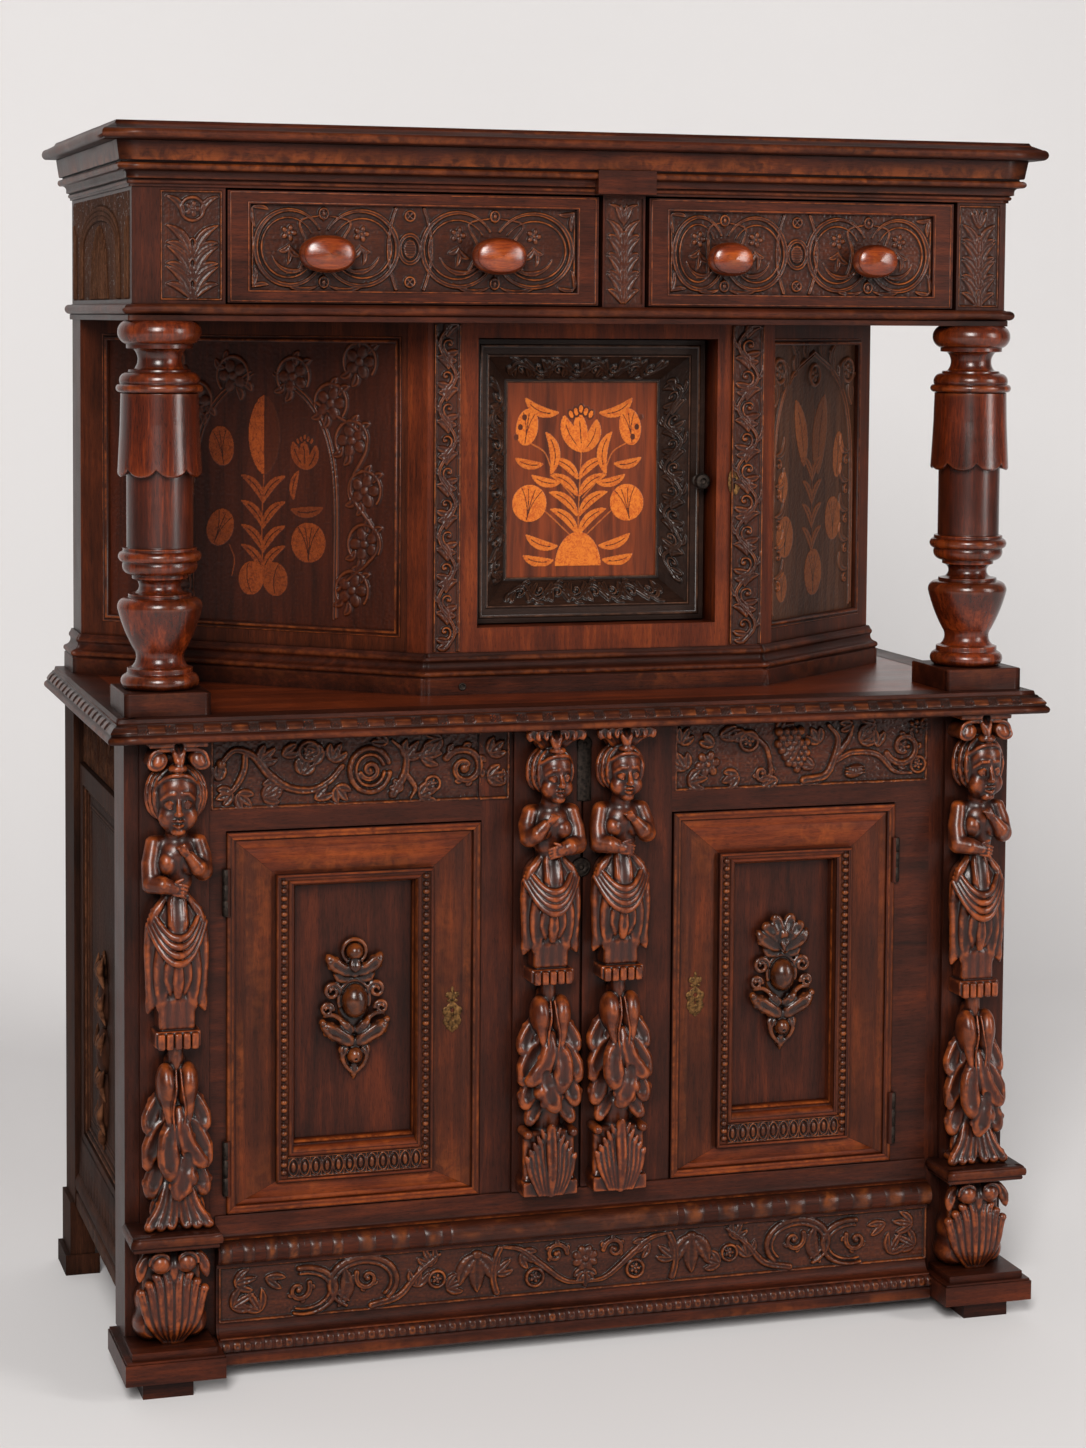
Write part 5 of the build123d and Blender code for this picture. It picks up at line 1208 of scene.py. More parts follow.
def build_frieze():
    """Standing plants on the canopy's stiles, arches filled with reeds on its sides."""
    (_, _, z0), (_, _, z1) = span("frieze_left")
    sink, low, high = 3.0, z0 + 4.0, z1 - 4.0
    left = Carving(81.0, high - low, 0.9, bold=1.3)
    rosette_ring(left, 42, high - low - 24, 15, 2.6)
    for side in (-1, 1):
        left.leaf((42 + side * 12, high - low - 34), (42 + side * 34, high - low - 8), 4.0, 2.8,
                  0.2 * side)
    standing_plant(left, 42, 2, high - low - 44, 3, 35, 3.2, bud=False)
    right = Carving(62.0, high - low, 0.9, bold=1.25)
    standing_plant(right, 31, 2, high - low - 26, 4, 26, 3.2)
    for stile in (left, right):
        border(stile, 1.4, 1.2, 2.4)
    (x0, _, z0), (x1, _, z1) = span("frieze_muntin")
    middle = Carving(x1 - x0 - 6.0, high - low, 0.9, bold=1.25)
    standing_plant(middle, (x1 - x0) / 2 - 3, 2, high - low - 28, 4, 23, 3.2)
    for side in (-1, 1):
        middle.leaf((27, high - low - 36), (27 + side * 20, high - low - 8), 3.0, 2.6, 0.25 * side)
    for name, carving, margin, seed in (("frieze_left", left, 37.0, 11),
                                        ("frieze_right", right, 3.0, 12),
                                        ("frieze_muntin", middle, 3.0, 13)):
        x, y, _ = span(name)[0]
        carving.ground(seed=seed).piece(name + "_carving", (x + margin, y + sink - 0.2, low), **FRONT,
                                        material="carved_z")
    depth, h = BACK - CANOPY_FRONT - 30.0, z1 - z0 - 10.0
    middle, half, top = depth / 2, depth * 0.34, h * 0.52
    for side, name in ((-1, "left"), (1, "right")):
        panel = Carving(depth, h, 1.3)
        for inset in (0.0, 11.0, 22.0):
            r, tall = half - inset, h * 0.37 - inset * 0.6
            panel.stroke(np.vstack([[(middle - r - 6, 4)], arc(middle, top, r, tall, 180, 0, 30),
                                    [(middle + r + 6, 4)]]), 3.4, 3.4, vein=0.3)
        for k in range(-5, 6):
            reed = bent((middle + k * 15.5, 4), (middle + k * 12.5, top + h * 0.20 - 1.3 * k * k),
                        0.01 * k)
            panel.stroke(reed, taper(12, 4.2, 3.8, 1.6), 3.2, vein=0.3)
        for x in (12.0, 24.0, 36.0):
            for edge in (x, depth - x):
                panel.stroke([(edge, 4), (edge, h * (0.80 - 0.004 * x))], 3.0, 2.6, vein=0.3)
        panel.ground(0.35, seed=20)
        axes, x = side_face(side, CANOPY_HALF + 0.2)
        start = CANOPY_FRONT + 14.0 + (depth if side < 0 else 0.0)
        panel.piece("canopy_side_carving_" + name, (x, start, z0 + 5), **axes, material="weathered")


# ---- Columns -----------------------------------------------------------------------------------
def build_columns():
    """Turned columns with scalloped sleeves on square plinths."""
    sleeve_hem, petal, lobes = 1194.0, 14.0, 8
    for name in ("column_left", "column_right"):
        (x0, y0, z0), (x1, y1, z1) = span(name)
        x, y = (x0 + x1) / 2, (y0 + y1) / 2
        foot = z0 + 30.0
        shaft = outline((0.0, foot), (44.0, foot), ((51.0, 926.0), (44.0, 937.0)), (42.7, 938.0),
                        (42.7, 944.0), (37.0, 946.0), ((31.0, 958.0), (34.0, 968.0)),
                        ((47.0, 996.0), (54.5, 1020.0)), ((52.5, 1032.0), (42.0, 1036.5)),
                        (41.0, 1037.0), (41.0, 1041.0), (35.0, 1042.0),
                        ((27.0, 1050.0), (33.0, 1060.0)), (36.0, 1061.0), (36.0, 1066.0),
                        ((46.5, 1071.0), (48.0, 1081.5)), (48.0, 1082.8),
                        ((54.0, 1090.0), (48.0, 1097.0)), (48.0, 1101.0), (43.0, 1102.0),
                        (43.0, 1303.0), (51.0, 1303.0), ((56.5, 1308.5), (51.0, 1314.0)),
                        (51.5, 1315.0), ((49.0, 1326.0), (40.5, 1329.5)), (40.0, 1332.4),
                        (33.0, 1333.5), ((28.3, 1347.0), (34.0, 1359.0)), (43.0, 1360.0),
                        (43.0, 1365.5), (45.0, 1366.0), ((54.3, 1381.0), (45.0, z1)), (0.0, z1))
        lathe(name + "_turning", x, y, shaft, "turned", slot="walnut_turned", stands_for=(name,))

        def scallop(radius, height, turn):
            """Cuts the hem into round lobes with sharp cusps between them."""
            s = ((turn * lobes / (2 * math.pi) + 0.31) % 1) * 2 - 1
            lift = petal * (1 - np.sqrt(np.clip(1 - s * s, 0, 1)))
            low = np.clip((sleeve_hem + 60.0 - height) / 60.0, 0, 1)
            crease = 0.9 * np.clip(np.abs(s) - 0.86, 0, 1) / 0.14 * low ** 2
            return radius - crease * (radius > 44.0), height + lift * low ** 2

        sleeve = outline((43.0, sleeve_hem + 3.0), (53.0, sleeve_hem), (54.5, sleeve_hem + 2.0),
                         (51.3, 1262.0), (50.3, 1302.0), (46.0, 1303.0))
        lathe(name + "_sleeve", x, y, finer(sleeve, 4.0), "turned", shape=scallop,
              slot="walnut_turned")
        moulding(name + "_plinth", [(x, y1), (x0, y1), (x0, y0), (x1, y0), (x1, y1), (x, y1)],
                 outline((-1.0, z0), (0.0, z0), (0.0, foot - 1.5), (-1.5, foot), (-45.0, foot)),
                 "case_x", seed=5)


# ---- Recessed cupboard -------------------------------------------------------------------------
# plan corners of the plinth, from the left end round to the return wall on the right
SPLAYS = {"left": ((-628.0, 228.0), (-200.0, -140.0)), "right": ((298.0, -140.0), (561.0, 81.0))}
PANEL_DEPTH = 22.0      # inlaid panels lie this far inside the plinth line
FRAME_DEPTH = 16.0      # and the frames round them this far


def splay_axes(side):
    """Start of a splayed wall, its direction and its outward normal, in plan."""
    a, b = (np.array([*p, 0.0]) for p in SPLAYS[side])
    along = (b - a) / np.linalg.norm(b - a)
    return a, along, np.array([along[1], -along[0], 0.0])


def splay_panel_reach(side):
    """Distances along the splay at which its CAD panel starts and ends, and its heights."""
    low, high = span("splay_panel_" + side)
    start, along, out = splay_axes(side)
    near = [x - start[0] + out[0] * depth for x, depth in
            ((low[0], PANEL_DEPTH if side == "left" else PANEL_DEPTH + 8.0),
             (high[0], PANEL_DEPTH + 8.0 if side == "left" else PANEL_DEPTH))]
    return near[0] / along[0], near[1] / along[0], low[2], high[2]


def inlay_leaf(c, a, b, width, bend, tint=0.9):
    """A leaf of light veneer with a dark cut midrib."""
    line = bent(a, b, bend)
    t = np.linspace(0, 1, len(line))
    c.stroke(line, width * np.sin(math.pi * np.clip(t * 0.94 + 0.04, 0, 1)) ** 0.7 + 0.3, 0.35,
             tint=tint, flat=True)
    return c.stroke(line[2:-2], 0.55, 0.35, tint=-0.55, flat=True)


def inlay_stem(c, points, tint=0.55):
    """A thin line of light veneer."""
    return c.stroke(through(points), 0.9, 0.3, tint=tint, flat=True)


def inlay_blossom(c, x, z, rx, rz, turn=0.0, tint=1.0, petals=3):
    """An oval blossom cut from burr veneer, with engraved petal lines."""
    c.dome(x, z, rx, rz, 0.35, turn, tint, flat=True)
    a = math.radians(turn)
    for k in range(petals):
        share = (k + 0.5) / petals * 2 - 1
        foot = (x + rz * 0.9 * math.sin(a), z - rz * 0.9 * math.cos(a))
        tip = (x + rx * share * math.cos(a) * 0.8 - rz * 0.75 * math.sin(a),
               z + rx * share * math.sin(a) * 0.8 + rz * 0.75 * math.cos(a))
        c.stroke(bent(foot, tip, 0.10 * share), 0.5, 0.35, tint=-0.5, flat=True)
    return c


def tulip(c, x, z, size, tint=1.0):
    """A tulip in side view: pointed cup, two outer lips and a crown of small lobes."""
    inlay_leaf(c, (x - size * 0.9, z + size * 0.75), (x + size * 0.15, z - size), size * 0.40, -0.10,
               tint)
    inlay_leaf(c, (x + size * 0.85, z + size * 0.55), (x + size * 0.10, z - size), size * 0.36, 0.12,
               tint * 0.85)
    inlay_leaf(c, (x - size * 0.1, z + size * 0.9), (x + size * 0.05, z - size * 0.9), size * 0.38,
               0.0, tint)
    for k in range(-2, 3):
        cx, cz = x + k * size * 0.27, z + size * (1.20 - 0.14 * abs(k))
        c.dome(cx, cz, size * 0.20, size * 0.30, 0.35, -12 * k, -0.65, flat=True)
        c.dome(cx, cz, size * 0.12, size * 0.20, 0.35, -12 * k, tint, flat=True)
    return c


def recess_door_inlay(width, height):
    """A pot with a tulip, blossoms and paired leaves."""
    c = Carving(width, height, 0.75)
    x = width * 0.48
    inlay_stem(c, [(x, 62), (x + 1, 110), (x + 4, 178)])
    for side in (-1, 1):
        # pairs that rise from the stem and turn out at the tips
        for foot, reach, rise in ((62, 40, 34), (88, 42, 32), (116, 40, 28), (140, 36, 26)):
            inlay_leaf(c, (x + side * 2, foot), (x + side * reach, foot + rise), 6.6, 0.13 * side)
        inlay_stem(c, [(x + side * 10, 58), (x + side * 38, 84), (x + side * 52, 96)])
        inlay_blossom(c, x + side * 72, 105, 25, 26, 10 * side, 1.0, 4)
        inlay_stem(c, [(x + side * 6, 112), (x + side * 36, 146), (x + side * 50, 176),
                       (x + side * 72, 190)])
        inlay_blossom(c, x + side * 76, 212, 16, 26, 8 * side, 0.95, 3)
        for k in (-1, 0, 1):
            c.dome(x + side * (76 + 15 * side * k * 0.4) + side * 10, 212 + k * 14, 3.6, 4.2, 0.35, 0,
                   -0.6, flat=True)
        for x0, z0, x1, z1, wide, bow, tint in (
                (40, 148, 48, 204, 7.4, 0.16, 0.9), (28, 134, 68, 144, 6.4, -0.12, 0.9),
                (54, 160, 92, 168, 6.4, -0.12, 0.8), (32, 44, 76, 60, 7.0, -0.12, 0.9),
                (38, 24, 80, 31, 7.0, -0.12, 0.9), (32, 232, 78, 252, 7.4, -0.16, 0.9)):
            inlay_leaf(c, (x + side * x0, z0), (x + side * x1, z1), wide, bow * side, tint)
    tulip(c, x + 3, 205, 27)
    # the pot is a half round of burr on a flat foot
    below = c.z < 16
    c.dome(x, 14, 34, 50, 0.35, 0, 1.0, flat=True)
    c.tint[below, :] = 0
    c.h[below, :] = 0
    return c


def splay_border(c, x, way, levels):
    """Carved rosettes in scrolled stems down one side of a splayed panel."""
    c.bold = 1.7
    stem = [(x + way * (offset + (22 if k % 2 else -22)), z)
            for k, (offset, z) in enumerate(levels[:5])]
    c.stroke(through(stem, 10), 1.7, 3.0)
    for k, (offset, z) in enumerate(levels):
        cx = x + way * offset
        curl = 1 if k % 2 else -1
        c.stroke(arc(cx, z, 25, 27, 90 - curl * 120, 90 + curl * 130, 26), taper(26, 0.8, 1.9, 1.2),
                 3.0)
        c.flower(cx, z, 24, 5, 4.4, 36 * k)
        for turn in (40, 75, 215, 250):
            a = math.radians(turn)
            c.leaf((cx + way * 18 * math.cos(a), z + 18 * math.sin(a)),
                   (cx + way * 36 * math.cos(a), z + 36 * math.sin(a)), 3.4, 3.0, 0.2)
    c.bold = 1.0
    return c


def splay_left_panel(width, height):
    """Carved border and spandrels round a marquetry spray."""
    c = Carving(width, height, 1.0)
    middle = width * 0.545
    for way, x in ((1, middle), (-1, middle)):
        splay_border(c, x, way, ((107, 310), (140, 259), (160, 190), (160, 116), (141, 51),
                                 (48, 346), (152, 368)))
        edge = [(x + way * 116, 12), (x + way * 117, 180), (x + way * 104, 262),
                (x + way * 72, 316), (x + way * 20, 352)]
        c.stroke(through(edge, 10), 1.5, 2.6)
        c.stroke(through([(px - way * 4.5, pz - 3) for px, pz in edge], 10), 0.9, 2.0)
    inlay_stem(c, [(middle, 66), (middle - 2, 140), (middle + 2, 222)])
    inlay_leaf(c, (middle + 2, 214), (middle + 2, 316), 25, 0.0, 0.06)
    # the tall leaf is one bright piece of veneer, with the tip of the stem let into it
    rows, columns, _, _ = c.window(middle - 40, middle + 2, 210, 320)
    spot = c.tint[rows, columns]
    c.tint[rows, columns] = np.where(spot > 0.03, 1.0, spot)
    for foot in (72, 100, 134, 170):
        for side in (-1, 1):
            inlay_leaf(c, (middle, foot), (middle + side * 34, foot + 36), 6.4, 0.13 * side, 0.62)
    for x, z, rx, rz, turn, tint, petals in ((-67, 247, 20, 28, 8, 0.75, 3),
                                             (-69, 132, 21, 27, -24, 0.70, 3),
                                             (72, 115, 27, 28, 0, 0.62, 4)):
        inlay_blossom(c, middle + x, z, rx, rz, turn, tint, petals)
    inlay_stem(c, [(middle - 50, 64), (middle - 46, 88), (middle - 54, 108)])
    inlay_leaf(c, (middle + 48, 176), (middle + 56, 214), 5.5, 0.1, 0.6)
    inlay_leaf(c, (middle + 46, 160), (middle + 94, 164), 7.5, -0.1, 0.35)
    tulip(c, middle + 66, 238, 20, 0.5)
    for side in (-1, 1):
        c.dome(middle + side * 19, 62, 20, 24, 0.35, 12 * side, 0.72 if side < 0 else 0.55, flat=True)
        c.stroke(bent((middle + side * 19, 42), (middle + side * 24, 82), 0.1), 0.5, 0.35, tint=-0.5,
                 flat=True)
    return c.ground(0.18, seed=31)


def splay_right_panel(width, height):
    """An arch with leafy spandrels over a darker marquetry spray."""
    c = Carving(width, height, 1.0, bold=1.5)
    middle = width * 0.50
    for way in (-1, 1):
        edge = [(middle + way * 122, 10), (middle + way * 121, 210), (middle + way * 106, 300),
                (middle + way * 66, 352), (middle, 384)]
        c.stroke(through(edge, 10), 1.5, 2.6)
        c.stroke(through([(x - way * 4.0, z - 3) for x, z in edge], 10), 0.9, 2.0)
        for k in range(4):
            x, z = middle + way * (118 - 30 * k), 306 + 22 * k
            c.leaf((x, z), (x + way * 12, z + 46), 5.0, 3.0, 0.25 * way, 2)
            c.leaf((x, z + 4), (x - way * 12, z + 34), 4.0, 2.8, -0.25 * way)
        rosette_ring(c, middle + way * 106, 356, 17, 3.0)
        for k in range(5):
            c.leaf((middle + way * 112, 60 + 44 * k), (middle + way * 88, 86 + 44 * k), 4.2, 2.4,
                   0.3 * way)
            c.scroll(middle + way * 104, 46 + 44 * k, 8, 90, 0.9 * way, 1.2, 2.4)
    rosette_ring(c, middle + 2, 350, 15, 2.8)
    c.bold = 1.0
    inlay_stem(c, [(middle + 4, 84), (middle, 180), (middle + 6, 300)], 0.45)
    inlay_leaf(c, (middle - 26, 222), (middle - 52, 312), 17, -0.05, 0.85)
    inlay_leaf(c, (middle + 18, 210), (middle + 36, 318), 21, 0.05, 0.45)
    for x, z, rx, rz, turn, tint, petals in (
            (80, 232, 15, 34, -6, 0.75, 3), (-90, 190, 15, 22, 0, 0.85, 3),
            (66, 138, 24, 32, 0, 0.65, 4), (-82, 118, 25, 30, 0, 0.72, 4),
            (6, 62, 26, 34, 0, 0.9, 4), (-90, 46, 16, 22, 0, 0.65, 3)):
        inlay_blossom(c, middle + x, z, rx, rz, turn, tint, petals)
    for foot in (94, 128, 162, 196):
        for side in (-1, 1):
            inlay_leaf(c, (middle, foot), (middle + side * 28, foot + 34), 5.8, 0.13 * side, 0.7)
    return c.ground(0.18, seed=32)


def build_recess_panels():
    """Inlaid panels of the splayed walls and the recess door."""
    for side, make, finish in (("left", splay_left_panel, "inlay_dull"),
                               ("right", splay_right_panel, "inlay_dark")):
        s0, s1, z0, z1 = splay_panel_reach(side)
        start, along, out = splay_axes(side)
        corner = start + along * s0 - out * (PANEL_DEPTH - 0.3) + (0, 0, z0)
        panel = make(s1 - s0, z1 - z0)
        panel.piece("splay_inlay_" + side, corner, along, (0, 0, 1), out, finish, slot="marquetry")
        # ovolo round the sunk panel
        for beyond, half, rise in ((3.2, 3.0, 3.4), (9.0, 1.2, 1.0)):
            bead_round("splay_ovolo_%s_%d" % (side, half * 10), (s0 - beyond, s1 + beyond),
                       (z0 - beyond, z1 + beyond), half, rise,
                       lambda s, lift, z: start + along * s + out * (lift - FRAME_DEPTH) + (0, 0, z),
                       "case_x", shade_and_rub=(-0.6, 0.5))
    low, high = span("recess_door_panel")
    inlay = recess_door_inlay(high[0] - low[0], high[2] - low[2])
    inlay.piece("recess_door_marquetry", (low[0], low[1] - 0.3, low[2]), **FRONT, material="inlay",
                body="recess_door", slot="marquetry")


def build_recess_front():
    """Vines beside the recess door, its sloping border, fittings and the plinth."""
    low, high = span("recess_frame")
    face = low[1]
    for name, x0, x1, seed in (("left", -187.0, -149.0, 41), ("right", 245.0, 293.0, 42)):
        height = high[2] - low[2] - 4.0
        strip = Carving(height, x1 - x0, 0.9, bold=1.7)
        width = x1 - x0
        vine(strip, 6, height - 6, width / 2, width * 0.30, 5, 3.2, 1.7, seed=seed)
        for inset, rise in ((1.4, 3.0), (3.8, 1.6)):
            strip.stroke([(1, inset), (height - 1, inset)], 0.7, rise)
            strip.stroke([(1, width - inset), (height - 1, width - inset)], 0.7, rise)
        strip.ground(seed=seed)
        strip.piece("recess_vine_" + name, (x0, face - 0.3, low[2] + 2.0), (0, 0, 1), (1, 0, 0),
                    (0, -1, 0), "carved_z")
    # carved ebonised border that slopes in to the inlaid panel, one board to a side
    (dx0, dy, dz0), (dx1, _, dz1) = span("recess_door_frame")
    band, border_run, sink = 20.0, 39.0, 36.0
    slant = math.hypot(border_run, sink)
    back = np.array([0.0, 1.0, 0.0])
    middle = np.array([(dx0 + dx1) / 2, dy, (dz0 + dz1) / 2])
    for k, (right, inwards) in enumerate((((1, 0, 0), (0, 0, 1)), ((0, 0, 1), (-1, 0, 0)),
                                          ((-1, 0, 0), (0, 0, -1)), ((0, 0, -1), (1, 0, 0)))):
        right, inwards = np.array(right, float), np.array(inwards, float)
        length = (dx1 - dx0 if k % 2 == 0 else dz1 - dz0) - 2 * band
        depth = (dz1 - dz0 if k % 2 == 0 else dx1 - dx0) / 2 - band
        side = Carving(length, slant, 0.9, bold=1.8)
        vine(side, 26, length - 26, slant / 2, slant * 0.24, 4, 3.2, 1.6, seed=50 + k)
        for inset in (1.8, slant - 1.8):
            side.stroke([(1, inset), (length - 1, inset)], 0.8, 2.2)
        side.ground(0.15, seed=50 + k)
        up = (inwards * border_run + back * sink) / slant
        out = (inwards * sink - back * border_run) / slant
        origin = middle - inwards * depth - right * length / 2 + out * 0.3

        def mitre(x, z, length=length):
            """Narrows each row so that the four sides meet on their diagonals."""
            inset = z * border_run / slant
            return inset + x * (length - 2 * inset) / length, z

        side.piece("recess_door_border_%d" % k, origin, right, up, out, "ebonised", warp=mitre,
                   body="recess_door", slot="ebonised")
    bead_round("recess_door_step", (dx0 + 13, dx1 - 9), (dz0 + 9, dz1 - 9), 2.6, 1.4,
               lambda x, lift, z: (x, dy - lift, z), "ebonised", body="recess_door", slot="ebonised")
    # ring knob, the peg hole's dark disc and the plinth moulding
    x, _, z = middle_of("recess_door_knob")
    knob = outline((8.0, 0.0), (8.0, 1.5), (4.2, 3.0), (3.2, 6.0), (3.2, 15.0),
                   ((11.5, 20.0), (9.0, 26.5)), (4.6, 27.0), ((3.6, 24.0), (0.05, 23.0)), fineness=0.7)
    fitting("recess_door_knob_ring", x, z, dy, knob, "iron", body="recess_door", slot="brass_aged",
            stands_for=("recess_door_knob",))
    (_, _, plinth), (_, _, sill) = span("recess_plinth")
    # the peg hole is a dark iron disc proud of the plinth: painted shade where the hole is
    hole = outline((0.05, 0.6), (3.2, 0.6), ((4.4, 1.4), (5.4, 0.2)), (5.4, -1.0), fineness=0.5)
    fitting("recess_plinth_peg_hole_shade", SPLAYS["left"][-1][0] + 52.0, plinth + 11.0,
            SPLAYS["left"][-1][1] - SKIN, hole, "iron", slot="iron")
    path = [(-628.0, 316.0), *SPLAYS["left"], *SPLAYS["right"], (561.0, 300.0)]
    rise = sill - plinth
    moulding("recess_plinth_moulding", path,
             outline((0, 0), (0, 22), (-2, 24), ((1.5, 28.5), (-2, 33)), ((-7.5, 37), (-8.5, 44)),
                     ((-6.5, 48), (-8.5, 52)), (-10.5, rise + 0.4), (-24.7, rise + 0.4),
                     at=(SKIN, plinth)), "case_x", seed=6)


# ---- Table board -------------------------------------------------------------------------------
def build_table():
    """Edge of the table board in three runs, its slope cut into bars."""
    (x0, y0, z0), (x1, y1, z1) = span("table_board")
    overhang, period, bar = 30.0, 36.0, 24.0
    rim = [(x0 + overhang, y1), (x0 + overhang, y0 + overhang), (x1 - overhang, y0 + overhang),
           (x1 - overhang, y1)]

    def bars(along, height):
        """Raised bars on the sloping face with stippled squares between them."""
        place = (along / period) % 1
        edge = np.clip(np.minimum(place, bar / period - place) * period / 1.6, 0, 1)
        across = np.clip(1 - ((height - z0 - 17.5) / 5.4) ** 4, 0, 1)
        stipple = np.sin(along * 1.9) * np.sin(height * 1.7 + along * 0.4)
        between = np.clip(np.minimum(place - bar / period, 1 - place) * period / 1.5, 0, 1)
        return across * (2.6 * edge + between * (0.5 + 0.9 * stipple)) - 0.6 * (across > 0)

    slope = outline((overhang - 4.5 + SKIN, z0 + 11.0), (overhang - 4.5 + SKIN, z0 + 13.0),
                    (overhang - 13.0 + SKIN, z1 - 5.5), fineness=1.0)
    moulding("table_edge_bars", rim, finer(slope, 1.1), "carved_x", seed=8, carve=bars, station=1.3)
    moulding("table_edge_lower", rim,
             outline((4.0, z0 - SKIN), (overhang - 4.0, z0 - SKIN),
                     ((overhang + SKIN, z0 + 5.0), (overhang - 3.0 + SKIN, z0 + 9.5)),
                     (overhang - 5.0 + SKIN, z0 + 11.0)), "case_x", seed=9)
    moulding("table_edge_upper", rim,
             outline((overhang - 13.0 + SKIN, z1 - 5.5), (overhang - 15.5 + SKIN, z1 - 5.0),
                     (overhang - 17.0 + SKIN, z1 + 0.3), (overhang - 60.0, z1 + 0.3)), "case_x",
             seed=10)


# ---- Term figures ------------------------------------------------------------------------------
def mirrored(points, side):
    """The same line of points on the left (-1) or right (1) of the middle."""
    return [(side * x, d, z) for x, d, z in points]


def stretched(k):
    """Places a point of the standard figure, drawn 552 mm tall, in one that is k times as tall."""
    return lambda x, d, z: (x, d, z * k)


def carve_head(b, k, turn):
    """Round head with a full face, small fringe and hair rolled back in bands over the ears."""
    c, sn, wide = math.cos(math.radians(turn)), math.sin(math.radians(turn)), k ** 0.5

    def at(x, d, z):
        x = x * wide
        return (c * x + sn * (d - 24), 24 + c * (d - 24) - sn * x, z * k)

    b.limb([at(0, 18, 436), at(0, 27, 466)], [15, 12], 4)
    b.oval(at(0, 26, 496), (23.5 * wide, 25, 28 * k), 2)
    b.oval(at(0, 33, 476), (19.5 * wide, 17.5, 20.5 * k), 5)
    b.oval(at(0, 41, 503), (16.5 * wide, 11, 14 * k), 5)
    for s in (-1, 1):
        b.oval(at(11.5 * s, 40, 474), (9.8, 9.0, 10.5 * k), 4)
        b.oval(at(9.4 * s, 57, 488.4), (7.0, 6.6, 5.2 * k), 3, cut=True)
        b.oval(at(9.2 * s, 46.4, 487.4), (5.8, 4.8, 3.9 * k), 0.8)
        b.limb([at(15.0 * s, 43.5, 487.0), at(9.4 * s, 51.8, 491.4), at(3.8 * s, 49, 487.8)],
               [0.9, 1.4, 0.8], 0.8)
        b.limb([at(14.4 * s, 43.5, 485.2), at(9.4 * s, 51.0, 483.2), at(4.0 * s, 48.6, 485.8)],
               [0.7, 1.0, 0.7], 0.8)
        b.limb([at(17.5 * s, 42, 492.0), at(11.0 * s, 50.2, 498.4), at(4.0 * s, 52.6, 498.6)],
               [1.0, 1.7, 1.5], 2)
        b.oval(at(3.3 * s, 53.6, 478.2), (2.6, 2.5, 2.2 * k), 1.2)
        # three bands of hair drawn back from the brow, past the ear to the nape
        for j, half in enumerate((3.6, 3.9, 3.8)):
            a = np.radians(np.linspace(72 - 5 * j, -60 + 6 * j, 12))
            band = [at(s * (1.0 + (22.0 + 3.7 * j) * math.cos(v)), 35 - 8.0 * j - 4 * abs(math.sin(v)),
                       494 + (29.5 + 0.8 * j) * math.sin(v)) for v in a]
            b.limb(band, half * np.interp(np.arange(12), (0, 3, 9, 11), (0.7, 1, 1, 0.55)), 0.8)
            b.limb([(x, d + half * 0.85, z) for x, d, z in band[1:-1]], 0.7, 0.5, cut=True)
        # smooth hairline high on the forehead
        b.limb(through([at(0.5 * s, 50, 516.5), at(7 * s, 48.6, 516.0), at(14 * s, 44, 513.0),
                        at(20 * s, 36, 506)], 4), 2.3, 1.8)
    b.oval(at(0, 40, 522), (11, 10, 5.5 * k), 1.2)
    b.limb([at(0, 49, 496), at(0, 53.2, 486), at(0, 56.4, 479.2)], [2.2, 2.9, 3.9], 2)
    b.limb([at(-7.2, 48, 471.4), at(-2.2, 53.4, 472.0), at(2.2, 53.4, 472.0), at(7.2, 48, 471.4)],
           [1.0, 1.8, 1.8, 1.0], 1.5)
    b.limb([at(-5.2, 49, 467.2), at(0, 53.0, 466.0), at(5.2, 49, 467.2)], [1.3, 2.4, 1.3], 1.5)
    b.limb([at(-8, 51, 470.2), at(0, 56, 469.2), at(8, 51, 470.2)], 0.8, 0.6, cut=True)
    b.oval(at(0, 44, 460), (8.5, 8, 6.5 * k), 3)


def carve_arms(b, k, way):
    """One hand laid on the breast, the other forearm across the waist; way mirrors the pose."""
    def at(x, d, z):
        return (way * x, d, z * k)

    for line, radii in (([at(-29, 20, 436), at(-34, 25, 414), at(-34, 31, 394)], [11.0, 12.0, 13.2]),
                        ([at(-34, 32, 393), at(-21, 43, 392), at(-5, 46, 388)], [13.2, 11.6, 7.8]),
                        ([at(29, 20, 436), at(34, 24, 420), at(33, 32, 405)], [11.0, 12.0, 13.0]),
                        ([at(33, 32, 405), at(25, 42, 410), at(14, 44, 423)], [13.0, 11.2, 7.2])):
        b.limb(line, radii, 2.0)
    for j in range(4):
        b.limb([at(-7, 48, 393 - j * 3.6), at(3, 51, 392.5 - j * 4.0), at(11 - j, 48.5, 390 - j * 4.2)],
               [2.9, 2.5, 1.9], 0.45)
        b.limb([at(15 - j * 3.3, 46, 421 + j * 1.6), at(10 - j * 3.6, 49, 430 + j * 1.0),
                at(6 - j * 3.4, 47, 437 - j)], [2.7, 2.3, 1.8], 0.45)
    b.limb([at(-4, 50, 396), at(4, 52, 399)], [2.5, 1.9], 0.45)
    for x, d, z, x2, z2 in ((-12, 47, 400, -13, 380), (22, 48, 421, 14, 411)):
        b.limb([at(x, d + 3, z), at((x + x2) / 2, d + 8.5, (z + z2) / 2), at(x2, d + 3, z2)], 1.0, 0.6,
               cut=True)


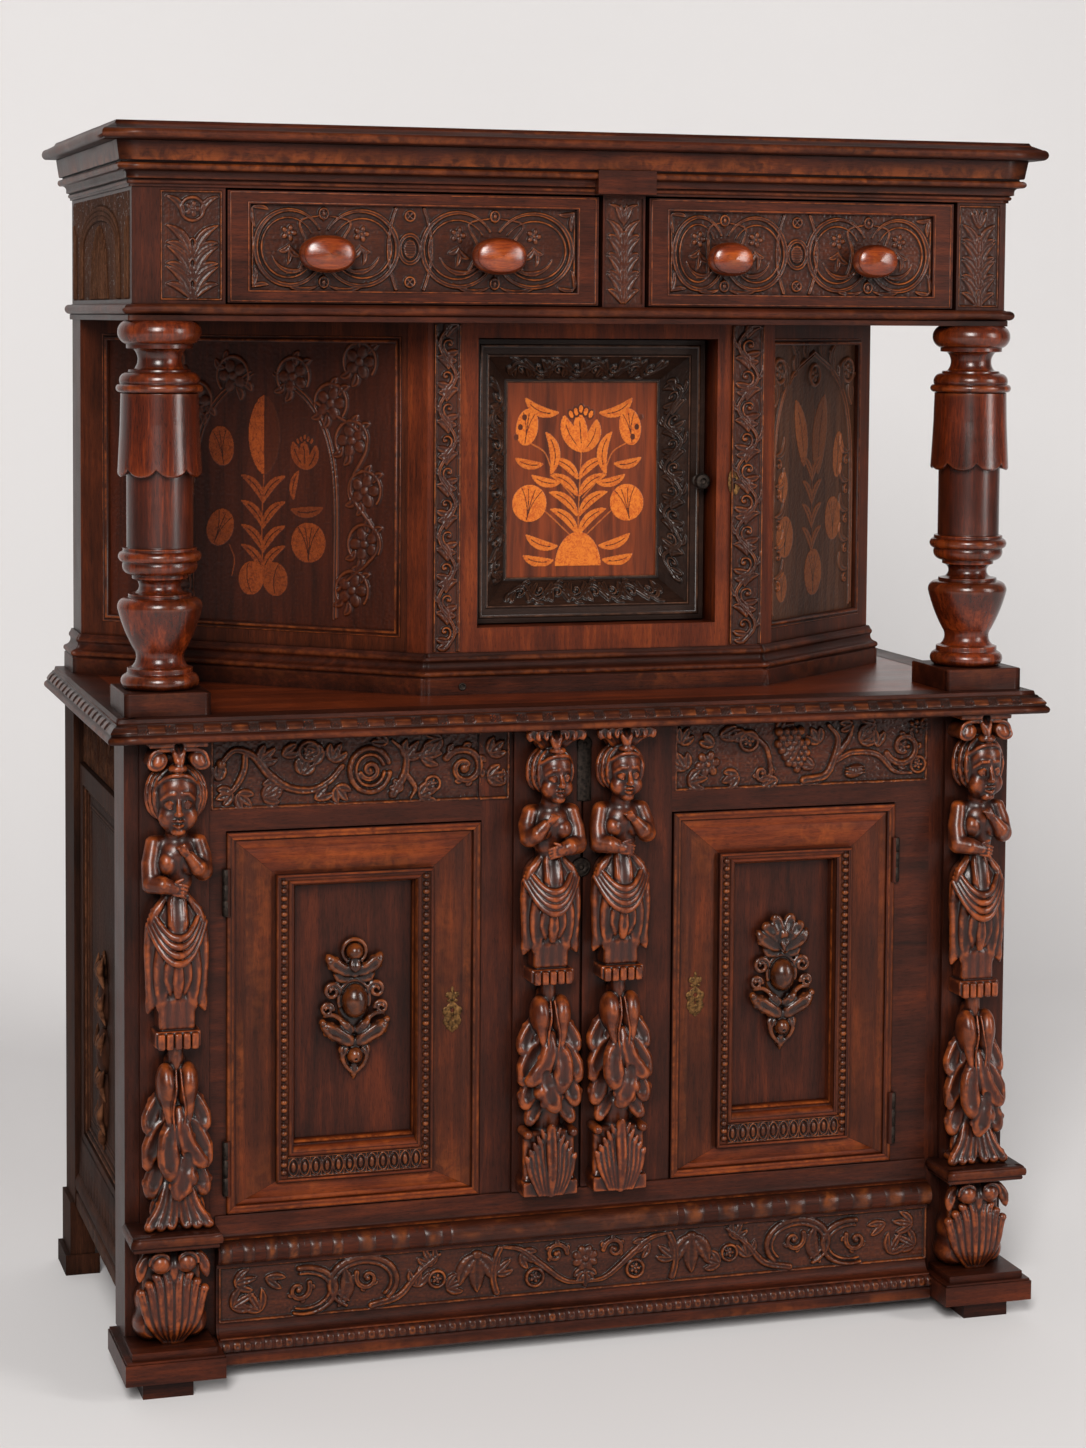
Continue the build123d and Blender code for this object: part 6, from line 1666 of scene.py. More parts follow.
def carve_drapery(b, k):
    """Bodice to a point, a swag hung from hip to hip and folded tails below."""
    at = stretched(k)

    b.limb([at(0, 6, 384), at(0, 8, 366), at(0, 9, 344), at(0, 9, 306), at(0, 8, 262), at(0, 6, 226)],
           [15, 20, 35, 36, 27, 25], 3, squash=0.80)
    b.tongue([at(0, 20, 384), at(0, 34, 354), at(0, 41, 312)], 14, 9, rim=2.6)
    for s in (-1, 1):
        # sash folded back over the hip in three rolls
        for j in range(3):
            b.limb(through(mirrored([at(11 + 3 * j, 22 - j, 380 - 3 * j), at(22 + 4 * j, 26, 364 - 3 * j),
                                     at(33 + 1.5 * j, 24, 346 - 9 * j)], s), 5),
                   np.linspace(3.0, 5.2, 11), 1.8)
        # tails: broad pleats with turned rims
        b.tongue(mirrored([at(34, 20, 342), at(32, 24, 304), at(30, 22, 268), at(37, 22, 246)], s),
                 11, 8, rim=2.2)
        b.tongue(mirrored([at(22, 30, 322), at(23, 30, 290), at(20, 26, 264), at(24, 26, 250)], s),
                 9.5, 7.5, rim=2.0)
        b.tongue(mirrored([at(11, 36, 306), at(12, 34, 288), at(9, 30, 266)], s), 7.5, 6.5, rim=1.8)
    b.tongue([at(0, 36, 304), at(0, 38, 286), at(0, 34, 258)], 8, 7, rim=2.0)
    t = np.linspace(-1, 1, 17)
    for j in range(4):
        foot, top, reach = 303 + 9.5 * j, 346 + 5 * j, 38 - 2.2 * j
        line = [at(reach * v, 47 - 0.6 * j - 22 * v * v, foot + (top - foot) * abs(v) ** 2.1)
                for v in t]
        b.limb(line, 5.2 - 2.2 * np.abs(t), 0.6)
    b.slab(at(-24, -2, 224), at(24, 31, 262), 6, soft=4)
    for j in (-1, 0, 1):
        b.limb([at(11 * j, 34, 262), at(13 * j, 34, 224)], 2.2, 3, cut=True)


def carve_stem(b, k, way):
    """Toothed ledge, paired lobes and overlapping leaves down to a slim foot."""
    at = stretched(k)

    def leaned(*points):
        """Points of the left figure, turned over for the right one."""
        return [(way * x, d, z * k) for x, d, z in points]

    b.slab(at(-30, -2, 207), at(30, 36, 225), 1.5)
    for x in (-22, -11, 0, 11, 22):
        b.slab(at(x - 4.6, 30, 205), at(x + 4.6, 42, 223), 2.0, soft=0.6)
    b.limb([at(0, 12, 212), at(0, 16, 182)], [11, 10], 2)
    b.limb([at(0, 6, 186), at(0, 8, 150), at(0, 10, 112), at(0, 12, 76), at(0, 10, 44), at(0, 8, -2)],
           [14, 24, 29, 31, 24, 18], 3, squash=0.9)
    for s in (-1, 1):
        # leaves that turn outwards behind the lobes, one below the other
        b.tongue(mirrored([at(12, 14, 156), at(26, 16, 140), at(35, 20, 122), at(38, 26, 110)], s), 12,
                 9, lobes=1)
        b.tongue(mirrored([at(10, 18, 124), at(24, 22, 108), at(34, 26, 86), at(39, 30, 70)], s), 15,
                 10, lobes=2)
        b.tongue(mirrored([at(8, 16, 86), at(22, 22, 72), at(32, 26, 50), at(35, 30, 38)], s), 14, 10,
                 lobes=2)
        b.tongue(mirrored([at(4, 18, 52), at(16, 22, 38), at(26, 26, 24), at(30, 30, 14)], s), 11, 8,
                 lobes=1)
    # one long leaf across the front, its tip curling out, and a hollow one beside it
    b.tongue(leaned((2, 34, 134), (6, 40, 112), (14, 40, 92), (27, 40, 78), (36, 40, 76)), 13, 10,
             lobes=1)
    b.tongue(leaned((-8, 34, 122), (-14, 40, 98), (-12, 42, 74), (-6, 42, 58)), 15, 11, lobes=0)
    b.tongue(leaned((10, 34, 84), (8, 40, 68), (2, 42, 48), (-6, 42, 34)), 15, 10, lobes=2)
    b.oval((way * 15, 38, 60 * k), (11, 11, 12 * k), 1.0, turn=24 * way)
    for s in (-1, 1):
        # a pair of smooth lobes whose tips run out to a point
        b.oval(at(13.5 * s, 25, 161), (14.5, 21, 27 * k), 0.8, turn=-4 * s)
        b.limb(through(mirrored([at(14, 34, 150), at(13, 38, 130), at(7, 42, 108)], s), 4),
               np.linspace(9, 2.2, 9), 1.6)
        b.limb(through(mirrored([at(3, 36, 182), at(4, 46, 160), at(8, 46, 136), at(5, 44, 108)], s),
                       4), 1.6, 1.2)


def carve_acanthus_foot(b, low, high, half):
    """A flared block of leafage: ribs fan out from the middle of its lower edge to the corners."""
    rise = high - low
    b.limb([(-half + 13, 8, low + 14), (half - 13, 8, low + 14)], 15, 2, squash=1.9)
    b.slab((-half, -2, low), (half, 34, low + rise * 0.20), 1.5)
    b.slab((-half + 2, -2, low), (half - 2, 26, low + rise * 0.88), 5.0, soft=5)
    for s in (-1, 1):
        for j in range(5):
            b.limb(through([(s * (2 + 3.6 * j), 36, low + 2),
                            (s * (3 + 6.2 * j), 39 - j, low + rise * 0.30),
                            (s * (6 + 6.4 * j), 32, low + rise * (0.72 - 0.06 * j)),
                            (s * (13 + 5.4 * j), 34, low + rise * (0.92 - 0.09 * j))], 6),
                   np.interp(np.arange(19), (0, 8, 14, 18), (2.0, 4.2, 4.6, 2.2)), 0.7)
        b.limb([(s * (half - 6), 4, low + rise * 0.86), (s * (half - 6), 32, low + rise * 0.86)], 6.5,
               1.5)
    b.tongue([(0, 34, low + 2), (0, 40, low + rise * 0.4), (0, 34, low + rise * 0.86),
              (0, 42, low + rise)], 8, 7, lobes=2)
    return b


def carve_leaf_foot(b, k, half):
    """A skirt of leaves that flares down and outwards onto the corbel."""
    b.limb([(0, 8, 58 * k), (0, 9, 30), (0, 9, 8)], [17, 22, 31], 3, squash=0.9)
    b.slab((-half + 4, -2, 0), (half - 4, 36, 8), 3.0, soft=4)
    for lean, wide in ((1.0, 9), (0.62, 9), (0.26, 8)):
        for s in (-1, 1):
            b.tongue([(s * 13 * lean, 24, 60 * k), (s * 18 * lean, 32, 40), (s * 27 * lean, 36, 20),
                      (s * 38 * lean, 40, 7), (s * (38 * lean + 2), 44, 9)], wide, 8, rim=1.8, lobes=2)


def carve_capital(b, k, half, leafy):
    """Under a small abacus: a pair of volutes, or leaves that flare outwards."""
    at = stretched(k)

    b.slab(at(-half, -2, 545), at(half, 46, 552), 1.2)
    b.limb([at(0, 8, 524), at(0, 12, 540), at(0, 14, 549)], [15, 24, 34], 2, squash=0.7)
    for s in (-1, 1):
        if leafy:
            for lean in (1.0, 0.66, 0.34):
                b.tongue(mirrored([at(12 * lean, 28, 526), at(20 * lean, 36, 538),
                                   at(34 * lean, 44, 545), at(37 * lean, 46, 537)], s), 8, 6, rim=1.6)
            continue
        # the scroll's band rolls outwards and back under itself
        turn = np.linspace(0, 4.2 * math.pi, 50)
        radius = 13.0 - 11.0 * turn / turn[-1]
        b.limb(mirrored([at(half - 13, -2, 531), at(half - 13, 36, 531)], s), 12.0, 1.0)
        b.limb([(s * (half - 13 + r * math.sin(a)), 42.0, 531 * k + r * math.cos(a))
                for a, r in zip(turn, radius)], np.linspace(2.6, 1.6, 50), 0.6)
        b.limb([at(0, 40, 543), (s * (half - 13), 42, 531 * k + 13)], [4.0, 2.6], 1.0)
    b.tongue([at(0, 30, 549), at(0, 42, 541), at(0, 46, 524)], 9, 7)


def build_figure(name, x, plane, foot, top, way, turn, head, pedestal=0.0):
    """One figure, drawn for a rise of 552 mm, then stretched to its own."""
    k = (top - foot) / 552.0
    pitch = bpy.context.scene.cupboard_carving.figure_pitch
    b = Block((-46, -2.5, -pedestal - 2), (46, 64, 552 * k + 1), pitch)
    carve_drapery(b, k)
    # trunk: narrow waist, ribs, shoulders and breasts
    b.limb([(0, 12, 374 * k), (0, 15, 394 * k), (0, 16, 422 * k)], [16, 22, 27], 3, squash=0.95)
    b.limb([(-25, 16, 435 * k), (25, 16, 435 * k)], 13.0, 4)
    for s in (-1, 1):
        b.oval((13.5 * s, 31, 414 * k), (12.5, 13, 14 * k), 2.5)
    carve_stem(b, k, way)
    carve_head(b, k, turn)
    carve_arms(b, k, way)
    carve_capital(b, k, 38, bool(pedestal))
    if pedestal:
        carve_acanthus_foot(b, -pedestal, 14.0, 38)
    else:
        carve_leaf_foot(b, k, 38)

    seat = on_front(x, plane, foot)

    def place(p):
        """Enlarges the head about its crown, so that the chin sits down on the breast."""
        z = p[:, 2] / k
        share = np.clip((z - 440) / 22, 0, 1) * np.clip((534 - z) / 12, 0, 1)
        size = 1 + (head - 1) * share * share * (3 - 2 * share)
        return seat(np.stack([p[:, 0] * size, 24 + (p[:, 1] - 24) * size,
                              (526 - (526 - z) * size) * k], -1))

    b.piece(name + "_carving", place, "figure", slot="oak_carved",
            stands_for=(name,))


def build_figures():
    """Outer figures stand on the corbels, inner ones on carved pedestals."""
    plane = span("front_post_left")[0][1]
    foot = span("corbel_left")[1][2]
    sill = span("base_front")[1][2]
    top = span("table_board")[0][2]
    for name, way, turn in (("figure_outer_left", 1, -4), ("figure_outer_right", 1, 6),
                            ("figure_inner_left", -1, 10), ("figure_inner_right", 1, 4)):
        x = middle_of(name)[0]
        if "inner" in name:
            build_figure(name, x, plane, sill + 88.0, top, way, turn, 1.05, 85.0)
        else:
            build_figure(name, x, plane, foot, top, way, turn, 1.13)


# ---- Corner bases ------------------------------------------------------------------------------
IMPOST_RISE = 20.0      # height of the shelf that carries the outer figures


def build_corbels():
    """Acanthus corbels under facing scrolls, with their moulded shelves."""
    plane = span("lower_frieze_left")[0][1]
    for name in ("corbel_left", "corbel_right"):
        low, high = span(name)
        x, z0, z1 = (low[0] + high[0]) / 2, low[2], high[2] - IMPOST_RISE
        rise = z1 - z0
        b = Block((-52, -2.5, z0 - 1), (52, 70, z1 + 1), bpy.context.scene.cupboard_carving.figure_pitch)
        # a bulging bell: wide at the foot, drawn in under the scrolls
        b.limb([(-26, 12, z0 + 22), (26, 12, z0 + 22)], 23, 4, squash=1.5)
        b.limb([(-22, 12, z0 + 52), (22, 12, z0 + 52)], 24, 8, squash=1.4)
        b.slab((-38, -2, z0 + rise * 0.45), (38, 34, z1), 6, soft=5)
        b.slab((-37, -2, z1 - 9), (37, 42, z1), 2)
        for s in (-1, 1):
            # broad lobes of one acanthus leaf, parted in the middle and turned out at the shoulders
            for j in range(4):
                b.limb(through([(s * (1 + 3.6 * j), 43 - j, z0 + 1),
                                (s * (4.5 + 8.2 * j), 49 - 2 * j, z0 + 27),
                                (s * (5.5 + 10.4 * j), 48 - 2.5 * j, z0 + rise * (0.56 - 0.05 * j)),
                                (s * (9 + 10.6 * j), 43 - j, z0 + rise * (0.73 - 0.07 * j)),
                                (s * (16 + 9.6 * j), 43, z0 + rise * (0.78 - 0.085 * j))], 5),
                       np.interp(np.arange(21), (0, 8, 16, 20), (3.0, 6.6, 6.2, 2.4)), 1.0)
                b.limb(through([(s * (1 + 3.6 * j), 47 - j, z0 + 4),
                                (s * (4.5 + 8.2 * j), 56 - 2 * j, z0 + 27),
                                (s * (5.5 + 10.4 * j), 55 - 2.5 * j, z0 + rise * (0.56 - 0.05 * j)),
                                (s * (9 + 10.6 * j), 49 - j, z0 + rise * (0.72 - 0.07 * j))], 5), 1.1, 0.8,
                       cut=True)
        for s in (-1, 1):
            # scrolls that face each other under the impost
            b.limb([(s * 17, -2, z1 - 22), (s * 17, 46, z1 - 22)], 14, 1.5)
            turn = np.linspace(0, 4.2 * math.pi, 46)
            radius = 15.0 - 12.0 * turn / turn[-1]
            b.limb([(s * (17 + r * math.cos(a)), 52.5, z1 - 22 + r * math.sin(a))
                    for a, r in zip(turn, radius)], np.linspace(2.4, 1.5, 46), 0.4)
            b.tongue([(s * 30, 38, z1 - 12), (s * 40, 42, z1 - 26), (s * 44, 46, z1 - 44)], 8, 7)
        b.tongue([(0, 30, z1 - 4), (0, 46, z1 - 20), (0, 50, z1 - 46)], 8, 7)
        b.piece(name + "_carving", on_front(x, plane), "figure", slot="oak_carved",
                stands_for=(name,))
        reach = -low[1] + plane - 3.0
        path = [(low[0] + 4, plane), (low[0] + 4, plane - reach), (high[0] - 4, plane - reach),
                (high[0] - 4, plane)]
        moulding(name + "_impost", path,
                 outline((-28, -0.2), (-1.5, -0.2), ((1.5, 3), (0.5, 6)), (4, 7), ((5, 12), (4, 17)),
                         (2.5, 18), (1.5, IMPOST_RISE), (-40, IMPOST_RISE), at=(0, z1)), "case_x",
                 seed=12)


# ---- Carved boards of the base -----------------------------------------------------------------
def rinceau(c, cx, cz, radius, start, turns, half, rise, leaflets=5, eye="berry"):
    """A leafy volute: tapering spiral stem with leaflets along its outer side."""
    line = spiral(cx, cz, radius, radius * 0.26, start, turns)
    c.stroke(line, np.linspace(half, half * 0.55, len(line)), rise, vein=0.25)
    way = 1 if turns > 0 else -1
    for k in range(leaflets):
        at = int(len(line) * (0.04 + 0.62 * k / leaflets))
        run = line[at + 1] - line[at]
        run = run / max(np.hypot(*run), 1e-6)
        out = np.array([run[1], -run[0]]) * way
        reach = radius * (0.50 - 0.04 * k)
        c.leaf(line[at] - out * half * 0.3, line[at] + out * reach * 0.62 + run * reach * 0.75,
               max(1.8, radius * 0.085), rise * 0.85, -0.22 * way)
    if eye == "berry":
        return c.dome(cx, cz, radius * 0.26, radius * 0.26, rise * 1.15)
    return c.flower(cx, cz, radius * 0.40, 5, rise)


def spray(c, x, z, angle, reach, leaves, width, rise):
    """A fan of pointed leaves from one foot."""
    for k in range(leaves):
        turn = math.radians(angle + 34 * (k - (leaves - 1) / 2))
        far = reach * (1 - 0.12 * abs(k - (leaves - 1) / 2))
        c.leaf((x, z), (x + far * math.cos(turn), z + far * math.sin(turn)), width, rise,
               0.10 * (k - (leaves - 1) / 2))
    return c


def frieze_left_pattern(width, height):
    """A waving branch, a rosette in a double ring and a volute at the right."""
    c = Carving(width, height, bold=1.85)
    m = height / 2
    c.stroke(through([(14, 62), (32, 78), (56, 70), (78, 44), (104, 26), (136, 22), (160, 34),
                      (176, 52)], 12), taper(85, 2.0, 3.4, 2.2), 4.2, vein=0.3)
    c.dome(14, 60, 7.5, 8, 4.6)
    c.stroke(through([(46, 74), (44, 50), (30, 26), (12, 20)], 8), taper(25, 2.6, 2.8, 1.2), 3.8,
             vein=0.3)
    for x, z, a, r, n in ((10, 40, 80, 20, 2), (28, 22, 200, 22, 3), (36, 20, -40, 24, 3),
                          (66, 62, 40, 26, 3), (92, 32, 215, 26, 3), (70, 14, 20, 26, 3),
                          (96, 70, 20, 24, 2), (150, 74, 200, 26, 3), (122, 44, 70, 24, 3),
                          (140, 10, 30, 26, 2), (162, 60, 60, 26, 3), (168, 24, -50, 24, 3)):
        spray(c, x, z, a, r, n, 3.4, 3.6)
    rosette_ring(c, 131, m + 26, 13, 3.4)
    for radius, half in ((27, 2.4), (19.5, 1.7)):
        c.stroke(arc(214, m - 2, radius, radius * 1.08, 20, 350, 40), half, 4.2)
    rinceau(c, 214, m - 2, 14, 200, 1.3, 2.4, 4.4, 0)
    c.stroke(through([(246, 12), (262, 40), (262, 66), (244, 84)], 8), taper(25, 3.6, 3.0, 1.0), 4.0,
             vein=0.3)
    c.stroke(through([(262, 40), (276, 20), (270, 6)], 8), taper(17, 2.8, 2.2, 1.0), 3.4)
    for x, z, a, r, n in ((238, 82, 160, 24, 2), (262, 60, 50, 28, 3), (258, 18, 150, 18, 2),
                          (282, 8, 20, 26, 3), (284, 60, 10, 30, 3), (312, 84, 200, 26, 3)):
        spray(c, x, z, a, r, n, 3.4, 3.6)
    rinceau(c, 344, m - 4, 29, 150, -1.3, 3.2, 4.4, 6)
    rosette_ring(c, 300, 24, 10, 3.0)
    spray(c, 376, 30, 10, 26, 3, 3.6, 3.6)
    spray(c, 378, 62, 40, 26, 3, 3.6, 3.6)
    spray(c, 398, 20, 110, 22, 2, 3.0, 3.2)
    return c


def frieze_right_pattern(width, height):
    """A flower, bunches of grapes, a split pod and a volute with a blossom."""
    c = Carving(width, height, bold=1.85)
    m = height / 2
    for x, z, a, r, n in ((8, 66, 60, 24, 3), (16, 30, 120, 26, 3), (20, 12, 10, 28, 3),
                          (56, 62, 150, 22, 2), (66, 74, 10, 28, 2), (92, 18, 200, 24, 3),
                          (104, 72, 170, 22, 2), (150, 78, 20, 26, 3), (150, 10, 190, 26, 2)):
        spray(c, x, z, a, r, n, 3.6, 3.8)
    c.flower(48, m - 12, 19, 6, 4.4, 10)
    rosette_ring(c, 108, m + 18, 13, 3.8)
    rinceau(c, 128, 20, 14, 30, -1.1, 2.2, 3.6, 3)
    c.stroke(through([(78, 70), (100, 78), (132, 58), (142, 24)], 8), taper(25, 1.6, 2.4, 2.0), 3.6)
    grapes(c, 168, m + 30, 7.0, 6.6)
    grapes(c, 180, m + 14, 6.0, 6.2)
    c.stroke(through([(190, 8), (222, 14), (236, 40), (240, 66), (226, 84)], 10),
             taper(41, 3.4, 3.2, 1.6), 4.6, vein=0.3)
    c.stroke(through([(236, 38), (256, 62), (262, 82)], 8), taper(17, 2.6, 2.6, 1.4), 4.0)
    c.stroke(through([(232, 30), (262, 44), (300, 40), (326, 16), (352, 12)], 10),
             taper(41, 2.4, 2.6, 1.2), 3.8, vein=0.3)
    c.dome(266, 18, 16, 10, 5.4, 14)
    for k in (-1, 0, 1):
        c.stroke(bent((252, 18 + 4 * k), (280, 20 + 4 * k), 0.05 * k), 0.6, 5.2)
    rinceau(c, 340, m + 2, 27, 200, 1.25, 3.0, 4.2, 6, eye="flower")
    for x, z, a, r, n in ((262, 84, 190, 20, 2), (274, 60, 30, 26, 3), (296, 84, 200, 24, 3),
                          (212, 60, 120, 24, 3), (204, 26, 150, 20, 2), (300, 52, 80, 24, 2),
                          (366, 78, 30, 16, 2)):
        spray(c, x, z, a, r, n, 3.4, 3.6)
    rosette_ring(c, 362, 24, 11, 3.4)
    c.flower(358, m + 30, 11, 5, 3.6)
    return c


def apron_pattern(width, height):
    """Two mirrored groups of scrolls that meet at a middle flower."""
    c = Carving(width, height, 1.0, bold=1.75)
    mid, m = width / 2, height / 2

    def scroll_group(way, shift):
        """From an end leaf through two facing C scrolls to the bell flower near the middle."""
        def x(v):
            return mid + way * (v + shift)

        for v, z, a, r, n in ((490, 20, 150, 34, 3), (486, 52, 170, 30, 3), (452, 12, 60, 34, 3),
                              (444, 56, 200, 28, 2), (238, 26, 100, 28, 3), (216, 54, 60, 26, 3),
                              (196, 20, 160, 26, 3), (128, 34, 140, 28, 3), (92, 58, 210, 26, 3)):
            angle = a if way > 0 else 180 - a
            spray(c, x(v), z, angle, r, n, 3.2, 3.2)
        for shrink, half, rise in ((0, 2.4, 4.0), (7, 1.5, 3.2)):
            c.stroke(arc(x(392), m - 4, 42 - shrink, 31 - shrink, 90 - way * 10, 90 + way * 200, 36),
                     taper(36, half, half * 1.3, half * 0.6), rise)
            c.stroke(arc(x(312), m + 1, 46 - shrink, 34 - shrink, 90 - way * 150, 90 + way * 130, 44),
                     taper(44, half * 0.7, half * 1.3, half), rise)
        c.stroke(through([(x(300), 6), (x(262), 16), (x(236), 44), (x(206), 68)], 10),
                 taper(31, 3.0, 3.0, 1.2), 4.0, vein=0.3)
        rinceau(c, x(400), m - 2, 17, 90 + way * 60, way * 1.0, 2.4, 3.8, 3)
        rinceau(c, x(306), m + 6, 17, 90 - way * 60, -way * 1.0, 2.4, 3.8, 3)
        c.leaf((x(345), 10), (x(338), 60), 6.0, 3.6, 0.15 * way, 2)
        # bell flower between two upright bars
        spray(c, x(154), 62, -90, 50, 3, 6.5, 4.0)
        c.dome(x(154), 62, 9, 7, 4.4)
        c.stroke(bent((x(126), 8), (x(122), 68), -0.12 * way), 3.0, 4.0, vein=0.3)
        c.stroke(through([(x(118), 70), (x(92), 64), (x(62), 40), (x(30), 16), (x(4), 12)], 10),
                 taper(41, 1.4, 3.0, 1.6), 3.8, vein=0.3)
        rosette_ring(c, x(72), 24, 12, 3.6)
        rosette_ring(c, x(210), 34, 11, 3.6)

    scroll_group(-1, 0)
    scroll_group(1, 0)
    c.flower(mid, m + 6, 19, 8, 4.6, 22)
    rinceau(c, mid - 42, m + 16, 16, 0, 1.1, 2.2, 3.6, 4)
    rinceau(c, mid + 42, m + 16, 16, 180, -1.1, 2.2, 3.6, 4)
    spray(c, mid, 26, -90, 22, 5, 3.0, 3.4)
    border(c, 1.2, 1.2, 2.6)
    return c


def build_lower_friezes():
    """The two carved boards over the lower doors."""
    for name, make, start, end, step in (("lower_frieze_left", frieze_left_pattern, 4.0, 38.0, 3.6),
                                         ("lower_frieze_right", frieze_right_pattern, 4.0, -4.0, 0.0)):
        low, high = span(name)
        z0, z1 = FRIEZE_FOOT, high[2] - 5.0
        x0, x1 = low[0] + start, high[0] + end
        carving = make(x1 - x0, z1 - z0)
        border(carving, 1.4, 1.3, 2.8)
        carving.ground(0.5, seed=60)
        if step:
            carving.h[:, carving.x > high[0] - x0 - 3.0] += step
        carving.piece(name + "_carving", (x0, low[1] + 3.8, z0), **FRONT, material="carved_x",
                      slot="oak_carved")


def build_base():
    """Sill, turned torus, carved apron and plank, from the top down."""
    low, high = span("base_front")
    front = span("lower_frieze_left")[0][1]
    top, x0, x1 = high[2], low[0] + 12.0, high[0]
    apron_foot, plank = top - 144.0, top - 154.0

    def turned_torus(along, height):
        """Bobbins and reels turned on the bead at the left, ovals and reels at the right."""
        x = along + x0
        across = np.clip(1 - ((height - (apron_foot + 98.0)) / 17.0) ** 2, 0, 1)
        bobbins = np.where(x < -330, 30.0, 46.0)
        place = ((x + 509.0) / bobbins) % 1
        left = (x < -192) * (5.0 * np.sqrt(np.clip(1 - ((place - 0.36) / 0.34) ** 2, 0, 1))
                             + 3.0 * np.sqrt(np.clip(1 - ((place - 0.86) / 0.11) ** 2, 0, 1)) - 4.4)
        place = ((x - 134.0) / 50.0) % 1
        right = (x > 132) * (5.4 * np.sqrt(np.clip(1 - ((place - 0.40) / 0.37) ** 2, 0, 1))
                             + 3.0 * np.sqrt(np.clip(1 - ((place - 0.90) / 0.08) ** 2, 0, 1)) - 4.6)
        return across ** 0.6 * (left + right)

    def small_ovals(along, height):
        """A running strip of small ovals along the plank's hollow."""
        across = np.clip(1 - ((height - (plank - 14.5)) / 8.6) ** 2, 0, 1)
        place = (along / 14.0) % 1
        ring = np.sqrt(np.clip(1 - ((place - 0.5) / 0.46) ** 2, 0, 1))
        eye = np.clip(1 - ((place - 0.5) / 0.2) ** 2, 0, 1) * np.clip(
            1 - ((height - (plank - 14.5)) / 3.0) ** 2, 0, 1)
        return (across > 0) * (3.6 * ring * np.sqrt(across) - 1.4 * eye - 1.6)

    path = [(x0, front), (x1, front)]
    moulding("base_sill", path,
             outline((-24.7, 0.3), (2, 0.3), (3, -1), (3, -6), ((4, -18), (6, -27)), (12, -30),
                     at=(SKIN, top), fineness=2.5), "case_x", seed=20)
    moulding("base_torus", path,
             outline((12, -30), ((29.5, -46), (14, -62)), at=(SKIN, top), fineness=1.3), "carved_x",
             seed=21, carve=turned_torus, station=2.2)
    apron = apron_pattern(x1 - x0, 76.0)
    apron.ground(0.35, seed=61).piece("base_apron_carving", (x0, front - 10.3, apron_foot + 2.5),
                                      **FRONT, material="carved_x", slot="oak_carved")
    moulding("base_cavetto", path,
             outline((10, 13), (10, 10), ((14, 0), (24, -4.5)), (25, -6), at=(SKIN, plank),
                     fineness=2.0), "case_x", seed=22)
    moulding("base_strip", path,
             outline((25, -6), ((30, -14), (28.5, -23)), at=(SKIN, plank), fineness=1.0), "carved_x",
             seed=23, carve=small_ovals, station=1.4)
    moulding("base_plank", path,
             outline((28.5, -23), (27.5, -24.5), (28.5, -26), (28.5, -38), (26, -40.3),
                     (-20.7, -40.3), at=(SKIN, plank), fineness=2.5), "case_x", seed=24)


# ---- Lower doors -------------------------------------------------------------------------------
def drawn_in(rect, sides, foot, head):
    """An upright rectangle (x0, x1, z0, z1) inside another."""
    return rect[0] + sides, rect[1] - sides, rect[2] + foot, rect[3] - head


def picture_frame(name, outer, inner, section, face, body):
    """Four mitred lengths between two upright rectangles (x0, x1, z0, z1).

    The section gives (share of the way inwards, rise above the face)."""
    gap = 0.22      # half the hairline between mitred pieces
    outer, inner = np.array(outer, float), np.array(inner, float)
    rng = np.random.default_rng(len(name))
    share = np.array([p[0] for p in section])
    rise = np.array([p[1] for p in section])
    rect = outer[None, :] + (inner - outer)[None, :] * share[:, None]
    x0, x1, z0, z1 = rect.T
    sides = {"rails": (((x0, z0), (x1, z0), (1, 0)), ((x1, z1), (x0, z1), (-1, 0))),
             "stiles": (((x0, z1), (x0, z0), (0, -1)), ((x1, z0), (x1, z1), (0, 1)))}
    # raised steps are rubbed, low ones get painted shade
    near = np.array([rise[np.abs(share - v) < 0.25].mean() for v in share])
    edge = np.clip((rise - near) * 0.16, -0.7, 0.5)
    for part, runs in sides.items():
        points, quads, wear_and_shading = [], [], []
        for (ax, az), (bx, bz), (ux, uz) in runs:
            long = max(abs(bx[0] - ax[0]), abs(bz[0] - az[0]))
            count = max(3, int(long / 22.0))
            t = np.linspace(0, 1, count)[None, :]
            px = (ax + ux * gap)[:, None] * (1 - t) + (bx - ux * gap)[:, None] * t
            pz = (az + uz * gap)[:, None] * (1 - t) + (bz - uz * gap)[:, None] * t
            wander = smooth_noise((len(share), count), 6, rng)
            lift = rise[:, None] + 0.18 * wander
            quads.append(grid_quads(len(share), count) + sum(len(p) for p in points))
            points.append(np.stack([px, face - lift, pz], -1).reshape(-1, 3))
            wear_and_shading.append((edge[:, None] + 0.2 * wander).ravel())
        mesh_piece(name + "_" + part, np.vstack(points), np.vstack(quads)[:, ::-1],
                   "door_x" if part == "rails" else "stile", body,
                   fields={"wear_and_shading": np.concatenate(wear_and_shading)})


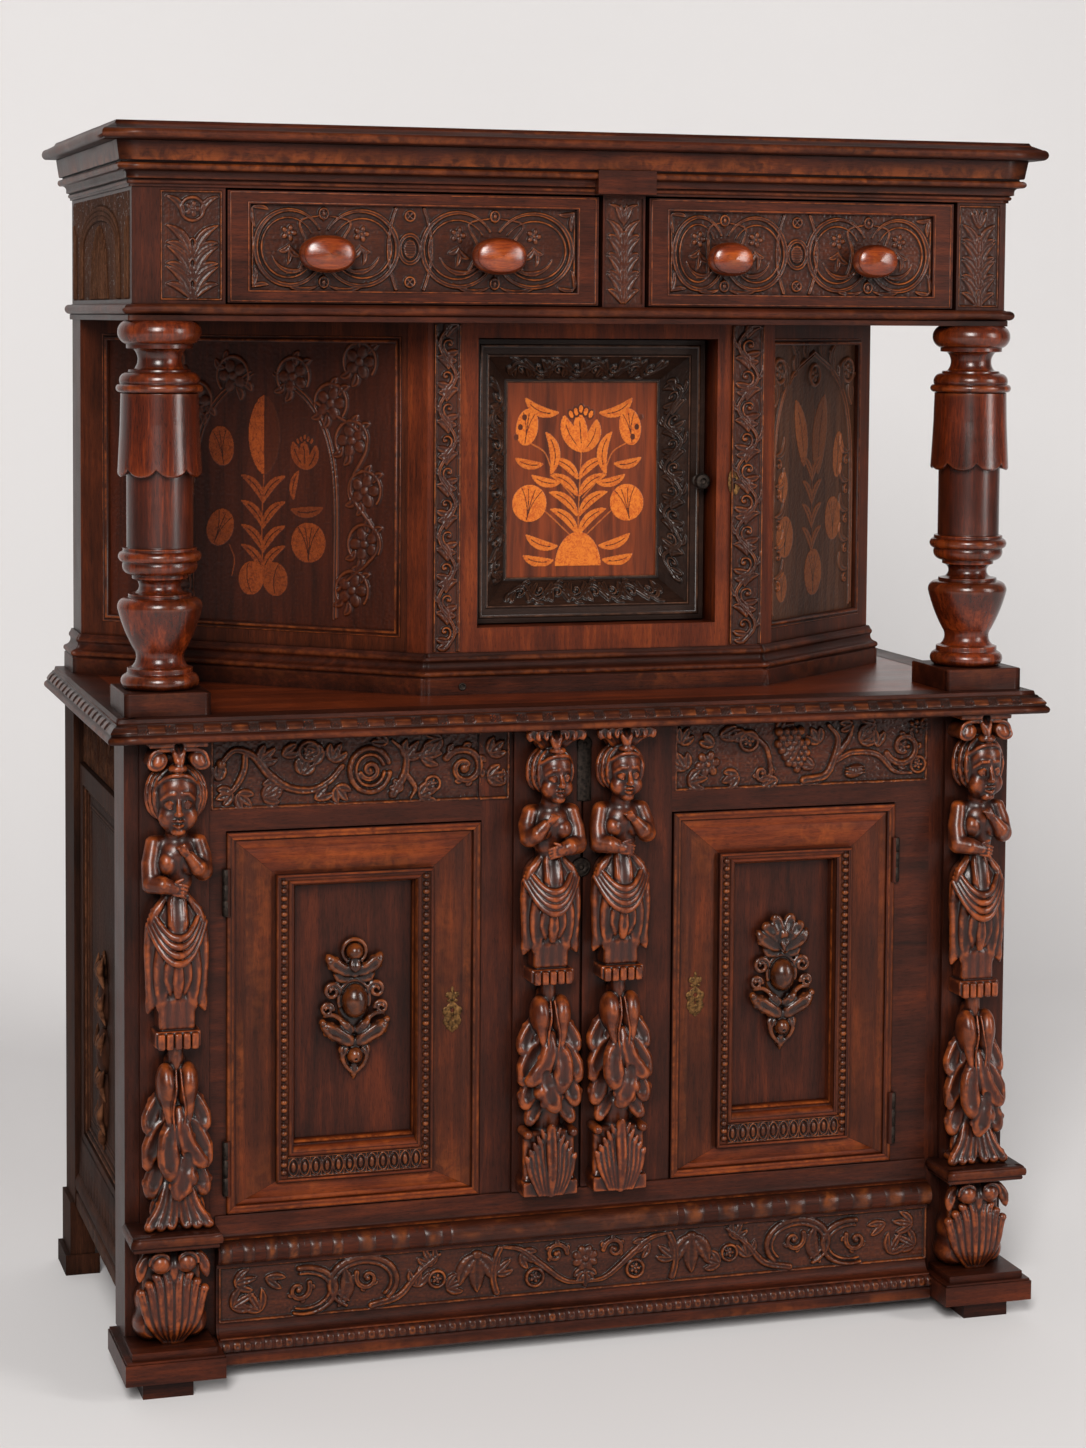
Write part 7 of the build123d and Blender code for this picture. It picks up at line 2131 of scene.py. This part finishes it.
def bead_string(name, x, face, z0, z1, radius, pitch, body):
    """A turned row of pearls and small discs, sunk to half its thickness."""
    count = max(1, int(round((z1 - z0) / pitch)))
    step = (z1 - z0) / count
    share = np.array([0.0, 0.05, 0.14, 0.26, 0.40, 0.54, 0.68, 0.80, 0.90, 0.96])
    form = radius * np.sqrt(np.clip(1 - ((share - 0.47) / 0.44) ** 2, 0.06, 1))
    height = np.concatenate([z0 + step * (k + share) for k in range(count)])
    radii = np.tile(form, count)
    turn = np.linspace(math.pi, 2 * math.pi, 13)[None, :]
    points = np.stack([x + radii[:, None] * np.cos(turn), face + radii[:, None] * np.sin(turn),
                       height[:, None] + 0 * turn], -1)
    # rubbed on the pearls' crowns, painted shade in the necks between them
    wear_and_shading = np.repeat(np.clip((radii - radius * 0.72) * 0.30, -0.9, 0.5)[:, None], 13, 1)
    return mesh_piece(name, points.reshape(-1, 3), grid_quads(len(height), 13)[:, ::-1], "carved_z",
                      body, "oak_carved", fields={"wear_and_shading": wear_and_shading})


def egg_strip(name, x0, x1, z0, z1, face, body):
    """Ovals in raised rings, with a dart between each pair."""
    c = Carving(x1 - x0, z1 - z0, 0.8)
    count = int(round((x1 - x0) / 15.5))
    pitch, m = (x1 - x0) / count, (z1 - z0) / 2
    for k in range(count):
        x = pitch * (k + 0.5)
        c.stroke(arc(x, m, pitch * 0.42, m * 0.80, 0, 360, 24), 1.1, 2.8)
        c.dome(x, m, pitch * 0.26, m * 0.56, 3.8)
        c.stroke([(x - pitch / 2, 2), (x - pitch / 2, 2 * m - 2)], 0.9, 2.4)
    c.stroke([(0, 1.0), (c.width, 1.0)], 1.0, 2.2).stroke([(0, 2 * m - 1), (c.width, 2 * m - 1)], 1.0,
                                                         2.2)
    c.ground(0.2, seed=70).piece(name, (x0, face, z0), **FRONT, material="carved_x", body=body,
                                 slot="oak_carved")


def carve_ornament(name, x, z, face, side, body):
    """Applied spray: a cup or crown on top, a large oval between scrolls, a berry in a drop."""
    b = Block((-52, -1.5, -106), (52, 34, 96), 1.2)
    b.limb([(0, 0, 62), (0, 1, 24), (0, 1, -24), (0, 1, -60), (0, 0, -92)], [10, 24, 20, 15, 7], 3,
           squash=0.30)
    if side < 0:
        b.oval((0, 9, 70), (11.5, 13, 11.5), 0.8)
        b.limb([(16 * math.sin(a), 7, 70 + 16 * math.cos(a)) for a in np.linspace(-2.5, 2.5, 20)], 3.0,
               1.0)
        b.tongue([(0, 7, 60), (0, 12, 50), (0, 8, 36)], 8.5, 7)
    else:
        for turn in (-64, -24, 24, 64):
            a = math.radians(turn)
            b.tongue([(4 * math.sin(a), 7, 50), (14 * math.sin(a), 14, 58 + 8 * math.cos(a)),
                      (25 * math.sin(a), 11, 62 + 20 * math.cos(a)),
                      (30 * math.sin(a), 14, 62 + 26 * math.cos(a))], 9.5, 7, lobes=1)
        b.oval((0, 13, 62), (8, 9, 9), 1.0)
        b.tongue([(0, 9, 56), (3, 14, 46), (6, 8, 34)], 8, 7)
    for s in (-1, 1):
        b.tongue(mirrored([(3, 5, 40), (16, 10, 46), (29, 11, 56), (37, 8, 66)], s), 9.5, 7, lobes=2)
        b.tongue(mirrored([(6, 5, 34), (18, 8, 34), (27, 7, 42)], s), 6.5, 5)
        # scrolls beside the oval and smaller loops under them
        for cx, cz, size, half in ((30, 17, 11.5, 3.6), (37, -7, 9.0, 3.0)):
            turn = np.linspace(0, 2.9 * math.pi, 34)
            r = size * (1 - 0.72 * turn / turn[-1])
            b.limb([(s * (cx - v * math.cos(a)), 7 + 3 * a / turn[-1], cz + v * math.sin(a))
                    for a, v in zip(turn, r)], np.linspace(half, half * 0.6, 34), 0.9)
        b.limb(through(mirrored([(4, 6, -46), (14, 10, -26), (28, 9, -15), (40, 7, -16)], s), 5),
               np.linspace(4.2, 2.8, 16), 1.0)
        b.tongue(mirrored([(2, 9, -54), (16, 13, -44), (33, 13, -34), (45, 9, -24)], s), 10.5, 8,
                 lobes=3)
        b.oval((s * 44, 11, -23), (4.8, 6, 4.8), 1.2)
        b.tongue(mirrored([(2, 9, -38), (10, 14, -30), (20, 12, -22)], s), 6.0, 5)
        b.limb(through(mirrored([(12, 6, -50), (17, 10, -64), (14, 10, -80), (4, 8, -92)], s), 5),
               np.linspace(4.6, 2.6, 16), 1.0)
        b.limb(through(mirrored([(16, 8, -54), (20, 10, -62), (15, 12, -68), (11, 12, -60)], s), 4),
               2.4, 0.8)
    b.oval((0, 10, 4), (18, 18, 23), 0.7)
    b.limb([(21 * math.sin(a), 7, 5 + 26 * math.cos(a)) for a in np.linspace(-1.9, 1.9, 20)], 2.8, 0.9)
    b.oval((0, 10, -69), (11, 13, 12), 0.7)
    b.limb([(0, 20, -73), (0, 25, -73)], 1.8, 0.5, cut=True)
    b.limb([(0, 5, -84), (0, 5, -96), (0, 4, -103)], [6, 4.5, 1.5], 1)
    b.piece(name + "_carving", on_front(x, face, z), "ornament", body=body, slot="oak_carved",
            stands_for=(name,))


def key_plate(name, x, z, face, body):
    """A pierced plate with lobed edges and a small crown."""
    b = Block((-15, -1.5, -31), (15, 4, 37), 0.7)
    b.oval((0, 0, -4), (11.5, 2.0, 17), 1.0)
    for s in (-1, 1):
        b.oval((s * 9.5, 0, 1), (4.5, 1.9, 6), 1.0)
        b.oval((s * 8.5, 0, -13), (4.5, 1.9, 6), 1.0)
        b.oval((s * 5.0, 0, -20), (4, 1.8, 5), 1.0)
        b.oval((s * 6.0, 0, 23), (4.0, 1.8, 4.5), 0.8)
        b.oval((s * 5.5, 0, 15), (2.5, 1.8, 2.5), 0.8)
    b.oval((0, 0, 20), (4.5, 1.9, 9), 0.8)
    b.oval((0, 0, 30), (2.4, 1.8, 5), 0.8)
    b.oval((0, 0, -24), (4, 1.8, 4.5), 0.8)
    b.oval((0, 2, 2), (3.2, 4, 3.2), 0.4, cut=True)
    b.limb([(0, 2, 1), (0, 2, -11)], [1.6, 2.0], 0.4, cut=True)
    for z1 in (-22, 16, 27):
        b.oval((0, 2.0, z1), (1.3, 1.3, 1.3), 0.3)
    b.piece(name + "_plate", on_front(x, face, z), "brass", body=body, slot="iron", relax=1,
            stands_for=(name,))


def build_doors():
    """Mitred frames in six steps, with pearls, ovals, ornaments and ironwork."""
    for name, side in (("door_left", -1), ("door_right", 1)):
        (x0, _, z0), (x1, _, z1) = span(name + "_frame")
        face = span("lower_frieze_left")[0][1]
        # the frame's reach without its hinge barrels
        x0, x1 = (x0 + 3.5, x1) if side < 0 else (x0, x1 - 3.5)
        outer = (x0, x1, z0, z1)
        bead, inner = drawn_in(outer, 10, 10, 10), drawn_in(outer, 66, 38, 58)
        bed, lip = drawn_in(inner, 4, 4, 4), drawn_in(inner, 16, 34, 8)
        edge, panel = drawn_in(lip, 5, 5, 5), drawn_in(inner, 27, 54, 18)
        for part, outside, inside, section in (
                ("bead", outer, bead, ((0, 0.2), (0.04, 3.6), (0.2, 4.8), (0.5, 4.8), (0.56, 4.2),
                                       (0.64, 4.7), (0.9, 4.7), (1.0, 3.4), (1.02, 0.4))),
                ("boards", bead, inner, ((0, 0.3), (0.03, 0.8), (0.06, 1.4), (0.22, 1.5), (0.24, 0.9),
                                         (0.28, 0.9), (0.30, 1.5), (0.88, 1.5), (0.92, 0.8),
                                         (1.0, 0.6))),
                ("lip", inner, bed, ((0, 0.5), (0.06, 8.0), (0.3, 9.7), (0.75, 9.7), (1.0, 8.2),
                                     (1.05, 6.5))),
                ("bed", bed, lip, ((0, 6.6), (0.5, 6.5), (1.0, 6.6))),
                ("inner_lip", lip, edge, ((0, 6.4), (0.1, 8.0), (0.4, 8.9), (0.8, 8.7), (1.0, 7.2))),
                ("slope", edge, panel, ((0, 7.2), (0.12, 6.6), (0.35, 3.0), (0.5, 0.0), (0.55, -1.4),
                                        (0.8, -3.0), (0.92, -7.0), (1.0, -12.2)))):
            picture_frame(name + "_" + part, outside, inside, section, face, name)
        for letter, x in (("a", inner[0] + 10.2), ("b", inner[1] - 10.2)):
            bead_string(name + "_pearls_" + letter, x, face - 6.2, bed[2] + 4, bed[3] - 1, 5.0, 10.4,
                        name)
        egg_strip(name + "_eggs", inner[0] + 15.5, inner[1] - 15.5, bed[2] + 1, lip[2] - 0.5,
                  face - 6.8, name)
        x, _, z = middle_of(name + "_ornament")
        carve_ornament(name + "_ornament", x, z + 8.0, face + 12.0, side, name)
        x, _, z = middle_of(name + "_key_plate")
        key_plate(name + "_key_plate", x, z - 3.0, face - 1.2, name)
        x = x0 - 1.0 if side < 0 else x1 + 1.0
        for k, (za, zb) in enumerate(((z0 + 25, z0 + 98), (z1 - 110, z1 - 47))):
            third = (zb - za) / 3
            profile = [(0.0, za)]
            for j in range(3):
                profile += [(4.0, za + j * third + 0.2), (4.9, za + j * third + 1.2),
                            (4.9, za + (j + 1) * third - 1.2), (4.0, za + (j + 1) * third - 0.2)]
            lathe("%s_hinge_%d" % (name, k), x, face - 4.8, np.array(profile + [(0.0, zb)]), "iron",
                  body=name, slot="iron")


def build_centre():
    """Iron strap and disc nailed to the stile between the middle figures."""
    plane = span("front_post_left")[0][1]
    b = Block((-12, -2, -78), (12, 5, 14), 0.9)
    b.limb([(0, 0, 0), (0, 0, -76)], 10.4, 0.5, squash=0.26)
    b.oval((0, 1, 0), (11, 2.6, 11), 0.5)
    b.oval((0, 3.4, 0), (2.8, 1.6, 2.8), 0.3)
    b.piece("centre_strap", on_front(-4.5, plane, 829.0), "iron", slot="iron", relax=1)
    disc = outline((13.4, 0.0), (13.4, 1.6), (12.0, 2.6), (10.6, 2.4), ((8.0, 3.2), (3.6, 2.4)),
                   ((2.4, 4.2), (0.05, 4.6)), fineness=0.8)
    fitting("centre_disc", -7.9, 660.2, plane, disc, "iron", slot="iron")


# ---- Sides and back ----------------------------------------------------------------------------
def build_sides():
    """Arcaded frieze, sunk panel with its hanging ornament and moulded rail of each end."""
    for side, name in ((-1, "left"), (1, "right")):
        (_, y0, foot), (_, y1, head) = span("side_wall_" + name)
        axes, x = side_face(side, SIDE_FACE)
        start = y1 if side < 0 else y0
        width, height = y1 - y0 - 8.0, head - 8.0 - FRIEZE_FOOT
        frieze = Carving(width, height, 1.3)
        for cx in np.linspace(34, width - 34, 5):
            for inset in (0.0, 7.0, 14.0):
                r = 31.0 - inset
                frieze.stroke(np.vstack([[(cx - r, 3)], arc(cx, 52, r, 34 - inset, 180, 0, 22),
                                         [(cx + r, 3)]]), 2.0, 3.6)
            for k in (-2, -1, 0, 1, 2):
                frieze.stroke([(cx + 5.6 * k, 3), (cx + 5.6 * k, 60 - 4 * abs(k))], 1.9, 3.2)
        frieze.ground(0.3, seed=80)
        frieze.piece("side_frieze_" + name, (x + 0.2 * side, start + side * 4.0, FRIEZE_FOOT), **axes,
                     material="side_z", slot="oak_side")
        # sunk panel: a flat field with a raised ovolo and scratched lines
        p0, p1, q0, q1 = y0 + 34.0, y1 - 34.0, 221.0, 730.0
        panel = Carving(p1 - p0, q1 - q0, 1.6)
        for inset, half, rise in ((3.0, 3.2, 6.4), (9.5, 2.0, 3.0), (26.0, 1.6, 2.2), (31.0, 1.2, 1.6)):
            border(panel, inset, half, rise)
        panel.ground(0.25, seed=81)
        panel.piece("side_panel_" + name, (x + 0.2 * side, p1 if side < 0 else p0, q0), **axes,
                    material="side_z", slot="oak_side")
        carve_side_ornament(name, side, (p0 + p1) / 2, 380.0)

        def leaves(along, height):
            """A strip of cut leaves in the hollow of the bottom rail."""
            across = np.clip(1 - ((height - (foot + 65.0)) / 12.0) ** 2, 0, 1)
            place = (along / 26.0) % 1
            return (across > 0) * (3.0 * np.sqrt(across) * np.abs(np.sin(math.pi * place)) ** 0.6
                                   - 1.2 * (np.abs(place - 0.5) < 0.05) - 1.2)

        path = [(side * SIDE_RAIL, y1), (side * SIDE_RAIL, y0)][::-side]
        moulding("side_rail_" + name, path,
                 outline((-20.7, -0.2), (-5, -0.2), (-2, 4), (-2, 22), (-5, 26), ((-1, 40), (-6, 54)),
                         (-7, 60), (-7.2, 84), (-8, 109), at=(SKIN, foot), fineness=1.8), "side_y",
                 seed=30, carve=leaves, station=2.4)


def carve_side_ornament(name, side, y, z):
    """A hanging drop of fruit and leaves on the side panel."""
    b = Block((-38, -1.5, -150), (38, 16, 150), 1.6)
    b.limb([(0, 2, 140), (0, 3, -140)], [2.0, 2.4], 1)
    b.limb([(9 * math.sin(a), 3, 128 + 9 * math.cos(a)) for a in np.linspace(-2.6, 2.6, 16)], 2.6, 1)
    for level, spread in ((112, 18), (64, 26), (10, 30), (-44, 26), (-92, 18)):
        for s in (-1, 1):
            b.blade(mirrored([(1, 4, level - 14), (spread * 0.5, 10, level + 2),
                              (spread, 7, level + 22)], s), 9, 6, 3)
            b.blade(mirrored([(1, 4, level + 8), (spread * 0.5, 8, level - 8),
                              (spread * 0.85, 4, level - 24)], s), 7, 5, 2)
        b.oval((0, 6, level), (12, 9, 16), 1.0)
    b.oval((0, 5, -122), (7, 7, 12), 1)

    def place(p):
        return np.stack([side * (SIDE_FACE + p[:, 1]), y + p[:, 0], z + p[:, 2]], -1)

    b.piece("side_ornament_" + name, place, "side_z", slot="oak_side")


def build_back():
    """Upright boards with butt joints and cut nails across the open backs."""
    nail_head = outline((3.4, 0.0), (3.2, 0.7), ((2.0, 1.5), (0.05, 1.6)), fineness=0.6)
    for name, seed in (("upper_back", 90), ("lower_back", 91)):
        low, high = span(name)
        rng = np.random.default_rng(seed)
        edges = np.linspace(low[0], high[0], 7) + np.r_[0, rng.uniform(-22, 22, 5), 0]
        for k, (a, b) in enumerate(zip(edges[:-1], edges[1:])):
            board = Carving(b - a - 1.2, high[2] - low[2], 6.0)
            board.h[:, 1:-1] += 0.7
            board.h = board.h + smooth_noise(board.h.shape, 9, rng) * 0.35
            board.piece("%s_board_%d" % (name, k), (b - 0.6, high[1] - 0.2, low[2]), (-1, 0, 0),
                        (0, 0, 1), (0, 1, 0), "plain_z")
            for z in (low[2] + 16.0, (low[2] + high[2]) / 2, high[2] - 16.0):
                fitting("%s_nail_%d_%d" % (name, k, int(z)), (a + b) / 2, z, high[1] + 0.4, nail_head,
                        "iron", steps=8, way=1, slot="iron")


# ---- Stage -------------------------------------------------------------------------------------
def soft_light(name, place, aim, width, height, power):
    """A soft box that the camera doesn't see."""
    lamp = bpy.data.lights.new(name, "AREA")
    lamp.shape = "RECTANGLE"
    lamp.size, lamp.size_y, lamp.energy = width, height, power
    lamp.color = (1.0, 0.97, 0.94)
    holder = bpy.data.objects.new(name, lamp)
    holder.location = place
    holder.rotation_mode = "QUATERNION"
    holder.rotation_quaternion = (Vector(aim) - Vector(place)).to_track_quat("-Z", "Y")
    holder.visible_camera = False
    bpy.context.scene.collection.objects.link(holder)
    return holder


def make_stage():
    """Paper sweep, world, lamps and camera."""
    scene = bpy.context.scene
    settings = scene.cupboard_stage
    scene.view_settings.view_transform = "Standard"

    # seamless paper: floor and wall joined by a wide sweep behind the cupboard
    material, node = new_material("backdrop_paper")
    place = node("TexCoord", out="Object")
    # faint unevenness of lit paper, about a metre across
    cloud = node("TexNoise", {"Vector": place, "Scale": noise_scale(1110.0), "Detail": 2.0,
                              "Roughness": 0.55})
    colour = node("ValToRGB", {0: cloud}, stops=((0.3, "#E0DFE0"), (0.7, "#E3E2E3")))
    paper = node("BsdfPrincipled", {"Base Color": colour, "Roughness": 0.9})
    # the paper has a lit side only, so the cupboard can be looked at from behind it
    reverse = node("NewGeometry", out="Backfacing")
    clear = node("BsdfTransparent")
    node("OutputMaterial", {0: node("MixShader", {0: reverse, 1: paper, 2: clear})})
    sweep = [(-9.0, 0.0), (1.6, 0.0)]
    sweep += [(1.6 + 1.6 * math.sin(a), 1.6 - 1.6 * math.cos(a)) for a in np.linspace(0.1, 1.57, 14)]
    sweep += [(3.2, 7.0)]
    points = [(x, y, z) for y, z in sweep for x in (-9.0, 9.0)]
    mesh = bpy.data.meshes.new("backdrop")
    mesh.from_pydata(points, [], [(2 * k, 2 * k + 1, 2 * k + 3, 2 * k + 2)
                                  for k in range(len(sweep) - 1)])
    mesh.polygons.foreach_set("use_smooth", [True] * len(mesh.polygons))
    mesh.materials.append(material)
    backdrop = bpy.data.objects.new("backdrop", mesh)
    scene.collection.objects.link(backdrop)

    world = bpy.data.worlds.new("studio")
    world.use_nodes = True
    world.node_tree.nodes["Background"].inputs["Color"].default_value = srgb("#F7F3F0")
    world.node_tree.nodes["Background"].inputs["Strength"].default_value = settings.sky
    scene.world = world
    centre = (0.0, -0.2, 0.85)
    lights = [soft_light("key_light", (-2.4, -6.12, 4.13), centre, 1.76, 3.2, settings.key),
              soft_light("fill_light", (4.8, -5.0, 2.69), centre, 1.44, 3.84, settings.fill),
              soft_light("wall_light", (1.4, 0.8, 3.7), (1.8, 3.2, 0.9), 4.6, 0.6, settings.wall)]

    # camera stands slightly to the left, level with the canopy
    yaw, pitch, roll = (math.radians(a) for a in (16.9734, -3.9046, 0.4203))
    ahead = Vector((math.sin(yaw) * math.cos(pitch), math.cos(yaw) * math.cos(pitch),
                    math.sin(pitch)))
    right = Vector((math.cos(yaw), -math.sin(yaw), 0.0))
    up = right.cross(ahead)
    right, up = (right * math.cos(roll) + up * math.sin(roll),
                 up * math.cos(roll) - right * math.sin(roll))
    data = bpy.data.cameras.new("camera")
    data.lens = settings.focal_length
    data.shift_y = -0.1402
    camera = bpy.data.objects.new("camera", data)
    turned = Matrix((right, up, -ahead)).transposed()
    camera.matrix_world = Matrix.Translation(Vector((-1.22374, -4.03823, 1.40226))) \
        @ turned.to_4x4()
    scene.collection.objects.link(camera)
    scene.camera = camera


# ---- Operators, panel and registration ---------------------------------------------------------
class CUPBOARD_OT_boards(bpy.types.Operator):
    """Put waxed oak on the boards and soften their edges"""
    bl_idname = "cupboard.boards"
    bl_label = "Finish Boards"

    def execute(self, context):
        MATERIALS.update(make_materials())
        finish_boards()
        return {"FINISHED"}


class CUPBOARD_OT_canopy(bpy.types.Operator):
    """Build the canopy's mouldings, its carved frieze and the drawers"""
    bl_idname = "cupboard.canopy"
    bl_label = "Build Canopy"

    def execute(self, context):
        build_canopy_mouldings()
        build_frieze()
        build_drawers()
        return {"FINISHED"}


class CUPBOARD_OT_columns(bpy.types.Operator):
    """Turn the columns with their scalloped sleeves"""
    bl_idname = "cupboard.columns"
    bl_label = "Build Columns"

    def execute(self, context):
        build_columns()
        return {"FINISHED"}


class CUPBOARD_OT_recess(bpy.types.Operator):
    """Build the recessed cupboard's carving, marquetry and plinth"""
    bl_idname = "cupboard.recess"
    bl_label = "Build Recess"

    def execute(self, context):
        build_recess_front()
        build_recess_panels()
        return {"FINISHED"}


class CUPBOARD_OT_table(bpy.types.Operator):
    """Carve the edge of the table board"""
    bl_idname = "cupboard.table"
    bl_label = "Build Table"

    def execute(self, context):
        build_table()
        return {"FINISHED"}


class CUPBOARD_OT_figures(bpy.types.Operator):
    """Carve the four term figures"""
    bl_idname = "cupboard.figures"
    bl_label = "Build Figures"

    def execute(self, context):
        build_figures()
        return {"FINISHED"}


class CUPBOARD_OT_corners(bpy.types.Operator):
    """Carve the corbels and their impost shelves"""
    bl_idname = "cupboard.corners"
    bl_label = "Build Corners"

    def execute(self, context):
        build_corbels()
        return {"FINISHED"}


class CUPBOARD_OT_base(bpy.types.Operator):
    """Carve the lower friezes, the moulded base and the centre fittings"""
    bl_idname = "cupboard.base"
    bl_label = "Build Base"

    def execute(self, context):
        build_lower_friezes()
        build_base()
        build_centre()
        return {"FINISHED"}


class CUPBOARD_OT_doors(bpy.types.Operator):
    """Build the lower doors' frames, ornaments and ironwork"""
    bl_idname = "cupboard.doors"
    bl_label = "Build Doors"

    def execute(self, context):
        build_doors()
        return {"FINISHED"}


class CUPBOARD_OT_sides(bpy.types.Operator):
    """Carve the sides and board the back"""
    bl_idname = "cupboard.sides"
    bl_label = "Build Sides"

    def execute(self, context):
        build_sides()
        build_back()
        return {"FINISHED"}


class CUPBOARD_OT_stage(bpy.types.Operator):
    """Set up the backdrop, the lights and the camera"""
    bl_idname = "cupboard.stage"
    bl_label = "Set Stage"

    def execute(self, context):
        make_stage()
        return {"FINISHED"}


class CUPBOARD_PT_panel(bpy.types.Panel):
    """Settings and build steps of the cupboard."""
    bl_label = "Court Cupboard"
    bl_idname = "CUPBOARD_PT_panel"
    bl_space_type = "VIEW_3D"
    bl_region_type = "UI"
    bl_category = "Cupboard"

    def draw(self, context):
        scene, layout = context.scene, self.layout
        for settings in (scene.cupboard_finish, scene.cupboard_carving, scene.cupboard_moulding,
                         scene.cupboard_stage):
            box = layout.box()
            for name in settings.__annotations__:
                box.prop(settings, name)
        for operator in OPERATORS:
            layout.operator(operator.bl_idname)


OPERATORS = (CUPBOARD_OT_boards, CUPBOARD_OT_canopy, CUPBOARD_OT_columns, CUPBOARD_OT_recess,
             CUPBOARD_OT_table, CUPBOARD_OT_figures, CUPBOARD_OT_corners, CUPBOARD_OT_base,
             CUPBOARD_OT_doors, CUPBOARD_OT_sides, CUPBOARD_OT_stage)
CLASSES = (FinishSettings, CarvingSettings, MouldingSettings, StageSettings, *OPERATORS,
           CUPBOARD_PT_panel)


def register():
    """Adds the classes and the scene's settings."""
    for cls in CLASSES:
        bpy.utils.register_class(cls)
    bpy.types.Scene.cupboard_finish = bpy.props.PointerProperty(type=FinishSettings)
    bpy.types.Scene.cupboard_carving = bpy.props.PointerProperty(type=CarvingSettings)
    bpy.types.Scene.cupboard_moulding = bpy.props.PointerProperty(type=MouldingSettings)
    bpy.types.Scene.cupboard_stage = bpy.props.PointerProperty(type=StageSettings)


def unregister():
    """Takes them away again."""
    del bpy.types.Scene.cupboard_stage
    del bpy.types.Scene.cupboard_moulding
    del bpy.types.Scene.cupboard_carving
    del bpy.types.Scene.cupboard_finish
    for cls in reversed(CLASSES):
        bpy.utils.unregister_class(cls)


def main():
    """Builds the cupboard by running each operator."""
    register()
    for operator in OPERATORS:
        group, name = operator.bl_idname.split(".")
        getattr(getattr(bpy.ops, group), name)()


if __name__ == "__main__":
    main()
